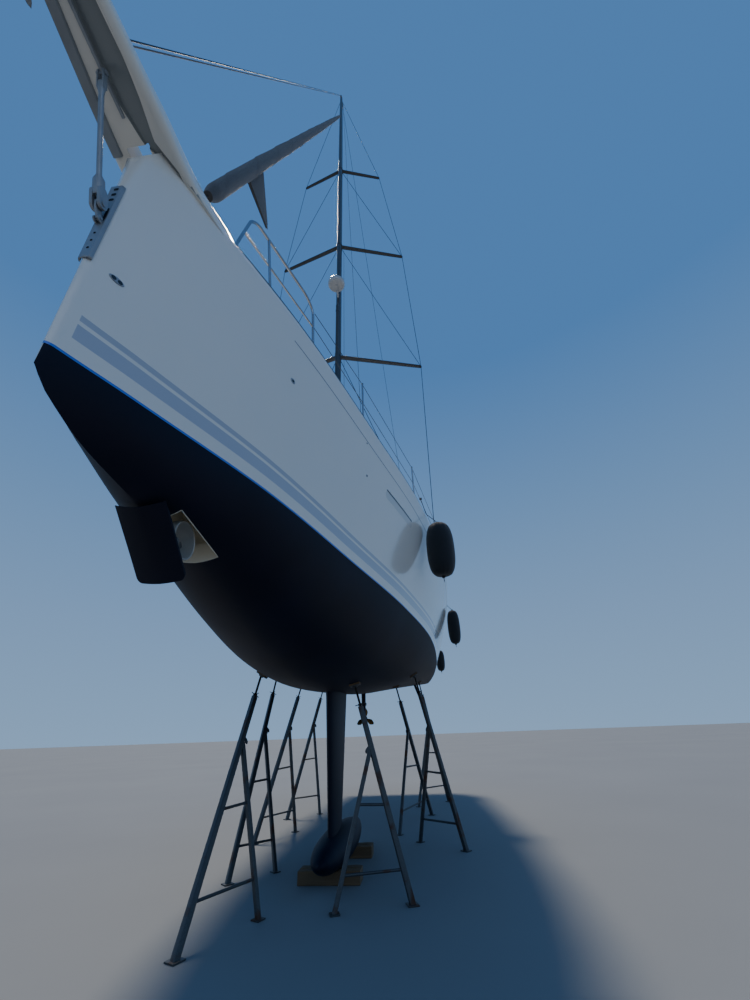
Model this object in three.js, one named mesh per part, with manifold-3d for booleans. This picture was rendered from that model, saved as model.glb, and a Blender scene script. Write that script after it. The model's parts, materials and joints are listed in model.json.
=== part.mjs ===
// A sailing yacht of about seventeen metres, ashore on keel blocks and leaning props.
// Millimetres. +X is forward, +Y is port and +Z is up. The origin is on the ground,
// under the middle of the yacht. Most places are given as a distance aft of the stem.
import * as THREE from "three";
import { mergeVertices } from "three/addons/utils/BufferGeometryUtils.js";
import Module from "manifold-3d";

const wasm = await Module();
wasm.setup();

// Driving dimensions
const HULL_LENGTH = 17200;
const SPRIT_REACH = 1100; // of the bowsprit ahead of the stem
const ANCHOR_REACH = 140; // of the stowed anchor ahead of the sprit
const STEM_X = (HULL_LENGTH - SPRIT_REACH - ANCHOR_REACH) / 2;
const WATERLINE_Z = 3450; // painted waterline above the ground
const GAP = 0.3; // between pieces that touch
const CLEARANCE = 6; // between pieces that move past each other

const DECK_EDGE = 40; // thickness of the deck moulding at its edge
const DECK_CAMBER = 90; // rise of the deck at its middle, amidships

const MAST_AFT = 6750;
const MAST_TOP_Z = 26250;
const MAST_LENGTHWISE = 250;
const MAST_ACROSS = 150;

// Frame and small helpers
const at = (aft, port, up) => new THREE.Vector3(STEM_X - aft, port, up);
const lerp = THREE.MathUtils.lerp;
const degrees = THREE.MathUtils.degToRad;
const BOTH_SIDES = [
  { side: "port", sign: 1 },
  { side: "starboard", sign: -1 },
];

// Solids

function solid(geometry) {
  const bare = geometry.clone();
  bare.deleteAttribute("normal");
  bare.deleteAttribute("uv");
  const merged = mergeVertices(bare, 1e-3);
  return new wasm.Manifold(
    new wasm.Mesh({
      numProp: 3,
      vertProperties: Float32Array.from(merged.attributes.position.array),
      triVerts: Uint32Array.from(merged.index.array),
    }),
  );
}

function geometryOf(manifold) {
  const mesh = manifold.getMesh();
  const geometry = new THREE.BufferGeometry();
  geometry.setAttribute("position", new THREE.BufferAttribute(mesh.vertProperties, 3));
  geometry.setIndex(new THREE.BufferAttribute(mesh.triVerts, 1));
  geometry.computeVertexNormals();
  return geometry;
}

const join = (pieces) => pieces.reduce((whole, piece) => whole.add(piece));

// A box between two corners.
function box(low, high) {
  const size = new THREE.Vector3().subVectors(high, low);
  const middle = new THREE.Vector3().addVectors(low, high).multiplyScalar(0.5);
  const shape = new THREE.BoxGeometry(Math.abs(size.x), Math.abs(size.y), Math.abs(size.z));
  return solid(shape.translate(middle.x, middle.y, middle.z));
}

// A round bar or cone from one point to another.
function rod(from, to, radius, sides = 6, endRadius = radius) {
  const along = new THREE.Vector3().subVectors(to, from);
  const shape = new THREE.CylinderGeometry(endRadius, radius, along.length(), sides);
  shape.translate(0, along.length() / 2, 0);
  const turn = new THREE.Quaternion().setFromUnitVectors(
    new THREE.Vector3(0, 1, 0),
    along.clone().normalize(),
  );
  shape.applyQuaternion(turn).translate(from.x, from.y, from.z);
  return solid(shape);
}

// A turned solid: profile of [radius, height], stood on the base point along an axis.
function turned(profile, base, axis, sides = 16) {
  const points = profile.map(([radius, height]) => new THREE.Vector2(radius, height));
  const shape = new THREE.LatheGeometry(points, sides);
  const turn = new THREE.Quaternion().setFromUnitVectors(
    new THREE.Vector3(0, 1, 0),
    axis.clone().normalize(),
  );
  shape.applyQuaternion(turn).translate(base.x, base.y, base.z);
  return solid(shape);
}

// A closed skin over rings that have equal numbers of points, flat at both ends.
function loft(rings) {
  const count = rings[0].length;
  const positions = rings.flat().flatMap((point) => [point.x, point.y, point.z]);
  const faces = [];
  for (let ring = 0; ring + 1 < rings.length; ring++) {
    for (let i = 0; i < count; i++) {
      const a = ring * count + i;
      const b = ring * count + ((i + 1) % count);
      faces.push(a, b, b + count, a, b + count, a + count);
    }
  }
  const capEnd = (ring, start, reversed) => {
    const normal = ringNormal(ring);
    const across = new THREE.Vector3().subVectors(ring[1], ring[0]);
    across.addScaledVector(normal, -across.dot(normal)).normalize();
    const up = new THREE.Vector3().crossVectors(normal, across);
    const flat = ring.map((point) => new THREE.Vector2(point.dot(across), point.dot(up)));
    for (const [a, b, c] of THREE.ShapeUtils.triangulateShape(flat, [])) {
      faces.push(...(reversed ? [start + a, start + c, start + b] : [start + a, start + b, start + c]));
    }
  };
  capEnd(rings[0], 0, true);
  capEnd(rings[rings.length - 1], (rings.length - 1) * count, false);
  return solid(outward(positions, faces));
}

// The normal of a flat ring, by the areas it casts on the three planes.
function ringNormal(ring) {
  const normal = new THREE.Vector3();
  ring.forEach((point, i) => {
    const next = ring[(i + 1) % ring.length];
    normal.add(new THREE.Vector3().crossVectors(point, next));
  });
  return normal.normalize();
}

// Indexed geometry with its faces turned outward.
function outward(positions, faces) {
  let volume = 0;
  const corner = (i) => new THREE.Vector3().fromArray(positions, 3 * i);
  for (let i = 0; i < faces.length; i += 3) {
    const [a, b, c] = [corner(faces[i]), corner(faces[i + 1]), corner(faces[i + 2])];
    volume += a.dot(b.cross(c));
  }
  if (volume < 0) faces.reverse();
  const geometry = new THREE.BufferGeometry();
  geometry.setAttribute("position", new THREE.Float32BufferAttribute(positions, 3));
  geometry.setIndex(faces);
  return geometry;
}

// A round tube through points, mitred at each bend.
function tube(points, radius, sides = 6) {
  const radii = Array.isArray(radius) ? radius : points.map(() => radius);
  let side = null;
  const rings = points.map((point, i) => {
    const before = points[Math.max(i - 1, 0)];
    const after = points[Math.min(i + 1, points.length - 1)];
    const along = new THREE.Vector3().subVectors(after, before).normalize();
    if (!side) {
      side = new THREE.Vector3(0, 0, 1).cross(along);
      if (side.length() < 0.1) side = new THREE.Vector3(0, 1, 0).cross(along);
    }
    side.addScaledVector(along, -side.dot(along)).normalize();
    const up = new THREE.Vector3().crossVectors(along, side);
    return Array.from({ length: sides }, (_, k) => {
      const angle = (2 * Math.PI * k) / sides;
      return point
        .clone()
        .addScaledVector(side, radii[i] * Math.cos(angle))
        .addScaledVector(up, radii[i] * Math.sin(angle));
    });
  });
  return loft(rings);
}

// A ring round a streamlined section, from its leading to its trailing edge. The thickness
// vector is as long as the section is thick.
function foilRing(leading, trailing, thickness, points = 12) {
  return Array.from({ length: points }, (_, k) => {
    const angle = (2 * Math.PI * (k + 0.5)) / points;
    const s = (1 - Math.cos(angle)) / 2;
    const half = 5 * (0.297 * Math.sqrt(s) - 0.126 * s - 0.352 * s ** 2 + 0.284 * s ** 3 - 0.1 * s ** 4);
    return leading
      .clone()
      .lerp(trailing, s)
      .addScaledVector(thickness, Math.sign(Math.sin(angle)) * half);
  });
}

// An oval ring square to X.
function ovalRing(aft, port, up, halfWidth, halfHeight, points = 14) {
  return Array.from({ length: points }, (_, k) => {
    const angle = (2 * Math.PI * k) / points;
    return at(aft, port + halfWidth * Math.cos(angle), up + halfHeight * Math.sin(angle));
  });
}

// A level oval ring.
function levelRing(aft, port, up, halfLength, halfWidth, points = 14) {
  return Array.from({ length: points }, (_, k) => {
    const angle = (2 * Math.PI * k) / points;
    return at(aft + halfLength * Math.cos(angle), port + halfWidth * Math.sin(angle), up);
  });
}

// What stands on a solid: cut to its surface, then lifted clear of it.
const standOn = (piece, base) => piece.subtract(base).translate([0, 0, GAP]);
const hangUnder = (piece, base) => piece.subtract(base).translate([0, 0, -GAP]);

// What wraps round a solid: cut clear of it on every side.
function wrapRound(piece, base) {
  const shifts = [
    [GAP, 0, 0],
    [0, GAP, 0],
    [0, -GAP, 0],
    [0, 0, GAP],
    [0, 0, -GAP],
  ];
  return shifts.reduce((left, shift) => left.subtract(base.translate(shift)), piece);
}

// The assembly

const yacht = new THREE.Group();
const solids = {};

function finish(color, roughness, metalness) {
  return new THREE.MeshStandardMaterial({ color, roughness, metalness });
}

const FINISH = {
  topsides: finish(0xe9e7e0, 0.25, 0),
  deck: finish(0xe4e2da, 0.6, 0),
  antifouling: finish(0x14171f, 0.85, 0),
  spar: finish(0x33363b, 0.45, 0.3),
  stainless: finish(0xb9bcc0, 0.25, 1),
  wire: finish(0x8e9296, 0.35, 1),
  canvas: finish(0x2b2e35, 0.9, 0),
  cover: finish(0x121316, 0.95, 0),
  carbon: finish(0x1c1d20, 0.4, 0.1),
  glazing: finish(0x1a1d21, 0.1, 0),
  bronze: finish(0x9a7b4a, 0.4, 1),
  alloy: finish(0xd8d8d4, 0.4, 0.4),
  galvanised: finish(0x8d9090, 0.6, 0.7),
  steel: finish(0x6d6f70, 0.7, 0.6),
  timber: finish(0x7a6244, 0.9, 0),
};

function add(name, shape, material) {
  const mesh = new THREE.Mesh(geometryOf(shape), material);
  mesh.name = name;
  yacht.add(mesh);
  solids[name] = shape;
  return shape;
}

// Hull and deck

const HULL_STATIONS = [
  // aft of the stem, half-breadth at the deck and at the waterline, depth of the keel line
  // below the waterline, height of the sheer above it, rise of the floor, fullness, bulge
  [0, 38, 16, 120, 1840, 0.8, 1, 0],
  [90, 80, 48, 195, 1836, 0.6, 1, 1],
  [400, 225, 165, 305, 1822, 0.38, 1.1, 5],
  [1500, 670, 540, 452, 1772, 0.03, 0.62, 10],
  [3000, 1150, 900, 754, 1695, 0.03, 0.82, 25],
  [5000, 1720, 1350, 980, 1615, 0.14, 1.15, 45],
  [7500, 2170, 1750, 940, 1545, 0.12, 1.28, 60],
  [10500, 2370, 1930, 750, 1490, 0.3, 1.3, 60],
  [13500, 2350, 1930, 510, 1460, 0.42, 1.2, 50],
  [16000, 2220, 1820, 270, 1450, 0.45, 1.1, 40],
  [HULL_LENGTH, 2130, 1730, 120, 1450, 0.45, 1.1, 40],
].map(([aft, deck, water, depth, sheer, rise, fullness, bulge]) => ({
  aft,
  deck,
  water,
  depth,
  sheer,
  rise,
  fullness,
  bulge,
}));

// One value of the table at any place along the hull, on a smooth curve through its rows.
function stationValue(column, aft) {
  const rows = HULL_STATIONS;
  const last = rows.length - 1;
  let i = 0;
  while (i < last - 1 && aft > rows[i + 1].aft) i++;
  const slope = (k) => {
    const low = rows[Math.max(k - 1, 0)];
    const high = rows[Math.min(k + 1, last)];
    return (high[column] - low[column]) / (high.aft - low.aft);
  };
  const span = rows[i + 1].aft - rows[i].aft;
  const t = (aft - rows[i].aft) / span;
  const start = rows[i][column];
  const end = rows[i + 1][column];
  const bend = t * (t - 1) * span;
  const straight = lerp(start, end, t * t * (3 - 2 * t));
  return straight + bend * ((t - 1) * slope(i) + t * slope(i + 1));
}

const deckHalf = (aft) => stationValue("deck", aft);
const sheerZ = (aft) => WATERLINE_Z + stationValue("sheer", aft);

// Height of the deck moulding's top at a place.
function deckZ(aft, port) {
  const half = deckHalf(aft);
  const camber = DECK_CAMBER * Math.min(1, half / 2000);
  return sheerZ(aft) + DECK_EDGE + camber * (1 - (port / half) ** 2);
}

// Half a section of the hull, from the keel line up to the sheer, as [port, up] pairs:
// a conic arc to the waterline and a slightly bowed topside above it.
function halfSection(aft, bottomSteps = 9, topSteps = 5) {
  const value = (column) => stationValue(column, aft);
  const [deck, water, depth, sheer] = ["deck", "water", "depth", "sheer"].map(value);
  const topside = { y: (water + deck) / 2 + value("bulge"), z: sheer / 2 };
  const flare = (topside.y - water) / topside.z;
  const bilgeDrop = depth * (1 - value("rise"));
  const bilge = { y: water - bilgeDrop * flare, z: -bilgeDrop };
  const points = [];
  for (let i = 0; i < bottomSteps; i++) {
    const t = i / bottomSteps;
    const weights = [(1 - t) ** 2, 2 * value("fullness") * t * (1 - t), t ** 2];
    const total = weights[0] + weights[1] + weights[2];
    const y = (weights[1] * bilge.y + weights[2] * water) / total;
    const z = (-weights[0] * depth + weights[1] * bilge.z) / total;
    points.push([y, WATERLINE_Z + z]);
  }
  for (let i = 0; i <= topSteps; i++) {
    const t = i / topSteps;
    const y = (1 - t) ** 2 * water + 2 * t * (1 - t) * topside.y + t ** 2 * deck;
    points.push([y, WATERLINE_Z + t * sheer]);
  }
  return points;
}

const HULL_RINGS = 32;
const ringPlaces = Array.from(
  { length: HULL_RINGS + 1 },
  (_, i) => HULL_LENGTH * (i / HULL_RINGS) ** 1.5,
);

function hullRing(aft) {
  const half = halfSection(aft);
  const port = half.map(([y, z]) => at(aft, Math.max(y, 0), z));
  const starboard = half.slice(1).map(([y, z]) => at(aft, -y, z));
  return [...port, ...starboard.reverse()];
}

// Height of the hull's bottom at a place.
function bottomZ(aft, port) {
  const half = halfSection(aft);
  const i = Math.max(1, half.findIndex(([y]) => y >= Math.abs(port)));
  const [low, high] = [half[i - 1], half[i]];
  return lerp(low[1], high[1], (Math.abs(port) - low[0]) / (high[0] - low[0]));
}

// Half-breadth of the topsides at a height above the waterline.
function sideHalf(aft, z) {
  const half = halfSection(aft).filter(([, up]) => up >= WATERLINE_Z);
  const i = Math.min(half.length - 1, Math.max(1, half.findIndex(([, up]) => up >= z)));
  const [low, high] = [half[i - 1], half[i]];
  return lerp(low[0], high[0], (z - low[1]) / (high[1] - low[1]));
}

// Cockpit, companionway and wells, cut from the hull and the deck

const COCKPIT = { front: 11500, benchEnd: 14200, end: 16450, benchZ: 4560, soleZ: 4160 };
const FOOTWELL_HALF = 560;
const BENCH_HALF = 1300;
const HELM_HALF = 1480;
const ABOVE_DECK_Z = 5700;

const cockpitSpace = join([
  box(
    at(COCKPIT.front, -BENCH_HALF, COCKPIT.benchZ),
    at(COCKPIT.end, BENCH_HALF, ABOVE_DECK_Z),
  ),
  box(
    at(COCKPIT.front, -FOOTWELL_HALF, COCKPIT.soleZ),
    at(COCKPIT.end, FOOTWELL_HALF, ABOVE_DECK_Z),
  ),
  box(at(COCKPIT.benchEnd, -HELM_HALF, COCKPIT.soleZ), at(COCKPIT.end, HELM_HALF, ABOVE_DECK_Z)),
]);

const COMPANION = { front: 10750, half: 330, sillZ: 4700, floorZ: 4200 };
const companionSpace = join([
  box(
    at(COMPANION.front, -COMPANION.half, COMPANION.sillZ),
    at(COCKPIT.front + 20, COMPANION.half, ABOVE_DECK_Z),
  ),
  box(
    at(COMPANION.front, -COMPANION.half, COMPANION.floorZ),
    at(COCKPIT.front - 120, COMPANION.half, ABOVE_DECK_Z),
  ),
]);

// Bow thruster: the place of its lid in the hull's skin, its pivot and its swing
const THRUSTER = {
  front: 1055,
  end: 1552,
  half: 155,
  skin: 16,
  lip: 36, // gap ahead of the lid, which swings forward as it opens
  rebate: 70, // length of the lid's thin front edge
  edge: 5, // thickness of that edge
  margin: 8, // gap beside the lid
  endMargin: 12, // gap behind the lid
  pivotAft: 940,
  pivotZ: 3420,
  swing: 34,
};
const THRUSTER_WELL = {
  front: 870,
  step: 1110, // ahead of it the hull is narrow, so the well's floor lies higher
  end: 1610,
  half: 190,
  frontFloorZ: 3225,
  floorZ: 3130,
  topZ: 3600,
};
const thrusterWell = join([
  box(
    at(THRUSTER_WELL.front, -THRUSTER_WELL.half, THRUSTER_WELL.frontFloorZ),
    at(THRUSTER_WELL.end, THRUSTER_WELL.half, THRUSTER_WELL.topZ),
  ),
  box(
    at(THRUSTER_WELL.step, -THRUSTER_WELL.half, THRUSTER_WELL.floorZ),
    at(THRUSTER_WELL.end, THRUSTER_WELL.half, THRUSTER_WELL.topZ),
  ),
  box(
    at(THRUSTER.front - THRUSTER.lip, -THRUSTER.half - THRUSTER.margin, 2500),
    at(THRUSTER.end + THRUSTER.endMargin, THRUSTER.half + THRUSTER.margin, THRUSTER_WELL.topZ),
  ),
]);

const PLATFORM = { half: 1150, lowZ: 3760, highZ: 4560, thickness: 55 };
const platformRecess = box(
  at(HULL_LENGTH - PLATFORM.thickness - CLEARANCE, -PLATFORM.half, PLATFORM.lowZ),
  at(HULL_LENGTH + 50, PLATFORM.half, PLATFORM.highZ),
);

// Lids of the deck: place, size and the edge they hinge on
const LIDS = [
  // name, front, end, half width, hinge edge
  ["anchor_locker_lid", 1500, 2300, 300, "starboard"],
  ["foredeck_hatch", 3300, 3950, 320, "front"],
  ["saloon_hatch", 9000, 9500, 250, "front"],
].map(([name, front, end, half, hinge]) => ({ name, front, end, half, hinge }));
const HATCH_FRAME = 25; // width of the raised frame round a hatch's hole
const HATCH_RISE = 18; // height of that frame above the deck at its highest
const HATCH_DEPTH = 260;
const LID_THICKNESS = 28;

// Rudders

const RUDDER = { aft: 14850, port: 1230, cant: 20, rake: 6, length: 1080, stock: 38, drop: 55 };

function rudderFrame(sign) {
  const cant = degrees(RUDDER.cant);
  const rake = degrees(RUDDER.rake);
  const down = new THREE.Vector3(
    -Math.sin(rake),
    sign * Math.sin(cant) * Math.cos(rake),
    -Math.cos(cant) * Math.cos(rake),
  );
  const side = new THREE.Vector3(1, 0, 0).cross(down).normalize();
  const fore = new THREE.Vector3().crossVectors(down, side).normalize();
  const top = at(RUDDER.aft, sign * RUDDER.port, bottomZ(RUDDER.aft, RUDDER.port));
  return { down, side, fore, top };
}

const DRIVE = { aft: 10700, z: 2150, propellerRadius: 240 };

// Hull: canoe body with every well and bore cut

const canoe = loft(ringPlaces.map(hullRing));
let hull = canoe.subtract(join([cockpitSpace, companionSpace, thrusterWell, platformRecess]));
for (const { sign } of BOTH_SIDES) {
  const { down, top } = rudderFrame(sign);
  const bore = rod(
    top.clone().addScaledVector(down, 80),
    top.clone().addScaledVector(down, -230),
    RUDDER.stock + 5,
    10,
  );
  hull = hull.subtract(bore);
}

// Deck moulding with its coachroof, coamings and hatch frames

function deckRing(aft) {
  const half = deckHalf(aft);
  const edge = sheerZ(aft) + GAP;
  const top = [1, 0.75, 0.45, 0, -0.45, -0.75, -1].map((share) =>
    at(aft, share * half, deckZ(aft, share * half)),
  );
  return [at(aft, half, edge), ...top, at(aft, -half, edge)];
}

const COACHROOF = [
  // aft of the stem, half-breadth at the foot and at the top, height of the top above the sheer
  [4500, 320, 200, 110],
  [5300, 820, 620, 330],
  [6600, 1200, 960, 440],
  [8800, 1400, 1150, 500],
  [COCKPIT.front, 1420, 1180, 520],
].map(([aft, foot, top, height]) => ({ aft, foot, top, height }));
const ROOF_CAMBER = 60;

function roofRing({ aft, foot, top, height }) {
  const z = sheerZ(aft);
  return [
    at(aft, foot, z + 20),
    at(aft, (foot + top) / 2 + 25, z + height * 0.6),
    at(aft, top, z + height),
    at(aft, top * 0.5, z + height + ROOF_CAMBER * 0.75),
    at(aft, 0, z + height + ROOF_CAMBER),
    at(aft, -top * 0.5, z + height + ROOF_CAMBER * 0.75),
    at(aft, -top, z + height),
    at(aft, -(foot + top) / 2 - 25, z + height * 0.6),
    at(aft, -foot, z + 20),
  ];
}

// Height of the deck's or the roof's top on the centreline.
function topZ(aft) {
  if (aft < COACHROOF[0].aft) return deckZ(aft, 0);
  const i = Math.max(1, COACHROOF.findIndex((row) => row.aft >= aft));
  const [low, high] = [COACHROOF[i - 1], COACHROOF[i]];
  const share = (aft - low.aft) / (high.aft - low.aft);
  return lerp(
    sheerZ(low.aft) + low.height,
    sheerZ(high.aft) + high.height,
    share,
  ) + ROOF_CAMBER;
}

const hatchTopZ = (lid) => Math.max(topZ(lid.front), topZ(lid.end)) + HATCH_RISE;

let deck = loft(ringPlaces.map(deckRing)).add(loft(COACHROOF.map(roofRing)));
for (const { sign } of BOTH_SIDES) {
  const coaming = loft(
    [
      [10700, 1330, 1400, 1450, 5040],
      [11600, 1302, 1340, 1500, 5250],
      [14150, 1302, 1340, 1500, 5230],
    ].map(([aft, inner, innerTop, outer, z]) => [
      at(aft, sign * inner, 4950),
      at(aft, sign * innerTop, z),
      at(aft, sign * outer, z),
      at(aft, sign * (outer + 120), 4950),
    ]),
  );
  deck = deck.add(coaming);
}
const HATCH_RAIL = { front: 9950, inner: 372, outer: 402, rise: 45 };
const slideZ = Math.max(topZ(HATCH_RAIL.front), topZ(COCKPIT.front)) + 6; // under the hatch
for (const { sign } of BOTH_SIDES) {
  const { front, inner, outer, rise } = HATCH_RAIL;
  const rail = box(
    at(front, sign * inner, topZ(front) - 60),
    at(COCKPIT.front, sign * outer, slideZ + rise),
  );
  deck = deck.add(rail);
}
for (const lid of LIDS) {
  const z = hatchTopZ(lid);
  const frame = box(at(lid.front, -lid.half, z - 60), at(lid.end, lid.half, z));
  deck = deck.add(frame);
}
const hatchHoles = join(
  LIDS.map((lid) =>
    box(
      at(lid.front + HATCH_FRAME, -lid.half + HATCH_FRAME, hatchTopZ(lid) - HATCH_DEPTH),
      at(lid.end - HATCH_FRAME, lid.half - HATCH_FRAME, hatchTopZ(lid) + 50),
    ),
  ),
);
deck = deck.subtract(cockpitSpace).subtract(companionSpace).subtract(hatchHoles);
hull = hull.subtract(hatchHoles);

add("hull", hull, FINISH.topsides);
for (const [name, front, end] of [
  // the deck moulding in three lengths
  ["foredeck", -100, 4450],
  ["coachroof", 4450 + GAP, COCKPIT.front],
  ["aft_deck", COCKPIT.front + GAP, HULL_LENGTH + 100],
]) {
  const length = deck.intersect(box(at(front, -3000, 4000), at(end, 3000, 6500)));
  add(name, length, FINISH.deck);
}
const hullAndDeck = join([hull, deck, deck.translate([0, 0, -GAP])]); // with their seam closed

for (const lid of LIDS) {
  const z = hatchTopZ(lid) + 4;
  const cover = box(at(lid.front, -lid.half, z), at(lid.end, lid.half, z + LID_THICKNESS));
  add(lid.name, cover, lid.name === "anchor_locker_lid" ? FINISH.deck : FINISH.glazing);
}

const slidingHatch = box(
  at(10740, -365, slideZ),
  at(COCKPIT.front + 10, 365, slideZ + 32),
);
add("companion_hatch", slidingHatch, FINISH.glazing);

const transomPlatform = box(
  at(HULL_LENGTH - PLATFORM.thickness, -PLATFORM.half + CLEARANCE, PLATFORM.lowZ + CLEARANCE),
  at(HULL_LENGTH, PLATFORM.half - CLEARANCE, PLATFORM.highZ - CLEARANCE),
);
add("transom_platform", transomPlatform, FINISH.topsides);

// Keel on its blocks

const BLOCK_HEIGHT = 110;
const BULB_CENTRE_Z = 330;
const bulb = loft(
  [
    // aft of the stem, half width, half height
    [5880, 25, 20],
    [5960, 110, 85],
    [6200, 195, 155],
    [6700, 265, 205],
    [7500, 280, 219],
    [8300, 225, 175],
    [9000, 110, 85],
    [9350, 25, 18],
  ].map(([aft, halfWidth, halfHeight]) => ovalRing(aft, 0, BULB_CENTRE_Z, halfWidth, halfHeight)),
);
const acrossBy = (thickness) => new THREE.Vector3(0, thickness, 0);
const fin = loft([
  foilRing(at(6230, 0, 2800), at(8080, 0, 2800), acrossBy(210)),
  foilRing(at(6560, 0, BULB_CENTRE_Z), at(7480, 0, BULB_CENTRE_Z), acrossBy(110)),
]);
const keelFin = add("keel_fin", hangUnder(fin, hull), FINISH.antifouling);
const keelBulb = add("keel_bulb", hangUnder(bulb, keelFin), FINISH.antifouling);
for (const [name, aft] of [
  ["keel_block_fore", 6650],
  ["keel_block_aft", 8050],
]) {
  const block = box(at(aft - 150, -450, 0), at(aft + 150, 450, 160));
  add(name, block.subtract(keelBulb.translate([0, 0, -GAP])), FINISH.timber);
}

// Rudders, each with its stock

for (const { side, sign } of BOTH_SIDES) {
  const { down, side: across, fore, top } = rudderFrame(sign);
  const ring = ([depth, ahead, behind, thickness]) => {
    const centre = top.clone().addScaledVector(down, depth);
    return foilRing(
      centre.clone().addScaledVector(fore, ahead),
      centre.clone().addScaledVector(fore, -behind),
      across.clone().multiplyScalar(thickness),
    );
  };
  const blade = loft(
    [
      // distance down the stock, chord ahead of it and behind it, thickness
      [RUDDER.drop, 170, 380, 84],
      [RUDDER.length * 0.9, 120, 260, 54],
      [RUDDER.length, 70, 210, 30],
    ].map(ring),
  );
  const stock = rod(
    top.clone().addScaledVector(down, RUDDER.drop + 60),
    top.clone().addScaledVector(down, -200),
    RUDDER.stock,
    10,
  );
  add(`rudder_${side}`, blade.add(stock), FINISH.antifouling);
}

// Drive leg and propeller

const leg = loft([
  foilRing(at(DRIVE.aft - 160, 0, 2850), at(DRIVE.aft + 130, 0, 2850), acrossBy(110)),
  foilRing(at(DRIVE.aft - 130, 0, DRIVE.z), at(DRIVE.aft + 110, 0, DRIVE.z), acrossBy(90)),
]);
const AFTWARD = new THREE.Vector3(-1, 0, 0);
const gearCase = turned(
  [
    [0, 0],
    [35, 10],
    [62, 90],
    [68, 200],
    [60, 330],
    [24, 330],
    [24, 250],
    [0, 250],
  ],
  at(DRIVE.aft - 190, 0, DRIVE.z),
  AFTWARD,
  12,
);
const shaftBore = rod(at(DRIVE.aft + 60, 0, DRIVE.z), at(DRIVE.aft + 200, 0, DRIVE.z), 24, 12);
add("drive_leg", hangUnder(leg.add(gearCase).subtract(shaftBore), hull), FINISH.antifouling);

// A propeller of twisted blades, with its hub and shaft along an axis.
function propeller({ centre, axis, blades, radius, hubRadius, hubLength, chord, shaft }) {
  const along = axis.clone().normalize();
  const reference = new THREE.Vector3(0, 0, 1);
  const hub = turned(
    [
      [0, -hubLength / 2],
      [hubRadius, -hubLength / 2],
      [hubRadius, hubLength * 0.2],
      [hubRadius * 0.5, hubLength / 2],
      [0, hubLength / 2],
    ],
    centre,
    along,
    12,
  );
  const pieces = [hub];
  for (let i = 0; i < blades; i++) {
    const out = reference.clone().applyAxisAngle(along, (2 * Math.PI * i) / blades);
    const round = new THREE.Vector3().crossVectors(along, out);
    const rings = [
      [hubRadius * 0.6, 0.55, 55],
      [radius * 0.6, 1, 35],
      [radius, 0.45, 24],
    ].map(([reach, share, pitch]) => {
      const turn = degrees(pitch);
      const blade = along
        .clone()
        .multiplyScalar(Math.sin(turn))
        .addScaledVector(round, Math.cos(turn));
      const thick = new THREE.Vector3().crossVectors(out, blade).multiplyScalar(chord * 0.12);
      const middle = centre.clone().addScaledVector(out, reach);
      const half = (chord * share) / 2;
      return foilRing(
        middle.clone().addScaledVector(blade, half),
        middle.clone().addScaledVector(blade, -half),
        thick,
        8,
      );
    });
    pieces.push(loft(rings));
  }
  if (shaft) {
    const start = centre.clone().addScaledVector(along, -hubLength / 2 - shaft.length);
    pieces.push(rod(start, centre, shaft.radius, 10));
  }
  return join(pieces);
}

add(
  "propeller",
  propeller({
    centre: at(DRIVE.aft + 210, 0, DRIVE.z),
    axis: AFTWARD,
    blades: 3,
    radius: DRIVE.propellerRadius,
    hubRadius: 52,
    hubLength: 130,
    chord: 150,
    shaft: { length: 50, radius: 18 },
  }),
  FINISH.bronze,
);

// Bow thruster on one pivot: a lid cut from the hull's skin, a tunnel ring, a leg and feet.
// The lid is cut where it closes and then swung down, as it stands in the photograph.

const PORTWARD = new THREE.Vector3(0, 1, 0);
const PIVOT = at(THRUSTER.pivotAft, 0, THRUSTER.pivotZ);
const swungDown = (piece) =>
  piece
    .translate([-PIVOT.x, 0, -PIVOT.z])
    .rotate([0, -THRUSTER.swing, 0])
    .translate([PIVOT.x, 0, PIVOT.z]);

const lidSkin = canoe.subtract(canoe.translate([0, 0, THRUSTER.skin]));
const lidFront = box(
  at(THRUSTER.front - 60, -300, 2900),
  at(THRUSTER.front + THRUSTER.rebate, 300, 3400),
);
const lidRebate = canoe.translate([0, 0, THRUSTER.edge]).intersect(lidFront);
const lidBlank = box(
  at(THRUSTER.front, -THRUSTER.half, 2500),
  at(THRUSTER.end, THRUSTER.half, 3400),
);
const lidFeet = join(
  [-1, 1].map((sign) => box(at(1330, sign * 52, 2950), at(1450, sign * 64, 3125))),
);
const lid = lidSkin.intersect(lidBlank).subtract(lidRebate);
const feet = lidFeet.intersect(canoe.translate([0, 0, THRUSTER.skin / 2]));

const TUNNEL = { aft: 1205, z: 3000, radius: 127, wall: 12, half: 112 };
const tunnelCentre = at(TUNNEL.aft, 0, TUNNEL.z);
const inner = TUNNEL.radius - TUNNEL.wall;
const tunnelRing = turned(
  [
    [inner, 0],
    [TUNNEL.radius, 0],
    [TUNNEL.radius, 2 * TUNNEL.half],
    [inner, 2 * TUNNEL.half],
    [inner, 0],
  ],
  tunnelCentre.clone().addScaledVector(PORTWARD, -TUNNEL.half),
  PORTWARD,
  20,
);
const towardsPivot = new THREE.Vector3().subVectors(PIVOT, tunnelCentre).normalize();
const swingLeg = rod(
  tunnelCentre.clone().addScaledVector(towardsPivot, TUNNEL.radius - 5),
  PIVOT,
  32,
  10,
);
const barrel = rod(
  PIVOT.clone().addScaledVector(PORTWARD, CLEARANCE - THRUSTER_WELL.half),
  PIVOT.clone().addScaledVector(PORTWARD, THRUSTER_WELL.half - CLEARANCE),
  34,
  12,
);
const hubBar = rod(
  tunnelCentre.clone().addScaledVector(PORTWARD, -10),
  tunnelCentre.clone().addScaledVector(PORTWARD, -75),
  32,
  12,
);
const stayStart = tunnelCentre.clone().addScaledVector(PORTWARD, -45);
const stayEnd = stayStart.clone().addScaledVector(towardsPivot, TUNNEL.radius - 5);
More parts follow.
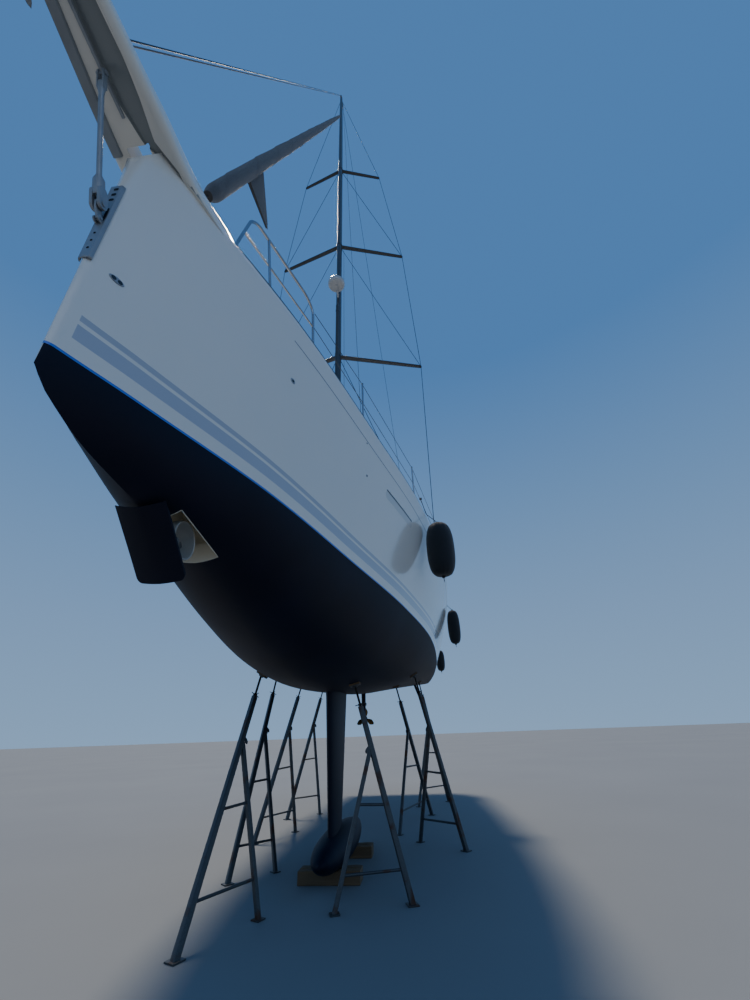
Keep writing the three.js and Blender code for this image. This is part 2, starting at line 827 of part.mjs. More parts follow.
const hubStay = rod(stayStart, stayEnd, 13, 8);
add(
  "thruster_unit",
  join([swungDown(lid.add(feet)), tunnelRing, swingLeg, barrel, hubBar, hubStay]),
  FINISH.antifouling,
);
add(
  "thruster_propeller",
  propeller({
    centre: tunnelCentre.clone().addScaledVector(PORTWARD, 28),
    axis: PORTWARD,
    blades: 4,
    radius: inner - 7,
    hubRadius: 31,
    hubLength: 66,
    chord: 52,
  }),
  FINISH.alloy,
);

// Bow: sprit, stem plate, bobstay, anchor and windlass

const SPRIT_SECTIONS = [
  // aft of the stem, half width, height of the underside, height of the top
  [780, 300, 5240, 5450],
  [300, 240, 5250, 5440],
  [-300, 195, 5300, 5445],
  [-SPRIT_REACH + 60, 118, 5390, 5475],
];
const sprit = loft(
  SPRIT_SECTIONS.map(([aft, half, low, high]) => [
    at(aft, half, low + 60),
    at(aft, half, high),
    at(aft, -half, high),
    at(aft, -half, low + 60),
    at(aft, -half + 70, low),
    at(aft, half - 70, low),
  ]),
);
const rollerSlot = box(at(-SPRIT_REACH, -45, 5300), at(-620, 45, 5600));
const ROLLER = { aft: -SPRIT_REACH + 90, half: 130, z: 5440, radius: 24 };
const roller = rod(
  at(ROLLER.aft, -ROLLER.half, ROLLER.z),
  at(ROLLER.aft, ROLLER.half, ROLLER.z),
  ROLLER.radius,
  10,
);
const stemGap = box(at(-30, -45, 5100), at(55, 45, 5600));
const spritWithRoller = sprit.subtract(rollerSlot).add(roller);
add("bowsprit", wrapRound(spritWithRoller, hullAndDeck).subtract(stemGap), FINISH.topsides);

// The stem plate follows the hull as a thin layer over its skin. Two lugs hold the bobstay's tongue.
const STEM_PLATE = { topZ: 4740, lowZ: 4060, wrap: 16, thickness: 8, sides: 5 };
const plateLayer = join(
  [-1, 1].map((sign) => canoe.translate([STEM_PLATE.thickness, sign * STEM_PLATE.sides, 0])),
);
const stemPlate = plateLayer.intersect(
  box(at(-30, -100, STEM_PLATE.lowZ), at(STEM_PLATE.wrap, 100, STEM_PLATE.topZ)),
);
const bobstayLug = join([
  box(at(-36, -18, 4335), at(-4, -8, 4410)),
  box(at(-36, 8, 4335), at(-4, 18, 4410)),
]);
add("stem_plate", wrapRound(stemPlate, canoe).add(bobstayLug), FINISH.stainless);

const BOBSTAY_TOP = at(-345, 0, 5255);
const BOBSTAY_LOW = at(-22, 0, 4372);
const bobstayAlong = new THREE.Vector3().subVectors(BOBSTAY_LOW, BOBSTAY_TOP).normalize();
const onBobstay = (distance) => BOBSTAY_TOP.clone().addScaledVector(bobstayAlong, distance);
const bobstayLength = BOBSTAY_LOW.distanceTo(BOBSTAY_TOP);
const bobstay = turned(
  [
    [0, 0],
    [22, 0],
    [22, 90],
    [15, 100],
    [15, bobstayLength - 250],
    [30, bobstayLength - 240],
    [36, bobstayLength - 75],
    [0, bobstayLength - 75],
  ],
  BOBSTAY_TOP,
  bobstayAlong,
  12,
);
const tongue = box(at(-34, -7.5, 4342), at(-STEM_PLATE.thickness - 2, 7.5, 4460));
add(
  "bobstay",
  bobstay.add(tongue).subtract(solids.bowsprit).translate([0, 0, -GAP]),
  FINISH.stainless,
);

// Anchor stowed on the roller: shank, crown and a plough blade under the sprit's nose

const anchorShank = loft([
  [
    at(-540, -14, 5490),
    at(-540, 14, 5490),
    at(-540, 14, 5530),
    at(-540, -14, 5530),
  ],
  [
    at(-SPRIT_REACH + 40, -16, 5482),
    at(-SPRIT_REACH + 40, 16, 5482),
    at(-SPRIT_REACH + 40, 16, 5545),
    at(-SPRIT_REACH + 40, -16, 5545),
  ],
  [
    at(-SPRIT_REACH - 60, -16, 5250),
    at(-SPRIT_REACH - 60, 16, 5250),
    at(-SPRIT_REACH - 130, 16, 5300),
    at(-SPRIT_REACH - 130, -16, 5300),
  ],
]);
const anchorBlade = join(
  [-1, 1].map((sign) =>
    loft([
      [
        at(-SPRIT_REACH - 50, -sign * 4, 5240),
        at(-SPRIT_REACH - 90, -sign * 4, 5205),
        at(-SPRIT_REACH - 140, sign * 170, 5300),
        at(-SPRIT_REACH - 110, sign * 170, 5330),
      ],
      [
        at(-665, -sign * 4, 4885),
        at(-680, -sign * 4, 4862),
        at(-692, sign * 14, 4872),
        at(-680, sign * 14, 4892),
      ],
    ]),
  ),
);
const crownAft = -SPRIT_REACH - 85;
const anchorCrown = rod(at(crownAft, -30, 5248), at(crownAft, 30, 5248), 34, 8);
add("anchor", join([anchorShank, anchorBlade, anchorCrown]), FINISH.galvanised);

const windlass = turned(
  [
    [0, -30],
    [95, -30],
    [95, 40],
    [60, 60],
    [45, 110],
    [70, 170],
    [70, 190],
    [0, 190],
  ],
  at(1150, 0, deckZ(1150, 0)),
  new THREE.Vector3(0, 0, 1),
  14,
);
add("windlass", standOn(windlass, hullAndDeck), FINISH.stainless);

// Rails: split pulpit, lifelines on stanchions and split pushpit

const railPoint = (aft, inset, height, sign) => {
  const port = deckHalf(aft) - inset;
  return at(aft, sign * port, deckZ(aft, port) + height);
};
const RAIL_RADIUS = 14;
const RAIL_HEIGHT = 640;
const FOOT = -20; // where a leg starts, below the deck's top
const footPad = (aft, inset, sign) =>
  rod(railPoint(aft, inset, FOOT - 10, sign), railPoint(aft, inset, 14, sign), 34, 8);

for (const { side, sign } of BOTH_SIDES) {
  const rail = tube(
    [
      railPoint(740, 48, FOOT, sign),
      railPoint(845, 45, RAIL_HEIGHT - 70, sign),
      railPoint(915, 45, RAIL_HEIGHT, sign),
      railPoint(1640, 55, RAIL_HEIGHT - 20, sign),
      railPoint(1755, 55, RAIL_HEIGHT - 100, sign),
      railPoint(1790, 55, FOOT, sign),
    ],
    RAIL_RADIUS,
  );
  const middleLeg = rod(
    railPoint(1150, 50, FOOT, sign),
    railPoint(1060, 50, RAIL_HEIGHT - 12, sign),
    RAIL_RADIUS,
  );
  const lowRail = rod(railPoint(805, 46, 330, sign), railPoint(1772, 55, 310, sign), 10);
  const pads = [740, 1150, 1790].map((aft) => footPad(aft, 52, sign));
  const pulpit = wrapRound(join([rail, middleLeg, lowRail, ...pads]), solids.bowsprit);
  add(`pulpit_${side}`, standOn(pulpit, hullAndDeck), FINISH.stainless);
}

const STANCHIONS = [2930, 4900, 6950, 9000, 11050, 13100];
const LIFELINE_START = 1860;
const LIFELINE_END = 15165; // at the pushpit
const STERN_RAIL = { aft: HULL_LENGTH - 120, corner: deckHalf(HULL_LENGTH) - 90, gate: 1000 };
for (const { side, sign } of BOTH_SIDES) {
  const posts = STANCHIONS.flatMap((aft) => [
    rod(railPoint(aft, 60, FOOT, sign), railPoint(aft, 60, RAIL_HEIGHT, sign), 12.5),
    footPad(aft, 60, sign),
  ]);
  const wires = [RAIL_HEIGHT - 15, RAIL_HEIGHT * 0.5].map((height) =>
    tube(
      [LIFELINE_START, ...STANCHIONS, LIFELINE_END].map((aft) => railPoint(aft, 60, height, sign)),
      4,
      6,
    ),
  );
  const sternAt = (port, height) =>
    at(STERN_RAIL.aft, sign * port, deckZ(STERN_RAIL.aft, port) + height);
  const rail = tube(
    [
      railPoint(15150, 60, FOOT, sign),
      railPoint(15170, 60, RAIL_HEIGHT - 60, sign),
      railPoint(15260, 60, RAIL_HEIGHT, sign),
      railPoint(16800, 75, RAIL_HEIGHT, sign),
      sternAt(STERN_RAIL.corner, RAIL_HEIGHT),
      sternAt(STERN_RAIL.gate + 80, RAIL_HEIGHT),
      sternAt(STERN_RAIL.gate, RAIL_HEIGHT - 60),
      sternAt(STERN_RAIL.gate, FOOT),
    ],
    RAIL_RADIUS,
  );
  const leg = rod(
    railPoint(16800, 65, FOOT, sign),
    railPoint(16800, 65, RAIL_HEIGHT - 5, sign),
    RAIL_RADIUS,
  );
  const lowRail = rod(railPoint(15165, 60, 320, sign), railPoint(16800, 75, 320, sign), 10);
  const pads = [15150, 16800].map((aft) => footPad(aft, 65, sign));
  const rails = join([...posts, ...wires, rail, leg, lowRail, ...pads]);
  add(`rails_${side}`, standOn(rails, hullAndDeck), FINISH.stainless);
}

// Mast and standing rigging

const mastRing = (z, scale, grow = 0) => {
  const halfLength = (MAST_LENGTHWISE / 2) * scale + grow;
  const halfWidth = (MAST_ACROSS / 2) * scale + grow;
  return levelRing(MAST_AFT, 0, z, halfLength, halfWidth);
};
const MAST_FOOT_Z = topZ(MAST_AFT) - 40;
const GOOSENECK = { aft: MAST_AFT + MAST_LENGTHWISE / 2 + 70, z: 6900 };
const VANG_Z = 5980;
const mastTube = loft([
  mastRing(MAST_FOOT_Z - 60, 1),
  mastRing(20200, 1),
  mastRing(24500, 0.86),
  mastRing(MAST_TOP_Z, 0.66),
]);
const bracketLugs = [-1, 1].map((sign) =>
  box(
    at(MAST_AFT + 80, -35, GOOSENECK.z + sign * 34 - 8),
    at(GOOSENECK.aft + 30, 35, GOOSENECK.z + sign * 34 + 8),
  ),
);
const vangShelf = box(
  at(MAST_AFT + 80, -35, VANG_Z - 60),
  at(GOOSENECK.aft + 30, 35, VANG_Z - 36),
);
const masthead = box(
  at(MAST_AFT - 110, -35, MAST_TOP_Z - 60),
  at(MAST_AFT + 230, 35, MAST_TOP_Z + 30),
);
const mastPieces = join([mastTube, ...bracketLugs, vangShelf, masthead]);
const mast = add("mast", standOn(mastPieces, hullAndDeck), FINISH.spar);

const SWEEP = 17;
const SPREADERS = [
  // name, height, half span, root chord
  ["lower", 10540, 2150, 150],
  ["middle", 15400, 1940, 135],
  ["upper", 20100, 1380, 120],
].map(([name, z, reach, chord]) => ({ name, z, reach, chord }));
const spreaderTip = ({ z, reach }, sign) =>
  at(MAST_AFT + reach * Math.tan(degrees(SWEEP)), sign * reach, z);

const COLLAR_WALL = 14;
for (const spreader of SPREADERS) {
  const { name, z, chord } = spreader;
  const arms = BOTH_SIDES.map(({ sign }) => {
    const tip = spreaderTip(spreader, sign);
    const root = at(MAST_AFT + 20, 0, z);
    const upward = new THREE.Vector3(0, 0, 1);
    const ahead = new THREE.Vector3(1, 0, 0);
    const ring = (middle, length, thickness) =>
      foilRing(
        middle.clone().addScaledVector(ahead, length / 2),
        middle.clone().addScaledVector(ahead, -length / 2),
        upward.clone().multiplyScalar(thickness),
        10,
      );
    return loft([ring(root, chord, 46), ring(tip, chord * 0.6, 28)]);
  });
  const collar = loft([mastRing(z - 55, 1, COLLAR_WALL), mastRing(z + 55, 1, COLLAR_WALL)]);
  const mastHole = loft([mastRing(z - 90, 1, GAP), mastRing(z + 90, 1, GAP)]);
  add(`spreaders_${name}`, join([...arms, collar]).subtract(mastHole), FINISH.spar);
}

const CHAINPLATE_AFT = 7400;
const SHROUD_RADIUS = 8;
const allSpreaders = join(SPREADERS.map(({ name }) => solids[`spreaders_${name}`]));
for (const { side, sign } of BOTH_SIDES) {
  const outside = (tip) => tip.clone().add(new THREE.Vector3(0, sign * (SHROUD_RADIUS + 3), 0));
  const tips = SPREADERS.map((spreader) => outside(spreaderTip(spreader, sign)));
  const platePort = deckHalf(CHAINPLATE_AFT) - 125;
  const plate = at(CHAINPLATE_AFT, sign * platePort, deckZ(CHAINPLATE_AFT, platePort));
  const besidePlate = (x, y, z) => plate.clone().add(new THREE.Vector3(x, y, z));
  const mastSide = (z, inset = 30) => at(MAST_AFT + 20, sign * (MAST_ACROSS / 2 + inset), z);
  const wire = (from, to) => rod(from, to, SHROUD_RADIUS, 6);
  const shrouds = join([
    tube([plate, ...tips, mastSide(MAST_TOP_Z - 350, 10)], SHROUD_RADIUS, 6),
    wire(tips[0], mastSide(SPREADERS[1].z - 110)),
    wire(tips[1], mastSide(SPREADERS[2].z - 110)),
    wire(besidePlate(-60, 0, 0), mastSide(SPREADERS[0].z - 110)),
    rod(besidePlate(0, 0, -30), besidePlate(0, 0, 320), 20, 8),
    box(besidePlate(-90, -12, -30), besidePlate(30, 12, 60)),
  ]);
  const rigged = shrouds.subtract(mast).subtract(allSpreaders);
  add(`shrouds_${side}`, standOn(rigged, hullAndDeck), FINISH.wire);
}

const backstayTang = box(
  at(MAST_AFT + 230 + GAP, -34, MAST_TOP_Z - 150),
  at(MAST_AFT + 290, 34, MAST_TOP_Z - 30),
);
const backstays = BOTH_SIDES.map(({ sign }) => {
  const foot = at(HULL_LENGTH - 330, sign * 1780, deckZ(HULL_LENGTH - 330, 1780));
  const top = at(MAST_AFT + 262, sign * 18, MAST_TOP_Z - 110);
  const down = new THREE.Vector3().subVectors(foot, top).normalize();
  return join([
    rod(foot.clone().addScaledVector(down, 18), top, 6, 8),
    rod(foot.clone().addScaledVector(down, 25), foot.clone().addScaledVector(down, -420), 22, 8),
  ]);
});
add("backstays", standOn(join([...backstays, backstayTang]), hullAndDeck), FINISH.wire);

// Headsails: forestay with its furled sail, and the bare stay to the sprit

const FORESTAY = { foot: at(500, 0, 5440), top: at(MAST_AFT - 125, 0, 24250) };
const onForestay = (share) => FORESTAY.foot.clone().lerp(FORESTAY.top, share);
const forestayLength = FORESTAY.foot.distanceTo(FORESTAY.top);
const forestay = turned(
  [
    [0, -60],
    [16, -60],
    [16, forestayLength * 0.009],
    [75, forestayLength * 0.01],
    [75, forestayLength * 0.018],
    [22, forestayLength * 0.019],
    [22, forestayLength * 0.03],
    [9, forestayLength * 0.031],
    [9, forestayLength * 0.997],
    [0, forestayLength * 0.997],
  ],
  FORESTAY.foot,
  new THREE.Vector3().subVectors(FORESTAY.top, FORESTAY.foot),
  12,
);
add("forestay", standOn(forestay.subtract(mast), hullAndDeck.add(solids.bowsprit)), FINISH.wire);
const furledSail = tube(
  [0.034, 0.04, 0.4, 0.8, 0.965, 0.985].map(onForestay),
  [45, 82, 86, 68, 40, 20],
  12,
);
const clew = loft([
  [at(1190, -28, 7500), at(1190, 28, 7500), at(1480, 28, 8400), at(1480, -28, 8400)],
  [at(1835, -12, 7610), at(1835, 12, 7610), at(1870, 12, 7730), at(1870, -12, 7730)],
]);
const stayHole = rod(onForestay(0.03), onForestay(0.992), 9 + GAP, 12);
add("furled_genoa", furledSail.add(clew).subtract(stayHole), FINISH.canvas);

const spritStayFoot = at(-455, 0, 5440);
const spritStayTop = at(MAST_AFT - 110 - 20, 0, MAST_TOP_Z - 40);
const spritStayLength = spritStayFoot.distanceTo(spritStayTop);
const spritStay = turned(
  [
    [0, -40],
    [15, -40],
    [15, 60],
    [6, 64],
    [6, spritStayLength],
    [0, spritStayLength],
  ],
  spritStayFoot,
  new THREE.Vector3().subVectors(spritStayTop, spritStayFoot),
  8,
);
add("sprit_stay", standOn(spritStay.subtract(mast), solids.bowsprit), FINISH.wire);

// Radome on a bracket and the spinnaker pole stowed up the mast's front

const MAST_FRONT = MAST_AFT - MAST_LENGTHWISE / 2;
const RADOME = { aft: MAST_FRONT - 260, z: 12880, radius: 235, bracketHalf: 30 };
const radome = turned(
  [
    [0, 0],
    [RADOME.radius * 0.75, 0],
    [RADOME.radius, 60],
    [RADOME.radius, 140],
    [RADOME.radius * 0.8, 210],
    [RADOME.radius * 0.4, 240],
    [0, 245],
  ],
  at(RADOME.aft, 0, RADOME.z),
  new THREE.Vector3(0, 0, 1),
  18,
);
const radomeBracket = box(
  at(RADOME.aft - 60, -RADOME.bracketHalf, RADOME.z - 30),
  at(MAST_AFT, RADOME.bracketHalf, RADOME.z + 6),
);
add("radome", radome.add(radomeBracket).subtract(mast.translate([GAP, 0, 0])), FINISH.alloy);

const POLE = { aft: MAST_FRONT - 62, lowZ: 5900, topZ: 12330, radius: 45, beak: 120, endRadius: 22 };
const poleTube = turned(
  [
    [0, -POLE.beak],
    [POLE.endRadius, -POLE.beak],
    [POLE.radius, 0],
    [POLE.radius, POLE.topZ - POLE.lowZ],
    [POLE.endRadius, POLE.topZ - POLE.lowZ + POLE.beak],
    [0, POLE.topZ - POLE.lowZ + POLE.beak],
  ],
  at(POLE.aft, 0, POLE.lowZ),
  new THREE.Vector3(0, 0, 1),
  12,
);
const poleClips = [POLE.lowZ + 250, POLE.topZ - 250].map((z) =>
  box(at(POLE.aft, -20, z), at(MAST_FRONT - GAP - 4, 20, z + 60)),
);
const pole = join([poleTube, ...poleClips]);
add("spinnaker_pole", pole.subtract(mast.translate([GAP, 0, 0])), FINISH.spar);

// Boom with its covered sail and the vang, all swinging about the gooseneck's pin

const BOOM = { end: 13300, depth: 230, width: 150 };
const boomRing = (aft, scale) =>
  ovalRing(aft, 0, GOOSENECK.z, (BOOM.width / 2) * scale, (BOOM.depth / 2) * scale, 12);
const boomTube = loft([
  boomRing(GOOSENECK.aft + 90, 0.9),
  boomRing(GOOSENECK.aft + 250, 1),
  boomRing(BOOM.end, 0.85),
]);
const boomTongue = box(
  at(GOOSENECK.aft - 22, -22, GOOSENECK.z - 22),
  at(GOOSENECK.aft + 120, 22, GOOSENECK.z + 22),
);
const boom = add("boom", boomTube.add(boomTongue), FINISH.spar);
const coverRing = ([aft, halfWidth, height]) => {
  const low = GOOSENECK.z + BOOM.depth * 0.3;
  return [
    at(aft, -halfWidth, low),
    at(aft, halfWidth, low),
    at(aft, halfWidth * 1.15, low + height * 0.4),
    at(aft, halfWidth * 0.6, low + height * 0.85),
    at(aft, 0, low + height),
    at(aft, -halfWidth * 0.6, low + height * 0.85),
    at(aft, -halfWidth * 1.15, low + height * 0.4),
  ];
};
const sailCover = loft(
  [
    [GOOSENECK.aft + 160, 70, 620],
    [GOOSENECK.aft + 900, 130, 520],
    [10200, 140, 420],
    [BOOM.end - 250, 70, 230],
  ].map(coverRing),
);
add("sail_cover", standOn(sailCover, boom), FINISH.canvas);

const vangLow = at(GOOSENECK.aft, 0, VANG_Z);
const vangHigh = at(GOOSENECK.aft + 1500, 0, GOOSENECK.z - 60);
const alongVang = (share) => vangLow.clone().lerp(vangHigh, share);
const aboveVangLow = (height) => vangLow.clone().add(new THREE.Vector3(0, 0, height));
const vang = join([
  rod(alongVang(0.03), vangHigh, 32, 10),
  rod(alongVang(0.03), alongVang(0.55), 42, 10),
  rod(aboveVangLow(-30), aboveVangLow(50), 36, 10),
]);
add("vang", hangUnder(vang, boom), FINISH.spar);

// Steering: a pedestal and a wheel on each side

const HELM = { aft: 15050, port: 950, wheelAft: 15260, hubZ: 5060, rimRadius: 480, rimTube: 14 };
for (const { side, sign } of BOTH_SIDES) {
  const port = sign * HELM.port;
  const pedestal = loft(
    [
      [COCKPIT.soleZ + GAP, 150, 130],
      [4700, 110, 105],
      [HELM.hubZ + 90, 90, 120],
      [HELM.hubZ + 160, 60, 90],
    ].map(([z, halfLength, halfWidth]) => levelRing(HELM.aft, port, z, halfLength, halfWidth, 12)),
  );
  const bearing = rod(at(HELM.aft, port, HELM.hubZ), at(HELM.wheelAft - 45, port, HELM.hubZ), 40, 12);
  const bore = rod(at(HELM.wheelAft - 110, port, HELM.hubZ), at(HELM.wheelAft, port, HELM.hubZ), 19, 12);
  add(`pedestal_${side}`, pedestal.add(bearing).subtract(bore), FINISH.deck);

  const hub = join([
    rod(at(HELM.wheelAft - 90, port, HELM.hubZ), at(HELM.wheelAft, port, HELM.hubZ), 15, 12),
    rod(at(HELM.wheelAft - 40, port, HELM.hubZ), at(HELM.wheelAft + 30, port, HELM.hubZ), 42, 12),
  ]);
  const rim = solid(
    new THREE.TorusGeometry(HELM.rimRadius, HELM.rimTube, 6, 24)
      .rotateY(Math.PI / 2)
      .translate(STEM_X - HELM.wheelAft, port, HELM.hubZ),
  );
  const spokes = Array.from({ length: 5 }, (_, i) => {
    const angle = Math.PI / 2 + (2 * Math.PI * i) / 5;
    const reach = (radius) =>
      at(HELM.wheelAft, port + radius * Math.cos(angle), HELM.hubZ + radius * Math.sin(angle));
    return rod(reach(20), reach(HELM.rimRadius), 9, 6);
  });
  add(`wheel_${side}`, join([hub, rim, ...spokes]), FINISH.carbon);
}

// Winches on the coamings and on the roof

const winchShape = (base, scale) =>
  turned(
    [
      [0, -30],
      [78, -30],
      [78, 25],
      [58, 45],
      [54, 110],
      [72, 140],
      [72, 165],
      [0, 165],
    ].map(([radius, height]) => [radius * scale, height > 0 ? height * scale : height]),
    base,
    new THREE.Vector3(0, 0, 1),
    14,
  );
for (const { side, sign } of BOTH_SIDES) {
  const primary = winchShape(at(13600, sign * 1425, 5238), 1);
  add(`winch_primary_${side}`, standOn(primary, deck), FINISH.stainless);
}

// Fenders on their lanyards, along the port side

const FENDERS = [
  // place, middle height, radius, length
  [5400, 4450, 225, 950],
  [11250, 4370, 172, 950],
  [16350, 4150, 160, 780],
];
FENDERS.forEach(([aft, z, radius, length], i) => {
  const rail = railPoint(aft, 60, RAIL_HEIGHT * 0.5 - 12, 1);
  const port = Math.max(
    ...[-0.4, 0, 0.4].map((share) => sideHalf(aft, z + share * length)),
  ) + radius + 4;
  const half = length / 2;
  const body = turned(
    [
      [0, -half],
      [radius * 0.35, -half],
      [radius * 0.8, -half + radius * 0.5],
      [radius, -half + radius * 1.1],
      [radius, half - radius * 1.1],
      [radius * 0.8, half - radius * 0.5],
      [radius * 0.35, half],
      [0, half],
    ],
    at(aft, port, z),
    new THREE.Vector3(0, 0, 1),
    12,
  );
  const edge = at(aft, deckHalf(aft) + 14, sheerZ(aft) + DECK_EDGE + 8);
  const lanyard = tube([at(aft, port, z + half - 20), edge, rail], 6, 6);
  add(`fender_${i + 1}`, body.add(lanyard).subtract(hullAndDeck), FINISH.cover);
});

// Props: a leaning strut to a padded head, with a hinged brace and cross rails

const PROPS = [
  // name, head on the hull, foot of the strut, foot of the brace, as places aft and to port
  ["prop_starboard_1", [6050, -1050], [4290, -1040], [5300, -580]],
  ["prop_starboard_2", [8200, -1480], [6600, -1500], [7180, -980]],
  ["prop_starboard_3", [10300, -1500], [9000, -2000], [10120, -1480]],
  ["prop_starboard_4", [12600, -1450], [11600, -2100], [12300, -1430]],
  ["prop_port_1", [5950, 480], [5750, 1200], [5450, 290]],
  ["prop_port_2", [9900, 880], [11820, 1490], [9650, 820]],
  ["prop_port_3", [8300, 1350], [8300, 2050], [9000, 1250]],
  ["prop_port_4", [12900, 1400], [13900, 2000], [13100, 1150]],
].map(([name, head, foot, brace]) => ({ name, head, foot, brace }));
const STRUT = 42; // half width of the strut's square tube
const BRACE = 32;
const PAD = { half: 90, thickness: 45 };

for (const { name, head, foot, brace } of PROPS) {
  const [aft, port] = head;
  const hullPoint = at(aft, port, bottomZ(aft, port));
  const slopeAft = (bottomZ(aft + 100, port) - bottomZ(aft - 100, port)) / 200;
  const slopePort = (bottomZ(aft, port + 60) - bottomZ(aft, port - 60)) / 120;
  const normal = new THREE.Vector3(-slopeAft, slopePort, -1).normalize();
  const padTop = hullPoint.clone().addScaledVector(normal, -30);
  const padLow = hullPoint.clone().addScaledVector(normal, PAD.thickness);
  const pad = rod(padTop, padLow, PAD.half * 1.3, 4);
  const footPoint = at(foot[0], foot[1], 12);
  const bracePoint = at(brace[0], brace[1], 12);
  const onStrut = (share) => footPoint.clone().lerp(padLow, share);
  const braceTop = onStrut(0.68);
  const onBrace = (share) => bracePoint.clone().lerp(braceTop, share);
  const pieces = [
    pad,
    rod(onStrut(0), onStrut(0.88), STRUT * 1.2, 4),
    rod(onStrut(0.86), onStrut(1.01), 20, 8),
    rod(onBrace(0), onBrace(1), BRACE * 1.2, 4),
    rod(onStrut(0.13), onBrace(0.19), 20, 6),
    rod(onStrut(0.4), onBrace(0.6), 20, 6),
    box(at(foot[0] - 70, foot[1] - 70, 0), at(foot[0] + 70, foot[1] + 70, 20)),
    box(at(brace[0] - 60, brace[1] - 60, 0), at(brace[0] + 60, brace[1] + 60, 20)),
  ];
  const ground = box(at(foot[0] - 5000, foot[1] - 5000, -400), at(foot[0] + 5000, foot[1] + 5000, 0));
  const prop = join(pieces).subtract(hull).subtract(ground);
  const back = normal.clone().multiplyScalar(GAP);
  add(name, prop.subtract(hull.translate([back.x, back.y, back.z])), FINISH.steel);
}

export default yacht;
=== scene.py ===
# %% [markdown]
# # A sailing yacht ashore
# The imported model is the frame: every rigid piece is at its real size and place in it, and rides on a
# body that can move. Here each piece gets the surface that its real material has, and the pieces that a
# plain solid can't show, such as the faired hull, the rolled sail and the polished rails, are made anew
# on the same measures.

# %% Load the frame
import json
import math

import bmesh
import bpy
from mathutils import Matrix, Vector


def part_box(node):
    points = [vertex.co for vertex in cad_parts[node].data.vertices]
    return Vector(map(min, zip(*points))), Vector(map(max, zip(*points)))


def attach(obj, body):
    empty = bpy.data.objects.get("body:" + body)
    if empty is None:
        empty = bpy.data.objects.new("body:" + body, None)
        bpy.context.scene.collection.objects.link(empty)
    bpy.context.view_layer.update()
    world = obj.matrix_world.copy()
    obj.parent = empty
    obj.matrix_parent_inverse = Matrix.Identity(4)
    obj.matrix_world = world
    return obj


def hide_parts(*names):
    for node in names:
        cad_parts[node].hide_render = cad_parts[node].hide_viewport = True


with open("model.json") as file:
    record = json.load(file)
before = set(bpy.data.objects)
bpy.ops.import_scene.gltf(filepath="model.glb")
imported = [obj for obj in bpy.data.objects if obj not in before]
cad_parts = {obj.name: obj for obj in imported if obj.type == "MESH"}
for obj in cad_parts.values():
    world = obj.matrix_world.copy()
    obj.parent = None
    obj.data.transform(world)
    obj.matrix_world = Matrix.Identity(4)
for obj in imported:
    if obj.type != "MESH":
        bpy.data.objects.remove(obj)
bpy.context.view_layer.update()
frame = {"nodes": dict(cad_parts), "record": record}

# %% [markdown]
# Boat builders measure from the stem, so places are given as a distance aft of the stem, to port of the
# centreline, and above the ground. One helper turns them into the frame's own X, Y and Z. The others
# here read a table between its rows and go round a circle in equal steps.

# %% Places on the yacht
STEM_X = 7.98
WATERLINE_Z = 3.45
HULL_LENGTH = 17.2
SPRIT_REACH = 1.1
BOTH_SIDES = (("port", 1), ("starboard", -1))
AHEAD, PORTWARD, UP = Vector((1, 0, 0)), Vector((0, 1, 0)), Vector((0, 0, 1))
SQUARE = ((1, 1), (-1, 1), (-1, -1), (1, -1))


def at(aft, port, up):
    return Vector((STEM_X - aft, port, up))


def lerp(a, b, t):
    return a + (b - a) * t


def row_at(rows, place):
    """A table's other columns at a place along its first one."""
    for low, high in zip(rows, rows[1:]):
        if high[0] >= place:
            t = (place - low[0]) / (high[0] - low[0])
            return [lerp(a, b, t) for a, b in zip(low[1:], high[1:])]
    return rows[-1][1:]


def round_angles(count):
    """Equal steps once round, in radians."""
    return [2 * math.pi * k / count for k in range(count)]


# %% [markdown]
# The photograph was taken with a wide lens from just ahead of the bow, a little to port, at eye height,
# and looks up at the hull. The lens is 15.3 mm on a 36 mm frame, found from the mast's and the keel's
# vanishing points. The camera comes first, so that every later piece can be judged in its view.

# %% Camera
def add_camera(place, turn, tilt, roll, lens):
    turn, tilt, roll = (math.radians(angle) for angle in (turn, tilt, roll))
    ahead = Vector((-math.cos(turn) * math.cos(tilt), -math.sin(turn) * math.cos(tilt), math.sin(tilt)))
    level = Vector((-math.sin(turn), math.cos(turn), 0))
    above = level.cross(ahead)
    right = level * math.cos(roll) + above * math.sin(roll)
    up = above * math.cos(roll) - level * math.sin(roll)
    data = bpy.data.cameras.new("camera")
    data.lens = lens
    data.sensor_width = 36
    data.clip_start = 0.05
    data.clip_end = 500
    camera = bpy.data.objects.new("camera", data)
    bpy.context.scene.collection.objects.link(camera)
    camera.matrix_world = Matrix.Translation(place) @ Matrix((right, up, -ahead)).transposed().to_4x4()
    bpy.context.scene.camera = camera
    return camera


camera = add_camera(at(-1.16, 1.55, 1.9), turn=5.2, tilt=28.35, roll=-2.11, lens=15.3)
print("camera at", [round(v, 2) for v in camera.location])

# %% [markdown]
# ## Materials
# A material is made of nodes. One small function adds a node with its settings and its links, and
# another starts a material with the constants that the whole surface shares. Colours are written as
# sRGB hex values, the way a paint chart gives them, and turned to linear light here.

# %% Helpers for materials
def linear(hex_colour):
    channels = [int(hex_colour[i : i + 2], 16) / 255 for i in (1, 3, 5)]
    return [c / 12.92 if c <= 0.04045 else ((c + 0.055) / 1.055) ** 2.4 for c in channels] + [1]


def add_node(tree, kind, inputs=None, **settings):
    new = tree.nodes.new(kind)
    for name, value in settings.items():
        setattr(new, name, value)
    for name, value in (inputs or {}).items():
        if isinstance(value, bpy.types.NodeSocket):
            tree.links.new(value, new.inputs[name])
        else:
            new.inputs[name].default_value = value
    return new


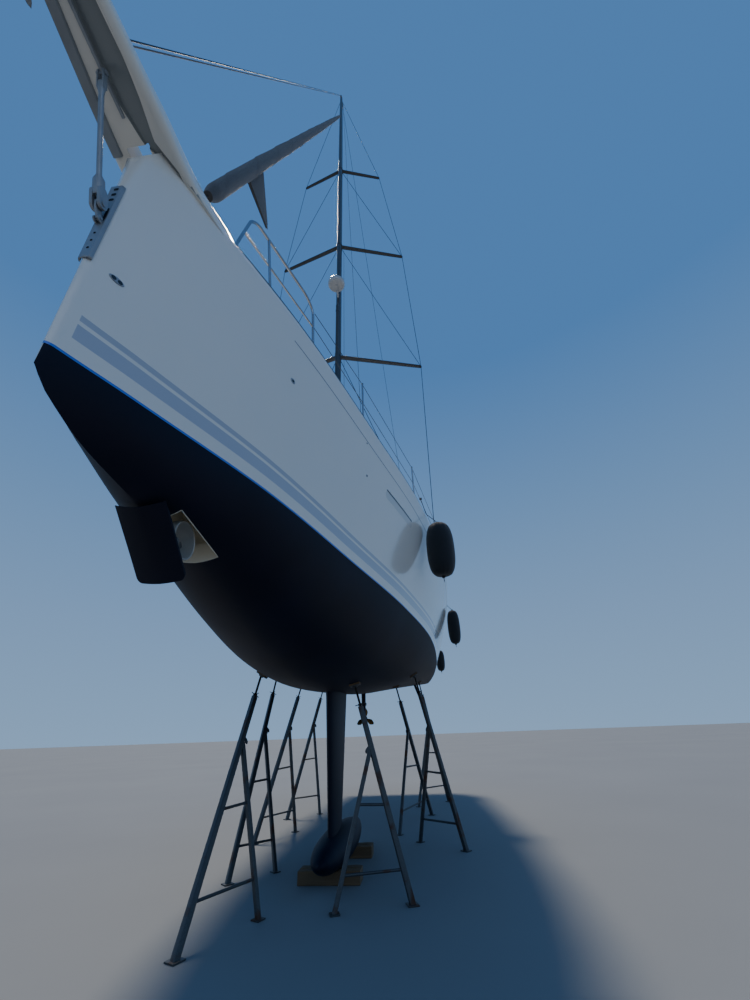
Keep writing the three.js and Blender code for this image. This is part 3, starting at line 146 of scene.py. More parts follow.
def start_material(name, colour, roughness, metallic=0, ior=1.5, **more):
    material = bpy.data.materials.new(name)
    material.use_nodes = True
    tree = material.node_tree
    shader = tree.nodes["Principled BSDF"]
    values = {"Base Color": linear(colour), "Roughness": roughness, "Metallic": metallic, "IOR": ior}
    for socket, value in {**values, **more}.items():
        shader.inputs[socket.replace("_", " ")].default_value = value
    return material, tree, shader


def place_of(tree):
    return add_node(tree, "ShaderNodeTexCoord").outputs["Object"]


def noise(tree, size, detail=2, stretch=(1, 1, 1)):
    """Cloudy values from 0 to 1, whose patches are about that size in metres."""
    scaled = add_node(
        tree, "ShaderNodeVectorMath", {0: place_of(tree), 1: stretch}, operation="MULTIPLY"
    )
    texture = add_node(
        tree, "ShaderNodeTexNoise", {"Vector": scaled.outputs[0], "Scale": 0.5 / size, "Detail": detail}
    )
    return texture.outputs["Fac"]


def mix(tree, share, first, second):
    """A colour between two, by a share from 0 to 1."""
    colours = {6: first, 7: second}
    inputs = {0: share, **{i: linear(c) if isinstance(c, str) else c for i, c in colours.items()}}
    return add_node(tree, "ShaderNodeMix", inputs, data_type="RGBA").outputs[2]


def spread(tree, value, low, high, to_low=0.0, to_high=1.0):
    """A value between low and high, moved to another range and held at its ends."""
    inputs = {"Value": value, "From Min": low, "From Max": high, "To Min": to_low, "To Max": to_high}
    return add_node(tree, "ShaderNodeMapRange", inputs).outputs[0]


def raise_surface(tree, shader, height, depth, strength=0.5):
    bump = add_node(tree, "ShaderNodeBump", {"Height": height, "Distance": depth, "Strength": strength})
    tree.links.new(bump.outputs[0], shader.inputs["Normal"])


# %% [markdown]
# **Gelcoat.** The topsides are polyester gelcoat, moulded against a polished tool and then waxed, so the
# white is glossy under a thin clear layer, with a faint long ripple where the laminate shrank back. The
# stripes follow level lines, so their edges are heights above the waterline.

# %% Gelcoat with its stripes
# lower edge and upper edge above the waterline in metres, colour
STRIPES = [
    (0.108, 0.2, "#b0b6c3"),
    (0.224, 0.262, "#b1b5bf"),
]
STRIPE_START = 0.07
BOOT_LINE = (-0.002, 0.014, "#2a6fd6")
SHARP = 0.0008


def within(tree, height, low, high):
    """1 between two heights, 0 outside them, with a crisp edge."""
    above = spread(tree, height, low - SHARP, low + SHARP)
    below = spread(tree, height, high - SHARP, high + SHARP, 1, 0)
    return add_node(tree, "ShaderNodeMath", {0: above, 1: below}, operation="MULTIPLY").outputs[0]


def make_hull_gelcoat():
    material, tree, shader = start_material(
        "polished_gelcoat", "#e9e5dc", 0.16, ior=1.52, Coat_Weight=0.5, Coat_Roughness=0.06
    )
    axes = add_node(tree, "ShaderNodeSeparateXYZ", {0: place_of(tree)})
    height = axes.outputs["Z"]
    colour = mix(tree, noise(tree, 1.2), "#e4e0d7", "#ece9e2")
    behind_stem = spread(tree, axes.outputs["X"], STEM_X - STRIPE_START, STEM_X - STRIPE_START - 0.002)
    for low, high, stripe in STRIPES:
        band = within(tree, height, WATERLINE_Z + low, WATERLINE_Z + high)
        band = add_node(tree, "ShaderNodeMath", {0: band, 1: behind_stem}, operation="MULTIPLY")
        colour = mix(tree, band.outputs[0], colour, stripe)
    low, high, blue = BOOT_LINE
    colour = mix(tree, within(tree, height, WATERLINE_Z + low, WATERLINE_Z + high), colour, blue)
    tree.links.new(colour, shader.inputs["Base Color"])
    raise_surface(tree, shader, noise(tree, 0.9, 1), 0.002, 0.35)
    return material


hull_gelcoat = make_hull_gelcoat()

# %% [markdown]
# **The other plain finishes.** Each starts from typical values for its material. Antifouling paint is
# rolled on and matt, a blue that is almost black, with worn patches in it. Stainless steel and
# bronze are metals with a soft polish, spars are painted aluminium, canvas is acrylic yarn with a weave
# of about a millimetre that is drawn four times coarser so that it shows, timber has long grain, and
# galvanised steel has spangles a centimetre wide that weather to a dull grey.

# %% Finishes by the record's slots
def make_antifouling(name="antifouling_paint", fresh="#04071c", worn="#0a1026", shine=0.3):
    material, tree, shader = start_material(name, fresh, 0.62, ior=1.45, Specular_IOR_Level=shine)
    patches = spread(tree, noise(tree, 0.4, 6), 0.4, 0.75)
    tree.links.new(mix(tree, patches, fresh, worn), shader.inputs["Base Color"])
    raise_surface(tree, shader, noise(tree, 0.006, 3), 0.001, 0.5)
    return material


def make_deck_gelcoat():
    material, tree, shader = start_material("nonslip_gelcoat", "#e2dfd5", 0.55, ior=1.52)
    tree.links.new(mix(tree, noise(tree, 0.8, 4), "#dcd9cf", "#e8e5dc"), shader.inputs["Base Color"])
    scale = {"Vector": place_of(tree), "Scale": 160}
    dots = add_node(tree, "ShaderNodeTexVoronoi", scale).outputs["Distance"]
    raise_surface(tree, shader, dots, 0.0012, 0.5)
    return material


def make_smooth_gelcoat(name="smooth_gelcoat", colour="#eceae4"):
    material, tree, shader = start_material(name, colour, 0.22, ior=1.52, Coat_Weight=0.3)
    raise_surface(tree, shader, noise(tree, 0.4, 1), 0.0015, 0.3)
    return material


def make_metal(name, colour, dark, roughness, patch=0.05, depth=0.0003, metallic=1.0):
    material, tree, shader = start_material(name, colour, roughness, metallic=metallic)
    patches = noise(tree, patch, 5)
    tree.links.new(mix(tree, patches, colour, dark), shader.inputs["Base Color"])
    tree.links.new(
        spread(tree, patches, 0.2, 0.8, roughness * 0.8, roughness * 1.35), shader.inputs["Roughness"]
    )
    raise_surface(tree, shader, noise(tree, 0.01, 4), depth, 0.4)
    return material


def make_wire_rope():
    """Nineteen-strand wire: the lay is drawn as slanted ridges, coarser than the real two millimetres."""
    # The grey is darker than bright stainless: painted shade of wire seen against the light.
    material, tree, shader = start_material("stainless_wire_rope_painted_shade", "#4a4d50", 0.55, metallic=0.7)
    scale = {"Vector": place_of(tree), "Scale": 90, "Distortion": 0}
    wave = add_node(tree, "ShaderNodeTexWave", scale, bands_direction="DIAGONAL").outputs["Fac"]
    tree.links.new(mix(tree, wave, "#3c3f43", "#53565a"), shader.inputs["Base Color"])
    raise_surface(tree, shader, wave, 0.0003, 0.3)
    return material


def make_spar_paint():
    material, tree, shader = start_material(
        "painted_aluminium_spar", "#34373d", 0.38, ior=1.5, Coat_Weight=0.15
    )
    tree.links.new(mix(tree, noise(tree, 0.3, 5), "#2d3035", "#3b3f45"), shader.inputs["Base Color"])
    raise_surface(tree, shader, noise(tree, 0.012, 3, (1, 1, 0.1)), 0.0006, 0.4)
    return material


def make_canvas(name, first, second, weave=0.004):
    material, tree, shader = start_material(name, first, 0.9, Sheen_Weight=0.3)
    tree.links.new(mix(tree, noise(tree, 0.3, 5), first, second), shader.inputs["Base Color"])
    crossed = None
    for direction in ("X", "Z"):
        scale = {"Vector": place_of(tree), "Scale": 0.3 / weave, "Distortion": 0.4}
        wave = add_node(tree, "ShaderNodeTexWave", scale, bands_direction=direction).outputs["Fac"]
        if crossed is not None:
            wave = add_node(tree, "ShaderNodeMath", {0: crossed, 1: wave}, operation="MAXIMUM").outputs[0]
        crossed = wave
    folds = add_node(
        tree, "ShaderNodeMath", {0: noise(tree, 0.12, 3), 1: 6.0}, operation="MULTIPLY"
    ).outputs[0]
    height = add_node(tree, "ShaderNodeMath", {0: crossed, 1: folds}, operation="ADD").outputs[0]
    raise_surface(tree, shader, height, 0.0015, 0.5)
    return material


def make_acrylic_glazing():
    material, tree, shader = start_material(
        "smoked_acrylic", "#14171b", 0.08, ior=1.49, Coat_Weight=0.3
    )
    tree.links.new(spread(tree, noise(tree, 0.3, 4), 0.3, 0.8, 0.06, 0.14), shader.inputs["Roughness"])
    return material


def make_timber():
    material, tree, shader = start_material("rough_sawn_timber", "#6e573c", 0.85)
    grain = noise(tree, 0.03, 5, (1, 0.08, 1))
    tree.links.new(mix(tree, grain, "#4d3b28", "#8a7050"), shader.inputs["Base Color"])
    raise_surface(tree, shader, grain, 0.003, 0.7)
    return material


def make_galvanised(name="weathered_galvanised_steel", light="#54585a", dark="#46494b"):
    material, tree, shader = start_material(name, light, 0.6, metallic=0.55)
    scale = {"Vector": place_of(tree), "Scale": 130}
    spangle = add_node(tree, "ShaderNodeTexVoronoi", scale).outputs["Color"]
    grey = mix(tree, spangle, dark, light)
    rust = spread(tree, noise(tree, 0.12, 7), 0.58, 0.7)
    tree.links.new(mix(tree, rust, grey, "#5f4334"), shader.inputs["Base Color"])
    tree.links.new(spread(tree, rust, 0, 1, 0.5, 0.85), shader.inputs["Roughness"])
    raise_surface(tree, shader, noise(tree, 0.015, 5), 0.0008, 0.5)
    return material


def make_carbon():
    material, tree, shader = start_material("lacquered_carbon", "#17181a", 0.25, Coat_Weight=0.6)
    scale = {"Vector": place_of(tree), "Scale": 220}
    checks = add_node(
        tree, "ShaderNodeTexChecker", {**scale, "Color1": linear("#0f1012"), "Color2": linear("#26282c")}
    )
    tree.links.new(checks.outputs["Color"], shader.inputs["Base Color"])
    return material


FINISHES = {
    "topsides": make_smooth_gelcoat(),
    "deck": make_deck_gelcoat(),
    "glazing": make_acrylic_glazing(),
    # The keel's copy of the antifouling is darker than the bottom's: painted shade.
    "keel_iron": make_antifouling("keel_antifouling_painted_shade", "#02030a", "#04060e", 0.1),
    "antifouling": make_antifouling(),
    "drive_alloy": make_metal("cast_aluminium", "#a3a6a8", "#6f7274", 0.5, 0.08, 0.0008),
    "bronze": make_metal("manganese_bronze", "#8f6f3e", "#4f3f2a", 0.42, 0.04),
    "stainless": make_metal("polished_stainless", "#b9bcc0", "#8d9094", 0.2, 0.1),
    "wire": make_wire_rope(),
    "galvanised": make_galvanised("galvanised_anchor_steel", "#8f9294", "#7b7e80"),
    "spar": make_spar_paint(),
    "sailcloth": make_canvas("acrylic_canvas", "#23262d", "#343842"),
    "white_plastic": make_smooth_gelcoat("moulded_asa_plastic", "#b4b7ba"),
    "carbon": make_carbon(),
    "fender_cover": make_canvas("knitted_polyester_cover", "#101114", "#1d1f24", 0.006),
    "prop_steel": make_galvanised(),
    "timber": make_timber(),
}


def finish_node(name, material):
    node = frame["nodes"][name]
    node.data.materials.clear()
    node.data.materials.append(material)


for part in frame["record"]["subparts"]:
    finish_node(part["node"], FINISHES[part["material_slot"]])
print(len(FINISHES), "finishes on", len(frame["nodes"]), "nodes")

# %% [markdown]
# ## Studio
# The floor is a plain pale slab. The light is soft and comes mostly from behind and above the yacht, as
# the sun does in the photograph, so that the side towards the camera is in open shade.

# %% Floor, sky and lights
FLOOR_HALF, FLOOR_Z = 150, -0.003


def make_floor():
    material, tree, shader = start_material("grey_floor", "#7f8385", 0.8)
    tree.links.new(mix(tree, noise(tree, 2.5, 5), "#797d80", "#868a8c"), shader.inputs["Base Color"])
    mesh = bpy.data.meshes.new("floor")
    corners = [(FLOOR_HALF * x, FLOOR_HALF * y, FLOOR_Z) for x, y in SQUARE]
    mesh.from_pydata(corners, [], [(0, 1, 2, 3)])
    mesh.materials.append(material)
    floor = bpy.data.objects.new("floor", mesh)
    bpy.context.scene.collection.objects.link(floor)


def add_lamp(name, kind, place, way, energy, colour):
    data = bpy.data.lights.new(name, kind)
    data.energy = energy
    data.color = linear(colour)[:3]
    lamp = bpy.data.objects.new(name, data)
    lamp.location = place
    lamp.rotation_mode = "QUATERNION"
    lamp.rotation_quaternion = Vector(way).to_track_quat("-Z", "Y")
    bpy.context.scene.collection.objects.link(lamp)
    return data


def make_sky():
    world = bpy.data.worlds.new("soft_sky")
    world.use_nodes = True
    tree = world.node_tree
    direction = add_node(tree, "ShaderNodeTexCoord").outputs["Generated"]
    height = add_node(tree, "ShaderNodeSeparateXYZ", {0: direction}).outputs["Z"]
    colour = mix(tree, spread(tree, height, -0.05, 0.7), "#9dc0e6", "#568bcb")
    tree.links.new(colour, tree.nodes["Background"].inputs["Color"])
    tree.nodes["Background"].inputs["Strength"].default_value = 0.79
    bpy.context.scene.world = world


make_floor()
make_sky()
high_light = add_lamp("high_light_from_behind", "SUN", (0, 0, 40), (0.43, 0.156, -0.889), 2.9, "#fff1dc")
high_light.angle = math.radians(9)
front_fill = add_lamp("front_fill", "AREA", (24, 10, 14), (-22, -10, -10), 260, "#e9eefc")
front_fill.size = 14

# %% [markdown]
# ## Meshes
# Most pieces here are skins stretched over rings of points, as a builder planks a hull over frames. Two
# helpers do that: one makes an object that rides on its body and is shaded smooth up to a set angle, and
# one joins equal rings into faces. Holes are cut afterwards with plain cutters.

# %% Helpers for meshes
SHARP_ANGLE = 35


def make_piece(name, points, faces, materials, body="yacht", sharp=SHARP_ANGLE, slot=None):
    mesh = bpy.data.meshes.new(name)
    mesh.from_pydata([tuple(p) for p in points], [], faces)
    for material in materials if isinstance(materials, (list, tuple)) else [materials]:
        mesh.materials.append(material)
    piece = bpy.data.objects.new(name, mesh)
    bpy.context.scene.collection.objects.link(piece)
    face_outward(mesh)
    shade(mesh, sharp)
    if body:
        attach(piece, body)
    return piece


def face_outward(mesh):
    work = bmesh.new()
    work.from_mesh(mesh)
    bmesh.ops.remove_doubles(work, verts=work.verts, dist=1e-5)
    bmesh.ops.recalc_face_normals(work, faces=work.faces)
    work.to_mesh(mesh)
    work.free()


def shade(mesh, sharp):
    mesh.polygons.foreach_set("use_smooth", [True] * len(mesh.polygons))
    mesh.set_sharp_from_angle(angle=math.radians(sharp))


def skin(rings, closed=True, caps=True):
    """Points and faces over equal rings; a closed ring comes back to its start."""
    count = len(rings[0])
    points = [p for ring in rings for p in ring]
    faces = []
    for r in range(len(rings) - 1):
        for i in range(count if closed else count - 1):
            a, b = r * count + i, r * count + (i + 1) % count
            faces.append((a, b, b + count, a + count))
    if caps and closed:
        faces.append(tuple(reversed(range(count))))
        faces.append(tuple(range(len(points) - count, len(points))))
    return points, faces


def box_corners(low, high):
    (x0, y0, z0), (x1, y1, z1) = low, high
    return [[Vector((x, y, z)) for y, z in ((y0, z0), (y1, z0), (y1, z1), (y0, z1))] for x in (x0, x1)]


def cut_out(piece, boxes, index):
    """Cuts boxes from a piece; the new walls take the piece's material of that index."""
    cut_with(piece, [skin(box_corners(low, high)) for low, high in boxes], index)


def cut_with(piece, solids, index):
    for number, (points, faces) in enumerate(solids):
        cutter = make_piece(f"cutter_{number}", points, faces, piece.data.materials[:], body=None)
        for polygon in cutter.data.polygons:
            polygon.material_index = index
        modifier = piece.modifiers.new("cut", "BOOLEAN")
        modifier.operation = "DIFFERENCE"
        modifier.solver = "EXACT"
        modifier.object = cutter
        apply_modifiers(piece)
        bpy.data.objects.remove(cutter)
    shade(piece.data, SHARP_ANGLE)


def apply_modifiers(piece):
    bpy.context.view_layer.update()
    changed = bpy.data.meshes.new_from_object(piece.evaluated_get(bpy.context.evaluated_depsgraph_get()))
    piece.modifiers.clear()
    piece.data = changed


# %% [markdown]
# Wires, rails and legs are round tubes along a path. A bent rail is drawn as a few corners, and each
# corner is rounded to the radius of the bender that made it. Turned fittings, such as a winch or a
# turnbuckle, are a profile spun round an axis.

# %% Tubes, bends and turned shapes
def rounded(corners, radius, steps=6):
    """The same path with each inner corner replaced by an arc."""
    path = [Vector(corners[0])]
    for before, corner, after in zip(corners, corners[1:], corners[2:]):
        into, out = (Vector(before) - corner), (Vector(after) - corner)
        reach = min(radius, into.length * 0.45, out.length * 0.45)
        start, end = corner + into.normalized() * reach, corner + out.normalized() * reach
        for i in range(steps + 1):
            t = i / steps
            path.append((1 - t) ** 2 * start + 2 * t * (1 - t) * Vector(corner) + t**2 * end)
    path.append(Vector(corners[-1]))
    return path


def directions(path):
    """The way that a path runs at each of its points."""
    last = len(path) - 1
    return [(path[min(i + 1, last)] - path[max(i - 1, 0)]).normalized() for i in range(last + 1)]


def tube_rings(path, radius, sides=12, flatten=1.0, start_side=None):
    radii = radius if isinstance(radius, (list, tuple)) else [radius] * len(path)
    side = start_side or UP
    rings = []
    for point, along, r in zip(path, directions(path), radii):
        if abs(side.dot(along)) > 0.98:
            side = PORTWARD
        side = (side - along * side.dot(along)).normalized()
        other = along.cross(side)
        angles = round_angles(sides)
        rings.append([point + r * (math.cos(a) * side + flatten * math.sin(a) * other) for a in angles])
    return rings


def tube(path, radius, sides=12, flatten=1.0):
    return skin(tube_rings([Vector(p) for p in path], radius, sides, flatten))


def turned(profile, base, axis, sides=24):
    """A closed profile of (radius, height) spun round an axis that starts at a point."""
    axis = Vector(axis).normalized()
    side = UP if abs(axis.z) < 0.9 else AHEAD
    side = (side - axis * side.dot(axis)).normalized()
    other = axis.cross(side)
    angles = round_angles(sides)
    return skin(
        [
            [
                Vector(base) + axis * h + max(r, 1e-4) * (math.cos(a) * side + math.sin(a) * other)
                for a in angles
            ]
            for r, h in profile
        ]
    )


def block(low, high):
    return skin(box_corners(low, high))


def together(*meshes):
    """Several (points, faces) pairs as one."""
    points, faces = [], []
    for some_points, some_faces in meshes:
        start = len(points)
        points += some_points
        faces += [tuple(i + start for i in face) for face in some_faces]
    return points, faces


def soften(piece, width, segments=2, angle=40):
    """Rounds a piece's edges, as a file or a mould does."""
    bevel = piece.modifiers.new("rounding", "BEVEL")
    bevel.width = width
    bevel.segments = segments
    bevel.limit_method = "ANGLE"
    bevel.angle_limit = math.radians(angle)
    bevel.harden_normals = True
    apply_modifiers(piece)


def foil_ring(leading, trailing, thickness, points=28):
    """A ring round a streamlined section; the thickness vector is as long as the section is thick."""
    leading, trailing, thickness = Vector(leading), Vector(trailing), Vector(thickness)
    ring = []
    for k in range(points):
        angle = 2 * math.pi * (k + 0.5) / points
        s = (1 - math.cos(angle)) / 2
        half = 5 * (0.297 * math.sqrt(s) - 0.126 * s - 0.352 * s**2 + 0.284 * s**3 - 0.1 * s**4)
        ring.append(leading.lerp(trailing, s) + thickness * math.copysign(half, math.sin(angle)))
    return ring


def smooth_rows(rows, steps):
    """More rows between those of a table, on a smooth curve through each column."""
    last = len(rows) - 1
    finer = []
    for i in range(last):
        before, start, end, after = rows[max(i - 1, 0)], rows[i], rows[i + 1], rows[min(i + 2, last)]
        span = end[0] - start[0]
        for k in range(steps):
            t = k / steps
            row = []
            for column in range(len(start)):
                slope_in = (end[column] - before[column]) / (end[0] - before[0])
                slope_out = (after[column] - start[column]) / (after[0] - start[0])
                straight = lerp(start[column], end[column], t * t * (3 - 2 * t))
                row.append(straight + t * (t - 1) * span * ((t - 1) * slope_in + t * slope_out))
            finer.append(row)
    return [*finer, list(rows[-1])]


# %% [markdown]
# ## Hull
# The hull is faired: every section is a smooth arc up to the waterline and a slightly bowed topside
# above it, and the stations are joined by smooth curves. The same measures as the solid's are used here,
# over three times as many rings, so that long reflections run clean along the side.

# %% The hull's lines
HULL_STATIONS = [
    # aft of the stem, half-breadth at the deck and at the waterline, depth of the keel line below the
    # waterline, height of the sheer above it, rise of the floor, fullness, bulge
    (0, 0.038, 0.016, 0.12, 1.84, 0.8, 1, 0),
    (0.09, 0.08, 0.048, 0.195, 1.836, 0.6, 1, 0.001),
    (0.4, 0.225, 0.165, 0.305, 1.822, 0.38, 1.1, 0.005),
    (1.5, 0.67, 0.54, 0.452, 1.772, 0.03, 0.62, 0.01),
    (3, 1.15, 0.9, 0.754, 1.695, 0.03, 0.82, 0.025),
    (5, 1.72, 1.35, 0.98, 1.615, 0.14, 1.15, 0.045),
    (7.5, 2.17, 1.75, 0.94, 1.545, 0.12, 1.28, 0.06),
    (10.5, 2.37, 1.93, 0.75, 1.49, 0.3, 1.3, 0.06),
    (13.5, 2.35, 1.93, 0.51, 1.46, 0.42, 1.2, 0.05),
    (16, 2.22, 1.82, 0.27, 1.45, 0.45, 1.1, 0.04),
    (HULL_LENGTH, 2.13, 1.73, 0.12, 1.45, 0.45, 1.1, 0.04),
]
DECK, WATER, DEPTH, SHEER, RISE, FULLNESS, BULGE = range(1, 8)


def station(column, aft):
    """One column of the table at any place along the hull, on a smooth curve through its rows."""
    rows = HULL_STATIONS
    last = len(rows) - 1
    i = max(k for k in range(last) if k == 0 or aft > rows[k][0])

    def slope(k):
        low, high = rows[max(k - 1, 0)], rows[min(k + 1, last)]
        return (high[column] - low[column]) / (high[0] - low[0])

    span = rows[i + 1][0] - rows[i][0]
    t = (aft - rows[i][0]) / span
    straight = lerp(rows[i][column], rows[i + 1][column], t * t * (3 - 2 * t))
    return straight + t * (t - 1) * span * ((t - 1) * slope(i) + t * slope(i + 1))


def side_half(aft, up):
    """Half-breadth of the topsides at a height."""
    water, deck = station(WATER, aft), station(DECK, aft)
    t = (up - WATERLINE_Z) / station(SHEER, aft)
    middle = (water + deck) / 2 + station(BULGE, aft)
    return (1 - t) ** 2 * water + 2 * t * (1 - t) * middle + t**2 * deck


def half_section(aft, bottom_steps=20, top_steps=14):
    water, depth, sheer = (station(c, aft) for c in (WATER, DEPTH, SHEER))
    middle = (water + station(DECK, aft)) / 2 + station(BULGE, aft)
    drop = depth * (1 - station(RISE, aft))
    bilge = (water - drop * (middle - water) / (sheer / 2), -drop)
    points = []
    for i in range(bottom_steps):
        t = i / bottom_steps
        weights = ((1 - t) ** 2, 2 * station(FULLNESS, aft) * t * (1 - t), t**2)
        y = (weights[1] * bilge[0] + weights[2] * water) / sum(weights)
        z = (-weights[0] * depth + weights[1] * bilge[1]) / sum(weights)
        points.append((y, WATERLINE_Z + z))
    for i in range(top_steps + 1):
        up = WATERLINE_Z + sheer * i / top_steps
        points.append((side_half(aft, up), up))
    return points


def sheer_z(aft):
    return WATERLINE_Z + station(SHEER, aft)


NOSE_LENGTH = 0.032


def nose_share(aft):
    """How wide a section is beside its full width, where the stem's front edge is rounded."""
    return math.sqrt(1 - min(max(0, 1 - aft / NOSE_LENGTH), 0.985) ** 2)


def bow_flare(aft, z):
    """How far the topsides reach out under the sprit, beyond the solid's straight-sided lines."""
    along = min(1, max(0, (0.62 - aft) / 0.45))
    upward = max(0, (z - 4.75) / 0.54)
    return 0.036 * along * along * (3 - 2 * along) * upward**2


def hull_ring(aft):
    half = [((y + bow_flare(aft, z)) * nose_share(aft), z) for y, z in half_section(aft)]
    return [at(aft, y, z) for y, z in half] + [at(aft, -y, z) for y, z in reversed(half[1:])]


HULL_RINGS = 96
nose_places = [NOSE_LENGTH * (1 - math.cos(math.radians(angle))) for angle in range(12, 90, 11)]
side_places = [HULL_LENGTH * (i / HULL_RINGS) ** 1.35 for i in range(1, HULL_RINGS + 1)]
ring_places = [0, *nose_places, *side_places]
print("half-breadth amidships", round(station(DECK, 10.5), 3), "m, sheer there", round(sheer_z(10.5), 3))

# %% [markdown]
# The skin is divided at the waterline, where a ring has a point, so that paint and gelcoat meet in a
# clean line. It is cut where the solid is: the cockpit and companionway from above, the thruster's well
# from below and the platform's recess in the transom. The well is bare cream laminate inside.

# %% The hull's skin with its wells
def cut_box(front, end, half, low, high):
    return (at(end, -half, low), at(front, half, high))


COCKPIT_BOXES = [
    cut_box(11.5, 16.45, 1.3, 4.56, 5.7),
    cut_box(11.5, 16.45, 0.56, 4.16, 5.7),
    cut_box(14.2, 16.45, 1.48, 4.16, 5.7),
    cut_box(10.75, 11.52, 0.33, 4.7, 5.7),
    cut_box(10.75, 11.38, 0.33, 4.2, 5.7),
]
HATCHES = [
    # node, front, end, half width
    ("anchor_locker_lid", 1.5, 2.3, 0.3),
    ("foredeck_hatch", 3.3, 3.95, 0.32),
    ("saloon_hatch", 9.0, 9.5, 0.25),
]
HATCH_FRAME = 0.025
HATCH_BOXES = [
    cut_box(
        front + HATCH_FRAME,
        end - HATCH_FRAME,
        half - HATCH_FRAME,
        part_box(node)[0][2] - 0.264,
        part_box(node)[0][2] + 0.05,
    )
    for node, front, end, half in HATCHES
]
WELL_FRONT, WELL_BACK = cut_box(0.87, 1.61, 0.19, 3.225, 3.6), cut_box(1.11, 1.609, 0.189, 3.13, 3.5)
THRUSTER_DOORWAY = cut_box(1.019, 1.564, 0.163, 2.5, 3.6)
PLATFORM_RECESS = cut_box(HULL_LENGTH - 0.061, HULL_LENGTH + 0.05, 1.15, 3.76, 4.56)
well_laminate = make_smooth_gelcoat("cream_laminate", "#f0e6cd")
antifouling = FINISHES["antifouling"]
hull = make_piece(
    "faired_hull",
    *skin([hull_ring(aft) for aft in ring_places]),
    [hull_gelcoat, FINISHES["deck"], well_laminate, antifouling],
    slot="topsides",
)
for polygon in hull.data.polygons:
    if polygon.center.z < WATERLINE_Z:
        polygon.material_index = 3
cut_out(hull, [*COCKPIT_BOXES, *HATCH_BOXES], index=1)
cut_out(hull, [WELL_FRONT, WELL_BACK, THRUSTER_DOORWAY], index=2)
cut_out(hull, [PLATFORM_RECESS], index=0)


def cut_stem_head(piece):
    """Slopes the top of the stem aft, where an opening in the sprit lets light through."""
    slope = [(-0.2, 5.0), (-0.035, 5.0), (0.165, 5.55), (-0.2, 5.55)]
    wedge = skin([[at(aft, port, z) for aft, z in slope] for port in (-0.2, 0.2)])
    cut_with(piece, [wedge], index=0)


cut_stem_head(hull)
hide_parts("hull")
print("hull", len(hull.data.polygons), "faces")

# %% [markdown]
# ## Keel, rudders and drive
# The fin is a cast foil that carries a torpedo bulb of lead, both faired and painted like the bottom.
# Oval rings along the bulb and foil rings down the fin give the true sections, and a smooth curve
# through the bulb's measures keeps its nose round.

# %% Keel fin and bulb
BULB = [
    # aft of the stem, half width, half height
    (5.88, 0.025, 0.02),
    (5.96, 0.11, 0.085),
    (6.2, 0.195, 0.155),
    (6.7, 0.265, 0.205),
    (7.5, 0.28, 0.219),
    (8.3, 0.225, 0.175),
    (9.0, 0.11, 0.085),
    (9.35, 0.025, 0.018),
]
BULB_CENTRE_Z = 0.33


def oval_ring(aft, port, up, half_width, half_height, points=40):
    angles = round_angles(points)
    return [at(aft, port + half_width * math.cos(a), up + half_height * math.sin(a)) for a in angles]


def across(thickness):
    return Vector((0, thickness, 0))


bulb_rings = [oval_ring(aft, 0, BULB_CENTRE_Z, w, h) for aft, w, h in smooth_rows(BULB, 5)]
bulb = make_piece("lead_bulb", *skin(bulb_rings), antifouling, slot="antifouling")
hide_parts("keel_bulb")
fin_rings = []
for step in range(13):
    t = step / 12
    root_flare = 1 + 0.25 * max(0, 0.12 - t) / 0.12
    tip_flare = 1 + 0.5 * max(0, t - 0.9) / 0.1
    ahead, behind = lerp(6.23, 6.56, t), lerp(8.08, 7.48, t)
    thick = lerp(0.21, 0.11, t) * root_flare * tip_flare
    z = lerp(2.8, BULB_CENTRE_Z, t)
    fin_rings.append(foil_ring(at(ahead, 0, z), at(behind, 0, z), across(thick), 36))
fin = make_piece("keel_foil", *skin(fin_rings), antifouling, slot="antifouling")
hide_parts("keel_fin")
print("bulb", len(bulb.data.polygons), "faces, fin", len(fin.data.polygons))

# %% [markdown]
# Each spade rudder turns on a stock that leaves the hull at right angles to its skin, so the two blades
# stand apart like a V. The blade's root is cut to stay just clear of the hull as it turns.

# %% Two rudders
RUDDER_AFT, RUDDER_PORT, RUDDER_CANT, RUDDER_RAKE, RUDDER_LENGTH = 14.85, 1.23, 20, 6, 1.08
BLADE_ROOT = 0.055


def bottom_z(aft, port):
    return row_at(half_section(aft, 40), abs(port))[0]


def rudder_frame(sign):
    cant, rake = math.radians(RUDDER_CANT), math.radians(RUDDER_RAKE)
    down = Vector(
        (-math.sin(rake), sign * math.sin(cant) * math.cos(rake), -math.cos(cant) * math.cos(rake))
    )
    side = AHEAD.cross(down).normalized()
    top = at(RUDDER_AFT, sign * RUDDER_PORT, bottom_z(RUDDER_AFT, RUDDER_PORT))
    return down, side, down.cross(side).normalized(), top


BLADE = [
    # distance down the stock, chord ahead of it and behind it, thickness
    (BLADE_ROOT, 0.17, 0.38, 0.084),
    (0.4, 0.155, 0.345, 0.074),
    (0.75, 0.135, 0.3, 0.062),
    (0.972, 0.12, 0.26, 0.054),
    (1.045, 0.1, 0.235, 0.042),
    (RUDDER_LENGTH, 0.07, 0.21, 0.02),
]
for side_name, sign in BOTH_SIDES:
    down, side, fore, top = rudder_frame(sign)
    rings = []
    for depth, ahead, behind, thick in smooth_rows(BLADE, 3):
        centre = top + down * depth
        rings.append(foil_ring(centre + fore * ahead, centre - fore * behind, side * thick))
    stock = tube([top + down * (BLADE_ROOT + 0.06), top - down * 0.2], 0.038, 20)
    rudder = make_piece(
        f"spade_rudder_{side_name}",
        *together(skin(rings), stock),
        antifouling,
        body=f"{side_name}_rudder",
        slot="antifouling",
    )
    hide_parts(f"rudder_{side_name}")
print("rudder reaches", round((top + down * RUDDER_LENGTH).z, 2), "m above the ground")

# %% [markdown]
# The engine drives a folding-type bronze propeller through a cast leg under the hull. The leg is a foil
# with a gear case, and the blades are thin foils that twist from a steep root to a flat tip.

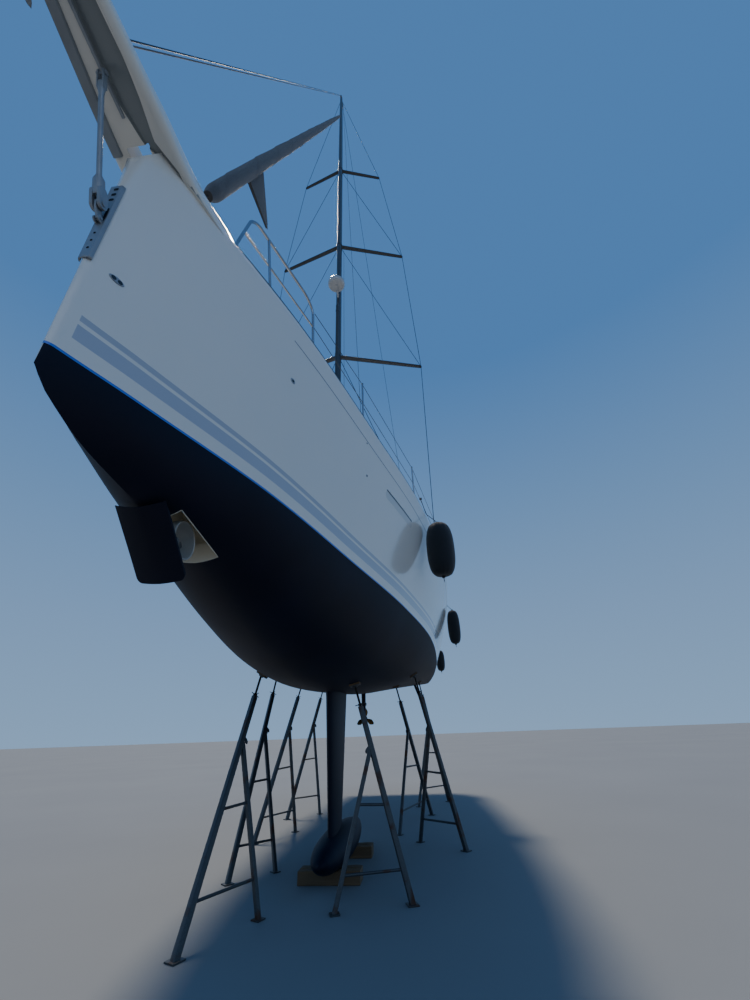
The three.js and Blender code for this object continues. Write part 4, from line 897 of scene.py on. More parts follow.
# %% Drive leg and propellers
DRIVE_AFT, DRIVE_Z = 10.7, 2.15
leg_rings = []
for step in range(9):
    t = step / 8
    ahead, behind = lerp(0.16, 0.13, t), lerp(0.13, 0.11, t)
    z = lerp(2.85, DRIVE_Z, t)
    leg_rings.append(
        foil_ring(at(DRIVE_AFT - ahead, 0, z), at(DRIVE_AFT + behind, 0, z), across(lerp(0.11, 0.09, t)))
    )
GEAR_CASE = [
    (0, 0), (0.02, 0.003), (0.045, 0.03), (0.062, 0.09), (0.068, 0.2), (0.064, 0.29), (0.058, 0.33)
]
gear_case = turned(
    [*GEAR_CASE, (0.024, 0.33), (0.024, 0.25), (0, 0.25)], at(DRIVE_AFT - 0.19, 0, DRIVE_Z), (-1, 0, 0), 28
)
skeg_anode = turned(
    [(0, 0), (0.03, 0.0), (0.034, 0.012), (0.028, 0.022), (0, 0.024)],
    at(DRIVE_AFT - 0.02, 0.043, DRIVE_Z + 0.32),
    PORTWARD,
)
leg = make_piece("sail_drive_leg", *together(skin(leg_rings), gear_case), antifouling, slot="antifouling")
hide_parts("drive_leg")
make_piece("leg_anode", *skeg_anode, FINISHES["drive_alloy"], slot="drive_alloy")


def propeller(centre, axis, blades, radius, hub_radius, hub_length, chord, shaft=0.0):
    """Twisted blades on a hub; the blades start straight up."""
    axis = Vector(axis).normalized()
    hub = turned(
        [
            (0, -hub_length / 2 - shaft),
            (0.018 if shaft else hub_radius * 0.8, -hub_length / 2 - shaft),
            (0.018 if shaft else hub_radius, -hub_length / 2), (hub_radius, -hub_length / 2),
            (hub_radius, hub_length * 0.2), (hub_radius * 0.86, hub_length * 0.36),
            (hub_radius * 0.5, hub_length / 2), (0, hub_length / 2),
        ],
        centre,
        axis,
    )
    blade_rows = [
        # distance from the axis, share of the chord, pitch in degrees
        (hub_radius * 0.6, 0.5, 58),
        (radius * 0.35, 0.8, 46),
        (radius * 0.65, 1, 34),
        (radius, 0.3, 24),
    ]
    meshes = [hub]
    for number in range(blades):
        out = Matrix.Rotation(2 * math.pi * number / blades, 3, axis) @ UP
        around = axis.cross(out)
        rings = []
        for reach, share, pitch in smooth_rows(blade_rows, 4):
            turn = math.radians(pitch)
            blade = axis * math.sin(turn) + around * math.cos(turn)
            middle = Vector(centre) + out * reach
            half = chord * share / 2
            thick = out.cross(blade).normalized() * chord * 0.12 * (1 - 0.6 * reach / radius)
            rings.append(foil_ring(middle + blade * half, middle - blade * half, thick, 16))
        meshes.append(skin(rings))
    return together(*meshes)


screw = make_piece(
    "bronze_propeller",
    *propeller(at(DRIVE_AFT + 0.21, 0, DRIVE_Z), (-1, 0, 0), 3, 0.24, 0.052, 0.13, 0.15, shaft=0.05),
    FINISHES["bronze"],
    body="propeller",
    slot="bronze",
)
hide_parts("propeller")

# %% [markdown]
# ## Bow thruster
# This thruster hides in the hull until it is needed. Its lid is a piece of the hull's own skin, so it is
# made from the same lines, as a patch of skin with an inner face 16 mm above it, and is then swung down
# about the pivot inside the well. The tunnel ring, leg and feet hang on the same pivot.

# %% The lid, swung down
THRUSTER_FRONT, THRUSTER_END, THRUSTER_HALF = 1.055, 1.552, 0.155
PIVOT = at(0.94, 0, 3.42)
SWING = math.radians(34)
LID_THICKNESS, LID_CORNER = 0.016, 0.035


def swung_down(point):
    return Matrix.Translation(PIVOT) @ Matrix.Rotation(-SWING, 4, "Y") @ Matrix.Translation(-PIVOT) @ point


def lid_patch(steps_along=22, steps_across=12):
    """Rings across the lid: along its outer face and back along its inner one."""
    rings = []
    for i in range(steps_along + 1):
        aft = lerp(THRUSTER_FRONT, THRUSTER_END, math.sin(math.pi / 2 * i / steps_along))
        near_end = max(0, 1 - (THRUSTER_END - aft) / LID_CORNER)
        half = THRUSTER_HALF - LID_CORNER * (1 - math.sqrt(1 - near_end**2))
        ports = [lerp(-half, half, k / steps_across) for k in range(steps_across + 1)]
        thick = 0.005 if aft < THRUSTER_FRONT + 0.07 else LID_THICKNESS
        outer = [at(aft, port, bottom_z(aft, port)) for port in ports]
        inner = [p + Vector((0, 0, thick)) for p in reversed(outer)]
        rings.append([swung_down(p) for p in (*outer, *inner)])
    return skin(rings)


lid = make_piece("thruster_lid", *lid_patch(), antifouling, body="thruster", sharp=50, slot="antifouling")
soften(lid, 0.004)

# %% [markdown]
# The tunnel is a short alloy duct with a rolled lip that catches the light. A round gear housing sits in
# its middle, held by a stay, and carries the propeller on its port side.

# %% The tunnel ring, its leg and its propeller
TUNNEL = at(1.205, 0, 3.0)
TUNNEL_RADIUS, TUNNEL_WALL, TUNNEL_HALF = 0.127, 0.012, 0.112
to_pivot = (PIVOT - TUNNEL).normalized()
inner_radius = TUNNEL_RADIUS - TUNNEL_WALL


def duct_profile():
    """Round the wall's section: inside out along the bore, over a rolled lip and back outside."""
    lip = TUNNEL_WALL / 2
    middle = inner_radius + lip
    profile = []
    for end in (-1, 1):
        turn = [math.pi * k / 8 for k in range(9)]
        for angle in turn:
            reach = -math.cos(angle) if end > 0 else math.cos(angle)
            profile.append((middle + lip * reach, end * (TUNNEL_HALF - lip + lip * math.sin(angle))))
    return profile


def closed_turned(profile, base, axis, sides=48):
    """A ring: the profile is spun and its last row joins its first, with no caps."""
    points, faces = turned([*profile, profile[0]], base, axis, sides)
    return points, faces[:-2]


duct = closed_turned(duct_profile(), TUNNEL, PORTWARD)
gear_housing = turned(
    [(0, -0.1), (0.018, -0.095), (0.03, -0.075), (0.034, -0.04), (0.033, -0.008), (0, -0.008)],
    TUNNEL,
    PORTWARD,
    28,
)
stay_foot = TUNNEL - PORTWARD * 0.045
stay = tube([stay_foot, stay_foot + to_pivot * (TUNNEL_RADIUS - 0.004)], 0.013, 14)
leg_foil = [
    foil_ring(place + Vector((0.03, 0, 0)), place - Vector((0.055, 0, 0)), across(0.05))
    for place in (TUNNEL + to_pivot * (TUNNEL_RADIUS - 0.006), TUNNEL + to_pivot * 0.26, PIVOT)
]
barrel = tube([PIVOT - PORTWARD * 0.184, PIVOT + PORTWARD * 0.184], 0.034, 24)
feet = []
for sign in (-1, 1):
    corners = [(1.33, 0.052), (1.33, 0.064), (1.45, 0.064), (1.45, 0.052)]
    upper = [swung_down(at(aft, sign * port, 3.125)) for aft, port in corners]
    lower = [swung_down(at(aft, sign * port, bottom_z(aft, port) + 0.008)) for aft, port in corners]
    feet.append(skin([upper, lower]))
thruster_grey = make_metal(
    "anodised_aluminium_grey", "#b7b6b0", "#9b9b95", 0.5, 0.05, 0.0004, metallic=0.25
)
make_piece(
    "thruster_tunnel",
    *together(duct, gear_housing, stay, skin(leg_foil), barrel, *feet),
    thruster_grey,
    body="thruster",
    slot="antifouling",
)
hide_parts("thruster_unit")
screw = make_piece(
    "thruster_screw",
    *propeller(TUNNEL + PORTWARD * 0.028, PORTWARD, 4, inner_radius - 0.007, 0.031, 0.066, 0.052),
    FINISHES["drive_alloy"],
    body="thruster_propeller",
    slot="drive_alloy",
)
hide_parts("thruster_propeller")
print("tunnel", round(2 * TUNNEL_RADIUS, 3), "m across,", round(2 * TUNNEL_HALF, 3), "m long")

# %% [markdown]
# ## Bow
# The bowsprit is a moulded platform that runs forward from the deck's nose. From below it shows a grey
# beam along its starboard side, a plain panel, a recessed channel and a rounded port rim; the beam's grey
# and the channel's darker grey are painted shade. Its section steps up into the channel, so the light
# shows each part apart, and it is lofted over the same four sections as the solid.

# %% The bowsprit
SPRIT = [
    # forward of the stem, half width at the top and at the underside, height of the underside and top
    (-0.78, 0.3, 0.33, 5.24, 5.45),
    (-0.66, 0.285, 0.325, 5.242, 5.448),
    (-0.53, 0.254, 0.287, 5.245, 5.446),
    (-0.38, 0.224, 0.25, 5.25, 5.444),
    (-0.166, 0.206, 0.225, 5.262, 5.442),
    (0.05, 0.199, 0.214, 5.278, 5.442),
    (0.3, 0.178, 0.192, 5.3, 5.445),
    (SPRIT_REACH - 0.06, 0.118, 0.122, 5.39, 5.475),
]
DECK_EDGE, DECK_CAMBER = 0.04, 0.09


def deck_z(aft, port):
    """Height of the deck's top."""
    half = station(DECK, aft)
    return sheer_z(aft) + DECK_EDGE + DECK_CAMBER * min(1, half / 2) * (1 - (port / half) ** 2)


SPRIT_ROWS = smooth_rows(SPRIT, 8)


def underside_z(ahead):
    return row_at(SPRIT_ROWS, ahead)[2]


CHANNEL = [
    # forward of the stem, starboard side, port side, depth
    (-0.78, 0.322, 0.334, 0.01),
    (-0.66, 0.308, 0.322, 0.012),
    (-0.36, 0.225, 0.243, 0.014),
    (-0.14, 0.128, 0.158, 0.016),
    (0, 0.03, 0.1, 0.022),
    (0.2, -0.009, 0.125, 0.03),
    (0.45, -0.012, 0.135, 0.034),
    (SPRIT_REACH, -0.012, 0.066, 0.034),
]


def channel_at(ahead):
    """Its starboard side, port side and depth; it narrows to a groove beside the hull."""
    return row_at(CHANNEL, ahead)


def sprit_ring(ahead, half, wide, low, high):
    """From the port top edge round the rim, through the channel, over the panel and up to starboard."""
    start, end, depth = channel_at(ahead)
    corner = min(0.05, (high - low) * 0.4)
    arc = [math.pi / 2 * k / 6 for k in range(7)]
    rim = [(wide - corner * (1 - math.cos(a)), low + corner * (1 - math.sin(a))) for a in arc]
    under = [(end + 0.004, low), (end, low + depth), (start + 0.004, low + depth), (start, low)]
    starboard = [
        (-wide + corner * (1 - math.cos(a)), low + corner * (1 - math.sin(a))) for a in reversed(arc)
    ]
    top = [(half - 0.02, high), (half - 0.006, high - 0.006), (half, high - 0.02)]
    ring = top + rim + under + starboard + [(-y, z) for y, z in reversed(top)]
    return [at(-ahead, y, z) for y, z in ring]


sprit_gelcoat = make_smooth_gelcoat("satin_deck_gelcoat", "#e4dfd3")
# The channel's darker grey is painted shade in its recess and in the groove beside the hull.
channel_shade = make_smooth_gelcoat("channel_painted_shade", "#8b908f")
sprit = make_piece(
    "sprit_platform",
    *skin([sprit_ring(*row) for row in SPRIT_ROWS]),
    [sprit_gelcoat, channel_shade],
    sharp=30,
    slot="topsides",
)
# Faces inside the channel's recess take the darker grey, which is painted shade.
for polygon in sprit.data.polygons:
    middle, way = sprit.matrix_world @ polygon.center, polygon.normal
    start, end, depth = channel_at(middle.x - STEM_X)
    over_edge = middle.z - underside_z(middle.x - STEM_X)
    if start < middle.y < end + 0.004 and depth * 0.3 < over_edge < depth + 0.01 and way.z < 0.5:
        polygon.material_index = 1
ROLLER_SLOT = (at(-0.62, -0.045, 5.3), at(-SPRIT_REACH - 0.1, 0.045, 5.6))
STEM_GAP = (at(0.135, -0.091, 5.1), at(0.012, 0.054, 5.6))
cut_out(sprit, [ROLLER_SLOT, STEM_GAP], index=0)
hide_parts("bowsprit")
print("sprit", round(SPRIT_REACH, 2), "m ahead of the stem")

# %% [markdown]
# Stainless pieces sit on it: two cheeks with a nylon roller for the anchor's chain, a tang bar along the
# underside that spreads the bobstay's pull, and the fork where the bobstay ends.

# %% Roller, cheeks and tang bar
steel = FINISHES["stainless"]
dull_steel = make_metal("weathered_stainless", "#a3a7ac", "#84898e", 0.45, 0.06, metallic=0.55)
nylon = make_smooth_gelcoat("black_nylon", "#1b1c1e")
# The side beam's grey is painted shade of the sprit's starboard side.
shaded_beam_grey = make_metal("sprit_beam_painted_shade", "#94999c", "#84898c", 0.5, 0.06, metallic=0.2)


def sprit_half(ahead):
    return row_at(SPRIT_ROWS, ahead)[1]


def strip_under(start, end, port_at, half_width, drop, steps=16):
    """A flat bar that follows the sprit's underside; the port place may follow its width."""
    rings = []
    for k in range(steps + 1):
        ahead = lerp(start, end, k / steps)
        port, z = port_at(ahead), underside_z(ahead)
        rings.append(
            [
                at(-ahead, port - half_width, z + 0.004),
                at(-ahead, port + half_width, z + 0.004),
                at(-ahead, port + half_width * 0.8, z - drop),
                at(-ahead, port - half_width * 0.8, z - drop),
            ]
        )
    return skin(rings)


beam_strip = strip_under(-0.05, 1.0, lambda ahead: -sprit_half(ahead) + 0.048, 0.036, 0.018)
side_beam = make_piece("sprit_side_beam", *beam_strip, shaded_beam_grey, slot="spar")
soften(side_beam, 0.004)
tang_strip = strip_under(0.13, 0.9, lambda ahead: -0.018, 0.011, 0.012)
tang_bar = make_piece("bobstay_tang_bar", *tang_strip, dull_steel, slot="stainless")
soften(tang_bar, 0.002)
roller_z = 5.44
make_piece(
    "chain_roller",
    *turned(
        [
            (0, -0.1), (0.03, -0.1), (0.03, -0.09), (0.016, -0.03), (0.013, 0), (0.016, 0.03),
            (0.03, 0.09), (0.03, 0.1), (0, 0.1),
        ],
        at(-SPRIT_REACH + 0.09, 0, roller_z),
        PORTWARD,
    ),
    nylon,
    slot="white_plastic",
)
cheeks = []
for sign in (-1, 1):
    outline = [
        (0.55, 5.38), (0.95, 5.40), (1.02, 5.41), (1.045, 5.45), (1.02, 5.49), (0.95, 5.505), (0.55, 5.47)
    ]
    sides = [[at(-a, sign * (0.112 + thick), z) for a, z in outline] for thick in (0, 0.006)]
    cheeks.append(skin(sides))
    cheeks.append(
        turned(
            [(0, 0), (0.014, 0), (0.014, 0.008), (0, 0.01)],
            at(-SPRIT_REACH + 0.09, sign * 0.118, roller_z),
            (0, sign, 0),
        )
    )
roller_cheeks = make_piece("roller_cheeks", *together(*cheeks), steel, slot="stainless")
soften(roller_cheeks, 0.0015)

# %% [markdown]
# The stem plate is a stainless strap bent round the stem. It follows the hull's own lines a few
# millimetres outside them. Slots and holes let the bolts and the lug through; they are dark marks on its
# face, painted shade.

# %% Stem plate with its slots and lug
PLATE_TOP, PLATE_LOW, PLATE_WRAP, PLATE_PROUD = 4.74, 4.06, 0.016, 0.008


def plate_ring(z, proud):
    """Round the stem at one height, from the port edge to the starboard one."""
    ring = []
    for k in range(-10, 11):
        aft = PLATE_WRAP * (abs(k) / 10) ** 1.6
        half = max(side_half(aft, z), 0.004)
        edge = proud * (1 if abs(k) < 10 else 0.35)
        out = Vector(
            (1 if abs(k) < 6 else 0.35, 0 if k == 0 else math.copysign(0.4 if abs(k) < 4 else 1, k), 0)
        ).normalized()
        ring.append(at(aft, math.copysign(half, k) if k else 0, z) + out * edge)
    return ring


def make_stem_plate(steps=36):
    heights = [lerp(PLATE_LOW, PLATE_TOP, i / steps) for i in range(steps + 1)]
    outer = skin([plate_ring(z, PLATE_PROUD) for z in heights], closed=False)
    plate = make_piece("stem_strap", *outer, dull_steel, sharp=60, slot="stainless")
    thickness = plate.modifiers.new("thickness", "SOLIDIFY")
    thickness.thickness = 0.007
    thickness.offset = -1
    apply_modifiers(plate)
    return plate


stem_strap = make_stem_plate()
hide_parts("stem_plate")
# The slots' and holes' dark colour is painted shade of the openings.
strap_slot_shade = make_metal("strap_slot_painted_shade", "#2f3133", "#1d1e20", 0.6)


def on_plate(z, share):
    """A point on the strap's front face, at a share of its half width to port."""
    return at(-PLATE_PROUD, side_half(0, z) * share, z)


def slot_mark(z, share, half_length, half_height):
    """A slot or hole on the strap: a dark oval ring a hair above its face, with a bevelled rim; the dark is
    painted shade.
    """
    centre = on_plate(z, share)
    rings = []
    for scale, rise in ((1.25, 0.0004), (1.15, 0.0016), (1.0, 0.0008), (0.6, 0.0006)):
        ring = []
        for k in range(20):
            angle = 2 * math.pi * k / 20
            y = math.copysign(abs(math.cos(angle)) ** 0.6, math.cos(angle)) * half_length * scale
            z_off = math.copysign(abs(math.sin(angle)) ** 0.8, math.sin(angle)) * half_height * scale
            ring.append(centre + PORTWARD * y + UP * z_off + AHEAD * rise)
        rings.append(ring)
    return skin(rings)


marks = [slot_mark(z, 0.25, 0.012, 0.009) for z in (4.7, 4.645, 4.59)]
marks += [slot_mark(z, 0.1, 0.0055, 0.0055) for z in (4.27, 4.205, 4.14)]
marks.append(slot_mark(4.44, 0.62, 0.007, 0.05))
make_piece("stem_strap_slots", *together(*marks), strap_slot_shade, slot="stainless")

# %% [markdown]
# The bobstay is a rod in tension from the sprit to the stem, so it is straight. It has a fork and pin at
# the top and a heavy jaw at its foot, screwed onto the rod to set its length. A tongue between the jaw's
# cheeks pins it to the two lugs of the stem strap.

# %% Bobstay
LUG_Z = 4.372
BOBSTAY_TOP, BOBSTAY_LOW = at(-0.345, 0, 5.255), at(-0.022, 0, LUG_Z)
bobstay_length = (BOBSTAY_LOW - BOBSTAY_TOP).length
bobstay_way = (BOBSTAY_LOW - BOBSTAY_TOP).normalized()
aside = bobstay_way.cross(PORTWARD).normalized()


def on_bobstay(distance):
    return BOBSTAY_TOP + bobstay_way * distance


def flat_bar(start, end, half_width, half_thick, width_way, thick_way, offset=0.0, ends=8):
    """A plate with round ends between two points."""
    along = (end - start).normalized()
    outline = []
    for middle, first in ((end, -math.pi / 2), (start, math.pi / 2)):
        for k in range(ends + 1):
            angle = math.pi * k / ends + first
            outline.append(
                middle + along * half_width * math.cos(angle) + width_way * half_width * math.sin(angle)
            )
    return skin([[p + thick_way * (offset + side * half_thick) for p in outline] for side in (-1, 1)])


def pin(place, axis, half_length, radius):
    head = radius * 1.5
    return turned(
        [
            (0, -half_length - 0.004), (head, -half_length - 0.004), (head, -half_length),
            (radius, -half_length), (radius, half_length), (head, half_length),
            (head, half_length + 0.004), (0, half_length + 0.004),
        ],
        place,
        axis,
        20,
    )


ROD_RADIUS = 0.0145
fork_cheeks = [
    flat_bar(on_bobstay(0.0), on_bobstay(0.1), 0.018, 0.004, aside, PORTWARD, offset=side * 0.017)
    for side in (-1, 1)
]
fork_body = turned(
    [(0, 0.07), (0.02, 0.07), (0.021, 0.085), (0.021, 0.11), (0.017, 0.13), (ROD_RADIUS, 0.15), (0, 0.15)],
    BOBSTAY_TOP,
    bobstay_way,
)
jaw_body = turned(
    [
        (0, bobstay_length - 0.265), (0.018, bobstay_length - 0.265),
        (0.02, bobstay_length - 0.258), (0.02, bobstay_length - 0.25),
        (0.026, bobstay_length - 0.246), (0.03, bobstay_length - 0.235),
        (0.032, bobstay_length - 0.15), (0.028, bobstay_length - 0.135),
        (0, bobstay_length - 0.135),
    ],
    BOBSTAY_TOP,
    bobstay_way,
)
JAW_PIN = bobstay_length - 0.085
jaw_cheeks = [
    flat_bar(
        on_bobstay(bobstay_length - 0.16),
        on_bobstay(JAW_PIN),
        0.03,
        0.009,
        aside,
        PORTWARD,
        offset=side * 0.0225,
    )
    for side in (-1, 1)
]
tongue_way = (at(-0.017, 0, LUG_Z) - on_bobstay(JAW_PIN)).normalized()
tongue_side = tongue_way.cross(PORTWARD).normalized()
tongue_foot = at(-0.02, 0, LUG_Z)
tongue_rings = []
for centre, half_width in (
    (on_bobstay(JAW_PIN - 0.02), 0.02),
    (on_bobstay(JAW_PIN + 0.02), 0.024),
    (tongue_foot, 0.011),
):
    tongue_rings.append([centre + tongue_side * a * half_width + PORTWARD * b * 0.0065 for a, b in SQUARE])
bobstay_tongue = skin(tongue_rings)
bobstay = make_piece(
    "bobstay_rod",
    *together(
        tube([on_bobstay(0.12), on_bobstay(bobstay_length - 0.26)], ROD_RADIUS, 20),
        *fork_cheeks,
        fork_body,
        pin(on_bobstay(0.005), PORTWARD, 0.026, 0.009),
        jaw_body,
        *jaw_cheeks,
        bobstay_tongue,
        pin(on_bobstay(JAW_PIN), PORTWARD, 0.033, 0.009),
        pin(tongue_foot, PORTWARD, 0.0175, 0.005),
    ),
    dull_steel,
    sharp=30,
    slot="stainless",
)
soften(bobstay, 0.002)
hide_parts("bobstay")
lug = [
    flat_bar(
        at(-0.002, 0, LUG_Z), at(-0.022, 0, LUG_Z), 0.02, 0.004, UP, PORTWARD, offset=side * 0.0135
    )
    for side in (-1, 1)
]
stem_lug = make_piece("stem_strap_lug", *together(*lug), dull_steel, slot="stainless")
soften(stem_lug, 0.0015)
print("bobstay", round(bobstay_length, 3), "m between its pins")

# %% [markdown]
# The anchor is galvanised and hangs over the roller, with its plough blade folded back under the sprit.
# It is two hollow-ground cheeks that meet in a keel, and a flat shank.

# %% Anchor
SHANK = [(-0.54, 5.51), (-0.85, 5.512), (-1.04, 5.513), (-1.13, 5.44), (-1.19, 5.27)]
shank_line = rounded([at(aft, 0, z) for aft, z in SHANK], 0.12)
SHANK_CORNERS = ((1, 1), (1, -1), (-1, -1), (-1, 1))
shank_rings = []
for point, along in zip(shank_line, directions(shank_line)):
    up = along.cross(PORTWARD).normalized()
    shank_rings.append([point + up * a * 0.028 + PORTWARD * b * 0.012 for a, b in SHANK_CORNERS])
blade_halves = []
for sign in (-1, 1):
    rows = []
    for k in range(13):
        t = k / 12
        keel = at(lerp(-1.16, -0.675, t), 0, lerp(5.215, 4.872, t))
        bulge = math.sin(math.pi * min(1, t + 0.12)) ** 0.7
        wing = lerp(0.165, 0.012, t**1.4)
        edge = at(lerp(-1.235, -0.69, t), sign * wing, lerp(5.315, 4.882, t))
        middle = (keel + edge) / 2 + Vector((-0.02 * bulge, 0, 0.02 * bulge))
        thick = Vector((0.009, 0, 0.011))
        rows.append([keel, middle, edge, edge + thick * 0.6, middle + thick, keel + thick * 1.4])
    blade_halves.append(skin(rows))
crown = turned(
    [(0, -0.03), (0.03, -0.03), (0.034, -0.024), (0.034, 0.024), (0.03, 0.03), (0, 0.03)],
    at(-SPRIT_REACH - 0.085, 0, 5.248),
    PORTWARD,
)
anchor = make_piece(
    "plough_anchor",
    *together(skin(shank_rings), *blade_halves, crown),
    FINISHES["galvanised"],
    slot="galvanised",
)
soften(anchor, 0.004)
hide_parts("anchor")

# %% [markdown]
# ## Mast and rigging
# The mast is an extruded oval tube, painted dark grey, that tapers near its head. It has a sail track
# up its aft face, and each pair of spreaders grows out of a bracket that wraps the tube.

# %% Mast tube and masthead
MAST_AFT, MAST_TOP_Z = 6.75, 26.25
MAST_LENGTHWISE, MAST_ACROSS = 0.25, 0.15
spar_paint = FINISHES["spar"]
mast_foot_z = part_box("mast")[0][2]


def mast_ring(z, scale, grow=0.0, points=36):
    along, wide = MAST_LENGTHWISE / 2 * scale + grow, MAST_ACROSS / 2 * scale + grow
    angles = round_angles(points)
    return [at(MAST_AFT + along * math.cos(a), wide * math.sin(a), z) for a in angles]


MAST_ROWS = [(mast_foot_z, 1), (20.2, 1), (22.5, 0.94), (24.5, 0.86), (25.5, 0.75), (MAST_TOP_Z, 0.66)]
mast_tube = skin([mast_ring(z, scale) for z, scale in MAST_ROWS])
FOOT_COLLAR = [(0, 0.05), (0.03, 0.05), (0.06, 0.012), (0.16, 0.01)]
foot_collar = skin([mast_ring(mast_foot_z + rise, 1, grow) for rise, grow in FOOT_COLLAR])
track_aft = MAST_AFT + MAST_LENGTHWISE / 2
sail_track = block(at(track_aft + 0.016, -0.017, 7.3), at(track_aft - 0.01, 0.017, 25.2))
masthead_plate = block(
    at(MAST_AFT + 0.23, -0.035, MAST_TOP_Z - 0.06), at(MAST_AFT - 0.11, 0.035, MAST_TOP_Z + 0.03)
)
mast = make_piece(
    "mast_tube",
    *together(mast_tube, foot_collar, sail_track, masthead_plate),
    spar_paint,
    sharp=30,
    slot="spar",
)
GOOSENECK_Z = 6.9
GOOSENECK = at(MAST_AFT + MAST_LENGTHWISE / 2 + 0.07, 0, GOOSENECK_Z)
VANG_Z = 5.98
gooseneck_lugs = [
    flat_bar(at(MAST_AFT + 0.09, 0, z), GOOSENECK + UP * (z - GOOSENECK_Z), 0.033, 0.008, PORTWARD, UP)
    for z in (6.866, 6.934, 5.932)
]


def sheave(place, radius, waist, half):
    """A grooved wheel that turns about a line across the boat."""
    return turned([(0, -half), (radius, -half), (waist, 0), (radius, half), (0, half)], place, PORTWARD)


masthead_gear = [
    tube([at(MAST_AFT + 0.12, 0, MAST_TOP_Z), at(MAST_AFT + 0.12, 0, MAST_TOP_Z + 0.028)], 0.012),
    sheave(at(MAST_AFT + 0.19, 0, MAST_TOP_Z - 0.03), 0.05, 0.04, 0.03),
    sheave(at(MAST_AFT - 0.07, 0, MAST_TOP_Z - 0.03), 0.045, 0.036, 0.03),
]
lugs = make_piece("gooseneck_lugs", *together(*gooseneck_lugs, *masthead_gear), steel, slot="stainless")
soften(lugs, 0.002)
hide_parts("mast")
print("mast", round(MAST_TOP_Z - mast_foot_z, 2), "m above the coachroof")

# %% Spreaders
SWEEP = math.radians(17)
SPREADERS = [
    # name, height, half span, chord at the root
    ("lower", 10.54, 2.15, 0.15),
    ("middle", 15.4, 1.94, 0.135),
    ("upper", 20.1, 1.38, 0.12),
]


def spreader_tip(z, reach, sign):
    return at(MAST_AFT + reach * math.tan(SWEEP), sign * reach, z)


TIP_CAP = [(0, -0.045), (0.014, -0.042), (0.026, -0.03), (0.03, 0)]
TIP_CAP += [(0.026, 0.03), (0.014, 0.042), (0, 0.045)]
SPREADER_ROWS = [
    # share of the reach, share of the chord, thickness
    (0, 1, 0.056),
    (0.3, 0.96, 0.054),
    (0.7, 0.88, 0.05),
    (0.97, 0.78, 0.044),
    (1, 0.7, 0.03),
]
for name, z, reach, chord in SPREADERS:
    meshes = []
    for _, sign in BOTH_SIDES:
        tip, root = spreader_tip(z, reach, sign), at(MAST_AFT + 0.02, 0, z)
        rings = []
        for t, share, thick in SPREADER_ROWS:
            middle = root.lerp(tip, t)
            half = Vector((chord * share / 2, 0, 0))
            rings.append(foil_ring(middle + half, middle - half, Vector((0, 0, thick)), 20))
        meshes.append(skin(rings))
        meshes.append(turned(TIP_CAP, tip, UP, 16))
    grow = [(z - 0.056, 0.004), (z - 0.05, 0.014), (z + 0.05, 0.014), (z + 0.056, 0.004)]
    meshes.append(skin([mast_ring(height, 1, extra) for height, extra in grow]))
    spreaders = make_piece(f"spreader_pair_{name}", *together(*meshes), spar_paint, slot="spar")
    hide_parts(f"spreaders_{name}")
print(len(SPREADERS), "pairs of spreaders")

# %% [markdown]
# Every stay and shroud is 1 x 19 wire set up tight, so each is a straight run between its ends. The
# shrouds bend only at the spreader tips, and end at the deck in a turnbuckle with a fork and a pin.

# %% Shrouds and stays
wire_rope = FINISHES["wire"]
CHAINPLATE_AFT = 7.4
SHROUD_RADIUS = 0.007


def turnbuckle_at(foot, way, scale=1.0):
    """A turnbuckle that stands on its pin at the foot, along the wire."""
    rows = [
        (0, 0.0), (0.012, 0.0), (0.012, 0.06), (0.018, 0.065), (0.02, 0.075), (0.02, 0.225), (0.018, 0.235)
    ]
    rows += [(0.009, 0.24), (0.009, 0.27), (0.0085, 0.32), (0, 0.32)]
    return turned([(r * scale, h * scale) for r, h in rows], foot, way, 18)


def mast_side(z, sign):
    return at(MAST_AFT + 0.02, sign * (MAST_ACROSS / 2 - 0.02), z)


for side_name, sign in BOTH_SIDES:
    tips = [spreader_tip(z, reach, sign) + Vector((0, sign * 0.011, 0)) for _, z, reach, _ in SPREADERS]
    deck_half = station(DECK, CHAINPLATE_AFT)
    outer = at(CHAINPLATE_AFT, sign * (deck_half - 0.125), deck_z(CHAINPLATE_AFT, 2.04))
    inner = outer + Vector((-0.06, 0, 0))
    runs = [
        [outer, *tips, mast_side(MAST_TOP_Z - 0.35, sign)],
        [tips[0], mast_side(SPREADERS[1][1] - 0.11, sign)],
        [tips[1], mast_side(SPREADERS[2][1] - 0.11, sign)],
        [inner, mast_side(SPREADERS[0][1] - 0.11, sign)],
    ]
    outer_way = (tips[0] - outer).normalized()
    inner_way = (runs[3][1] - inner).normalized()
    fittings = [
        turnbuckle_at(outer + outer_way * 0.03, outer_way, 1.15),
        turnbuckle_at(inner + inner_way * 0.03, inner_way),
    ]
    fittings += [
        flat_bar(foot - UP * 0.04, foot + UP * 0.045, 0.022, 0.004, AHEAD, PORTWARD)
        for foot in (outer, inner)
    ]
    wires = [tube(run, SHROUD_RADIUS if i != 1 else 0.006, 10) for i, run in enumerate(runs)]
    shrouds = make_piece(f"shroud_wires_{side_name}", *together(*wires), wire_rope, slot="wire")
    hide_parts(f"shrouds_{side_name}")
    make_piece(f"shroud_turnbuckles_{side_name}", *together(*fittings), steel, sharp=30, slot="stainless")
backstay_meshes, backstay_screws = [], []
for _, sign in BOTH_SIDES:
    foot = at(HULL_LENGTH - 0.33, sign * 1.78, deck_z(HULL_LENGTH - 0.33, 1.78))
    top = at(MAST_AFT + 0.262, sign * 0.018, MAST_TOP_Z - 0.11)
    way = (top - foot).normalized()
    backstay_meshes.append(tube([foot + way * 0.3, top], 0.006, 10))
    backstay_screws.append(turnbuckle_at(foot, way, 1.2))
backstays = make_piece("backstay_wires", *together(*backstay_meshes), wire_rope, slot="wire")
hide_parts("backstays")
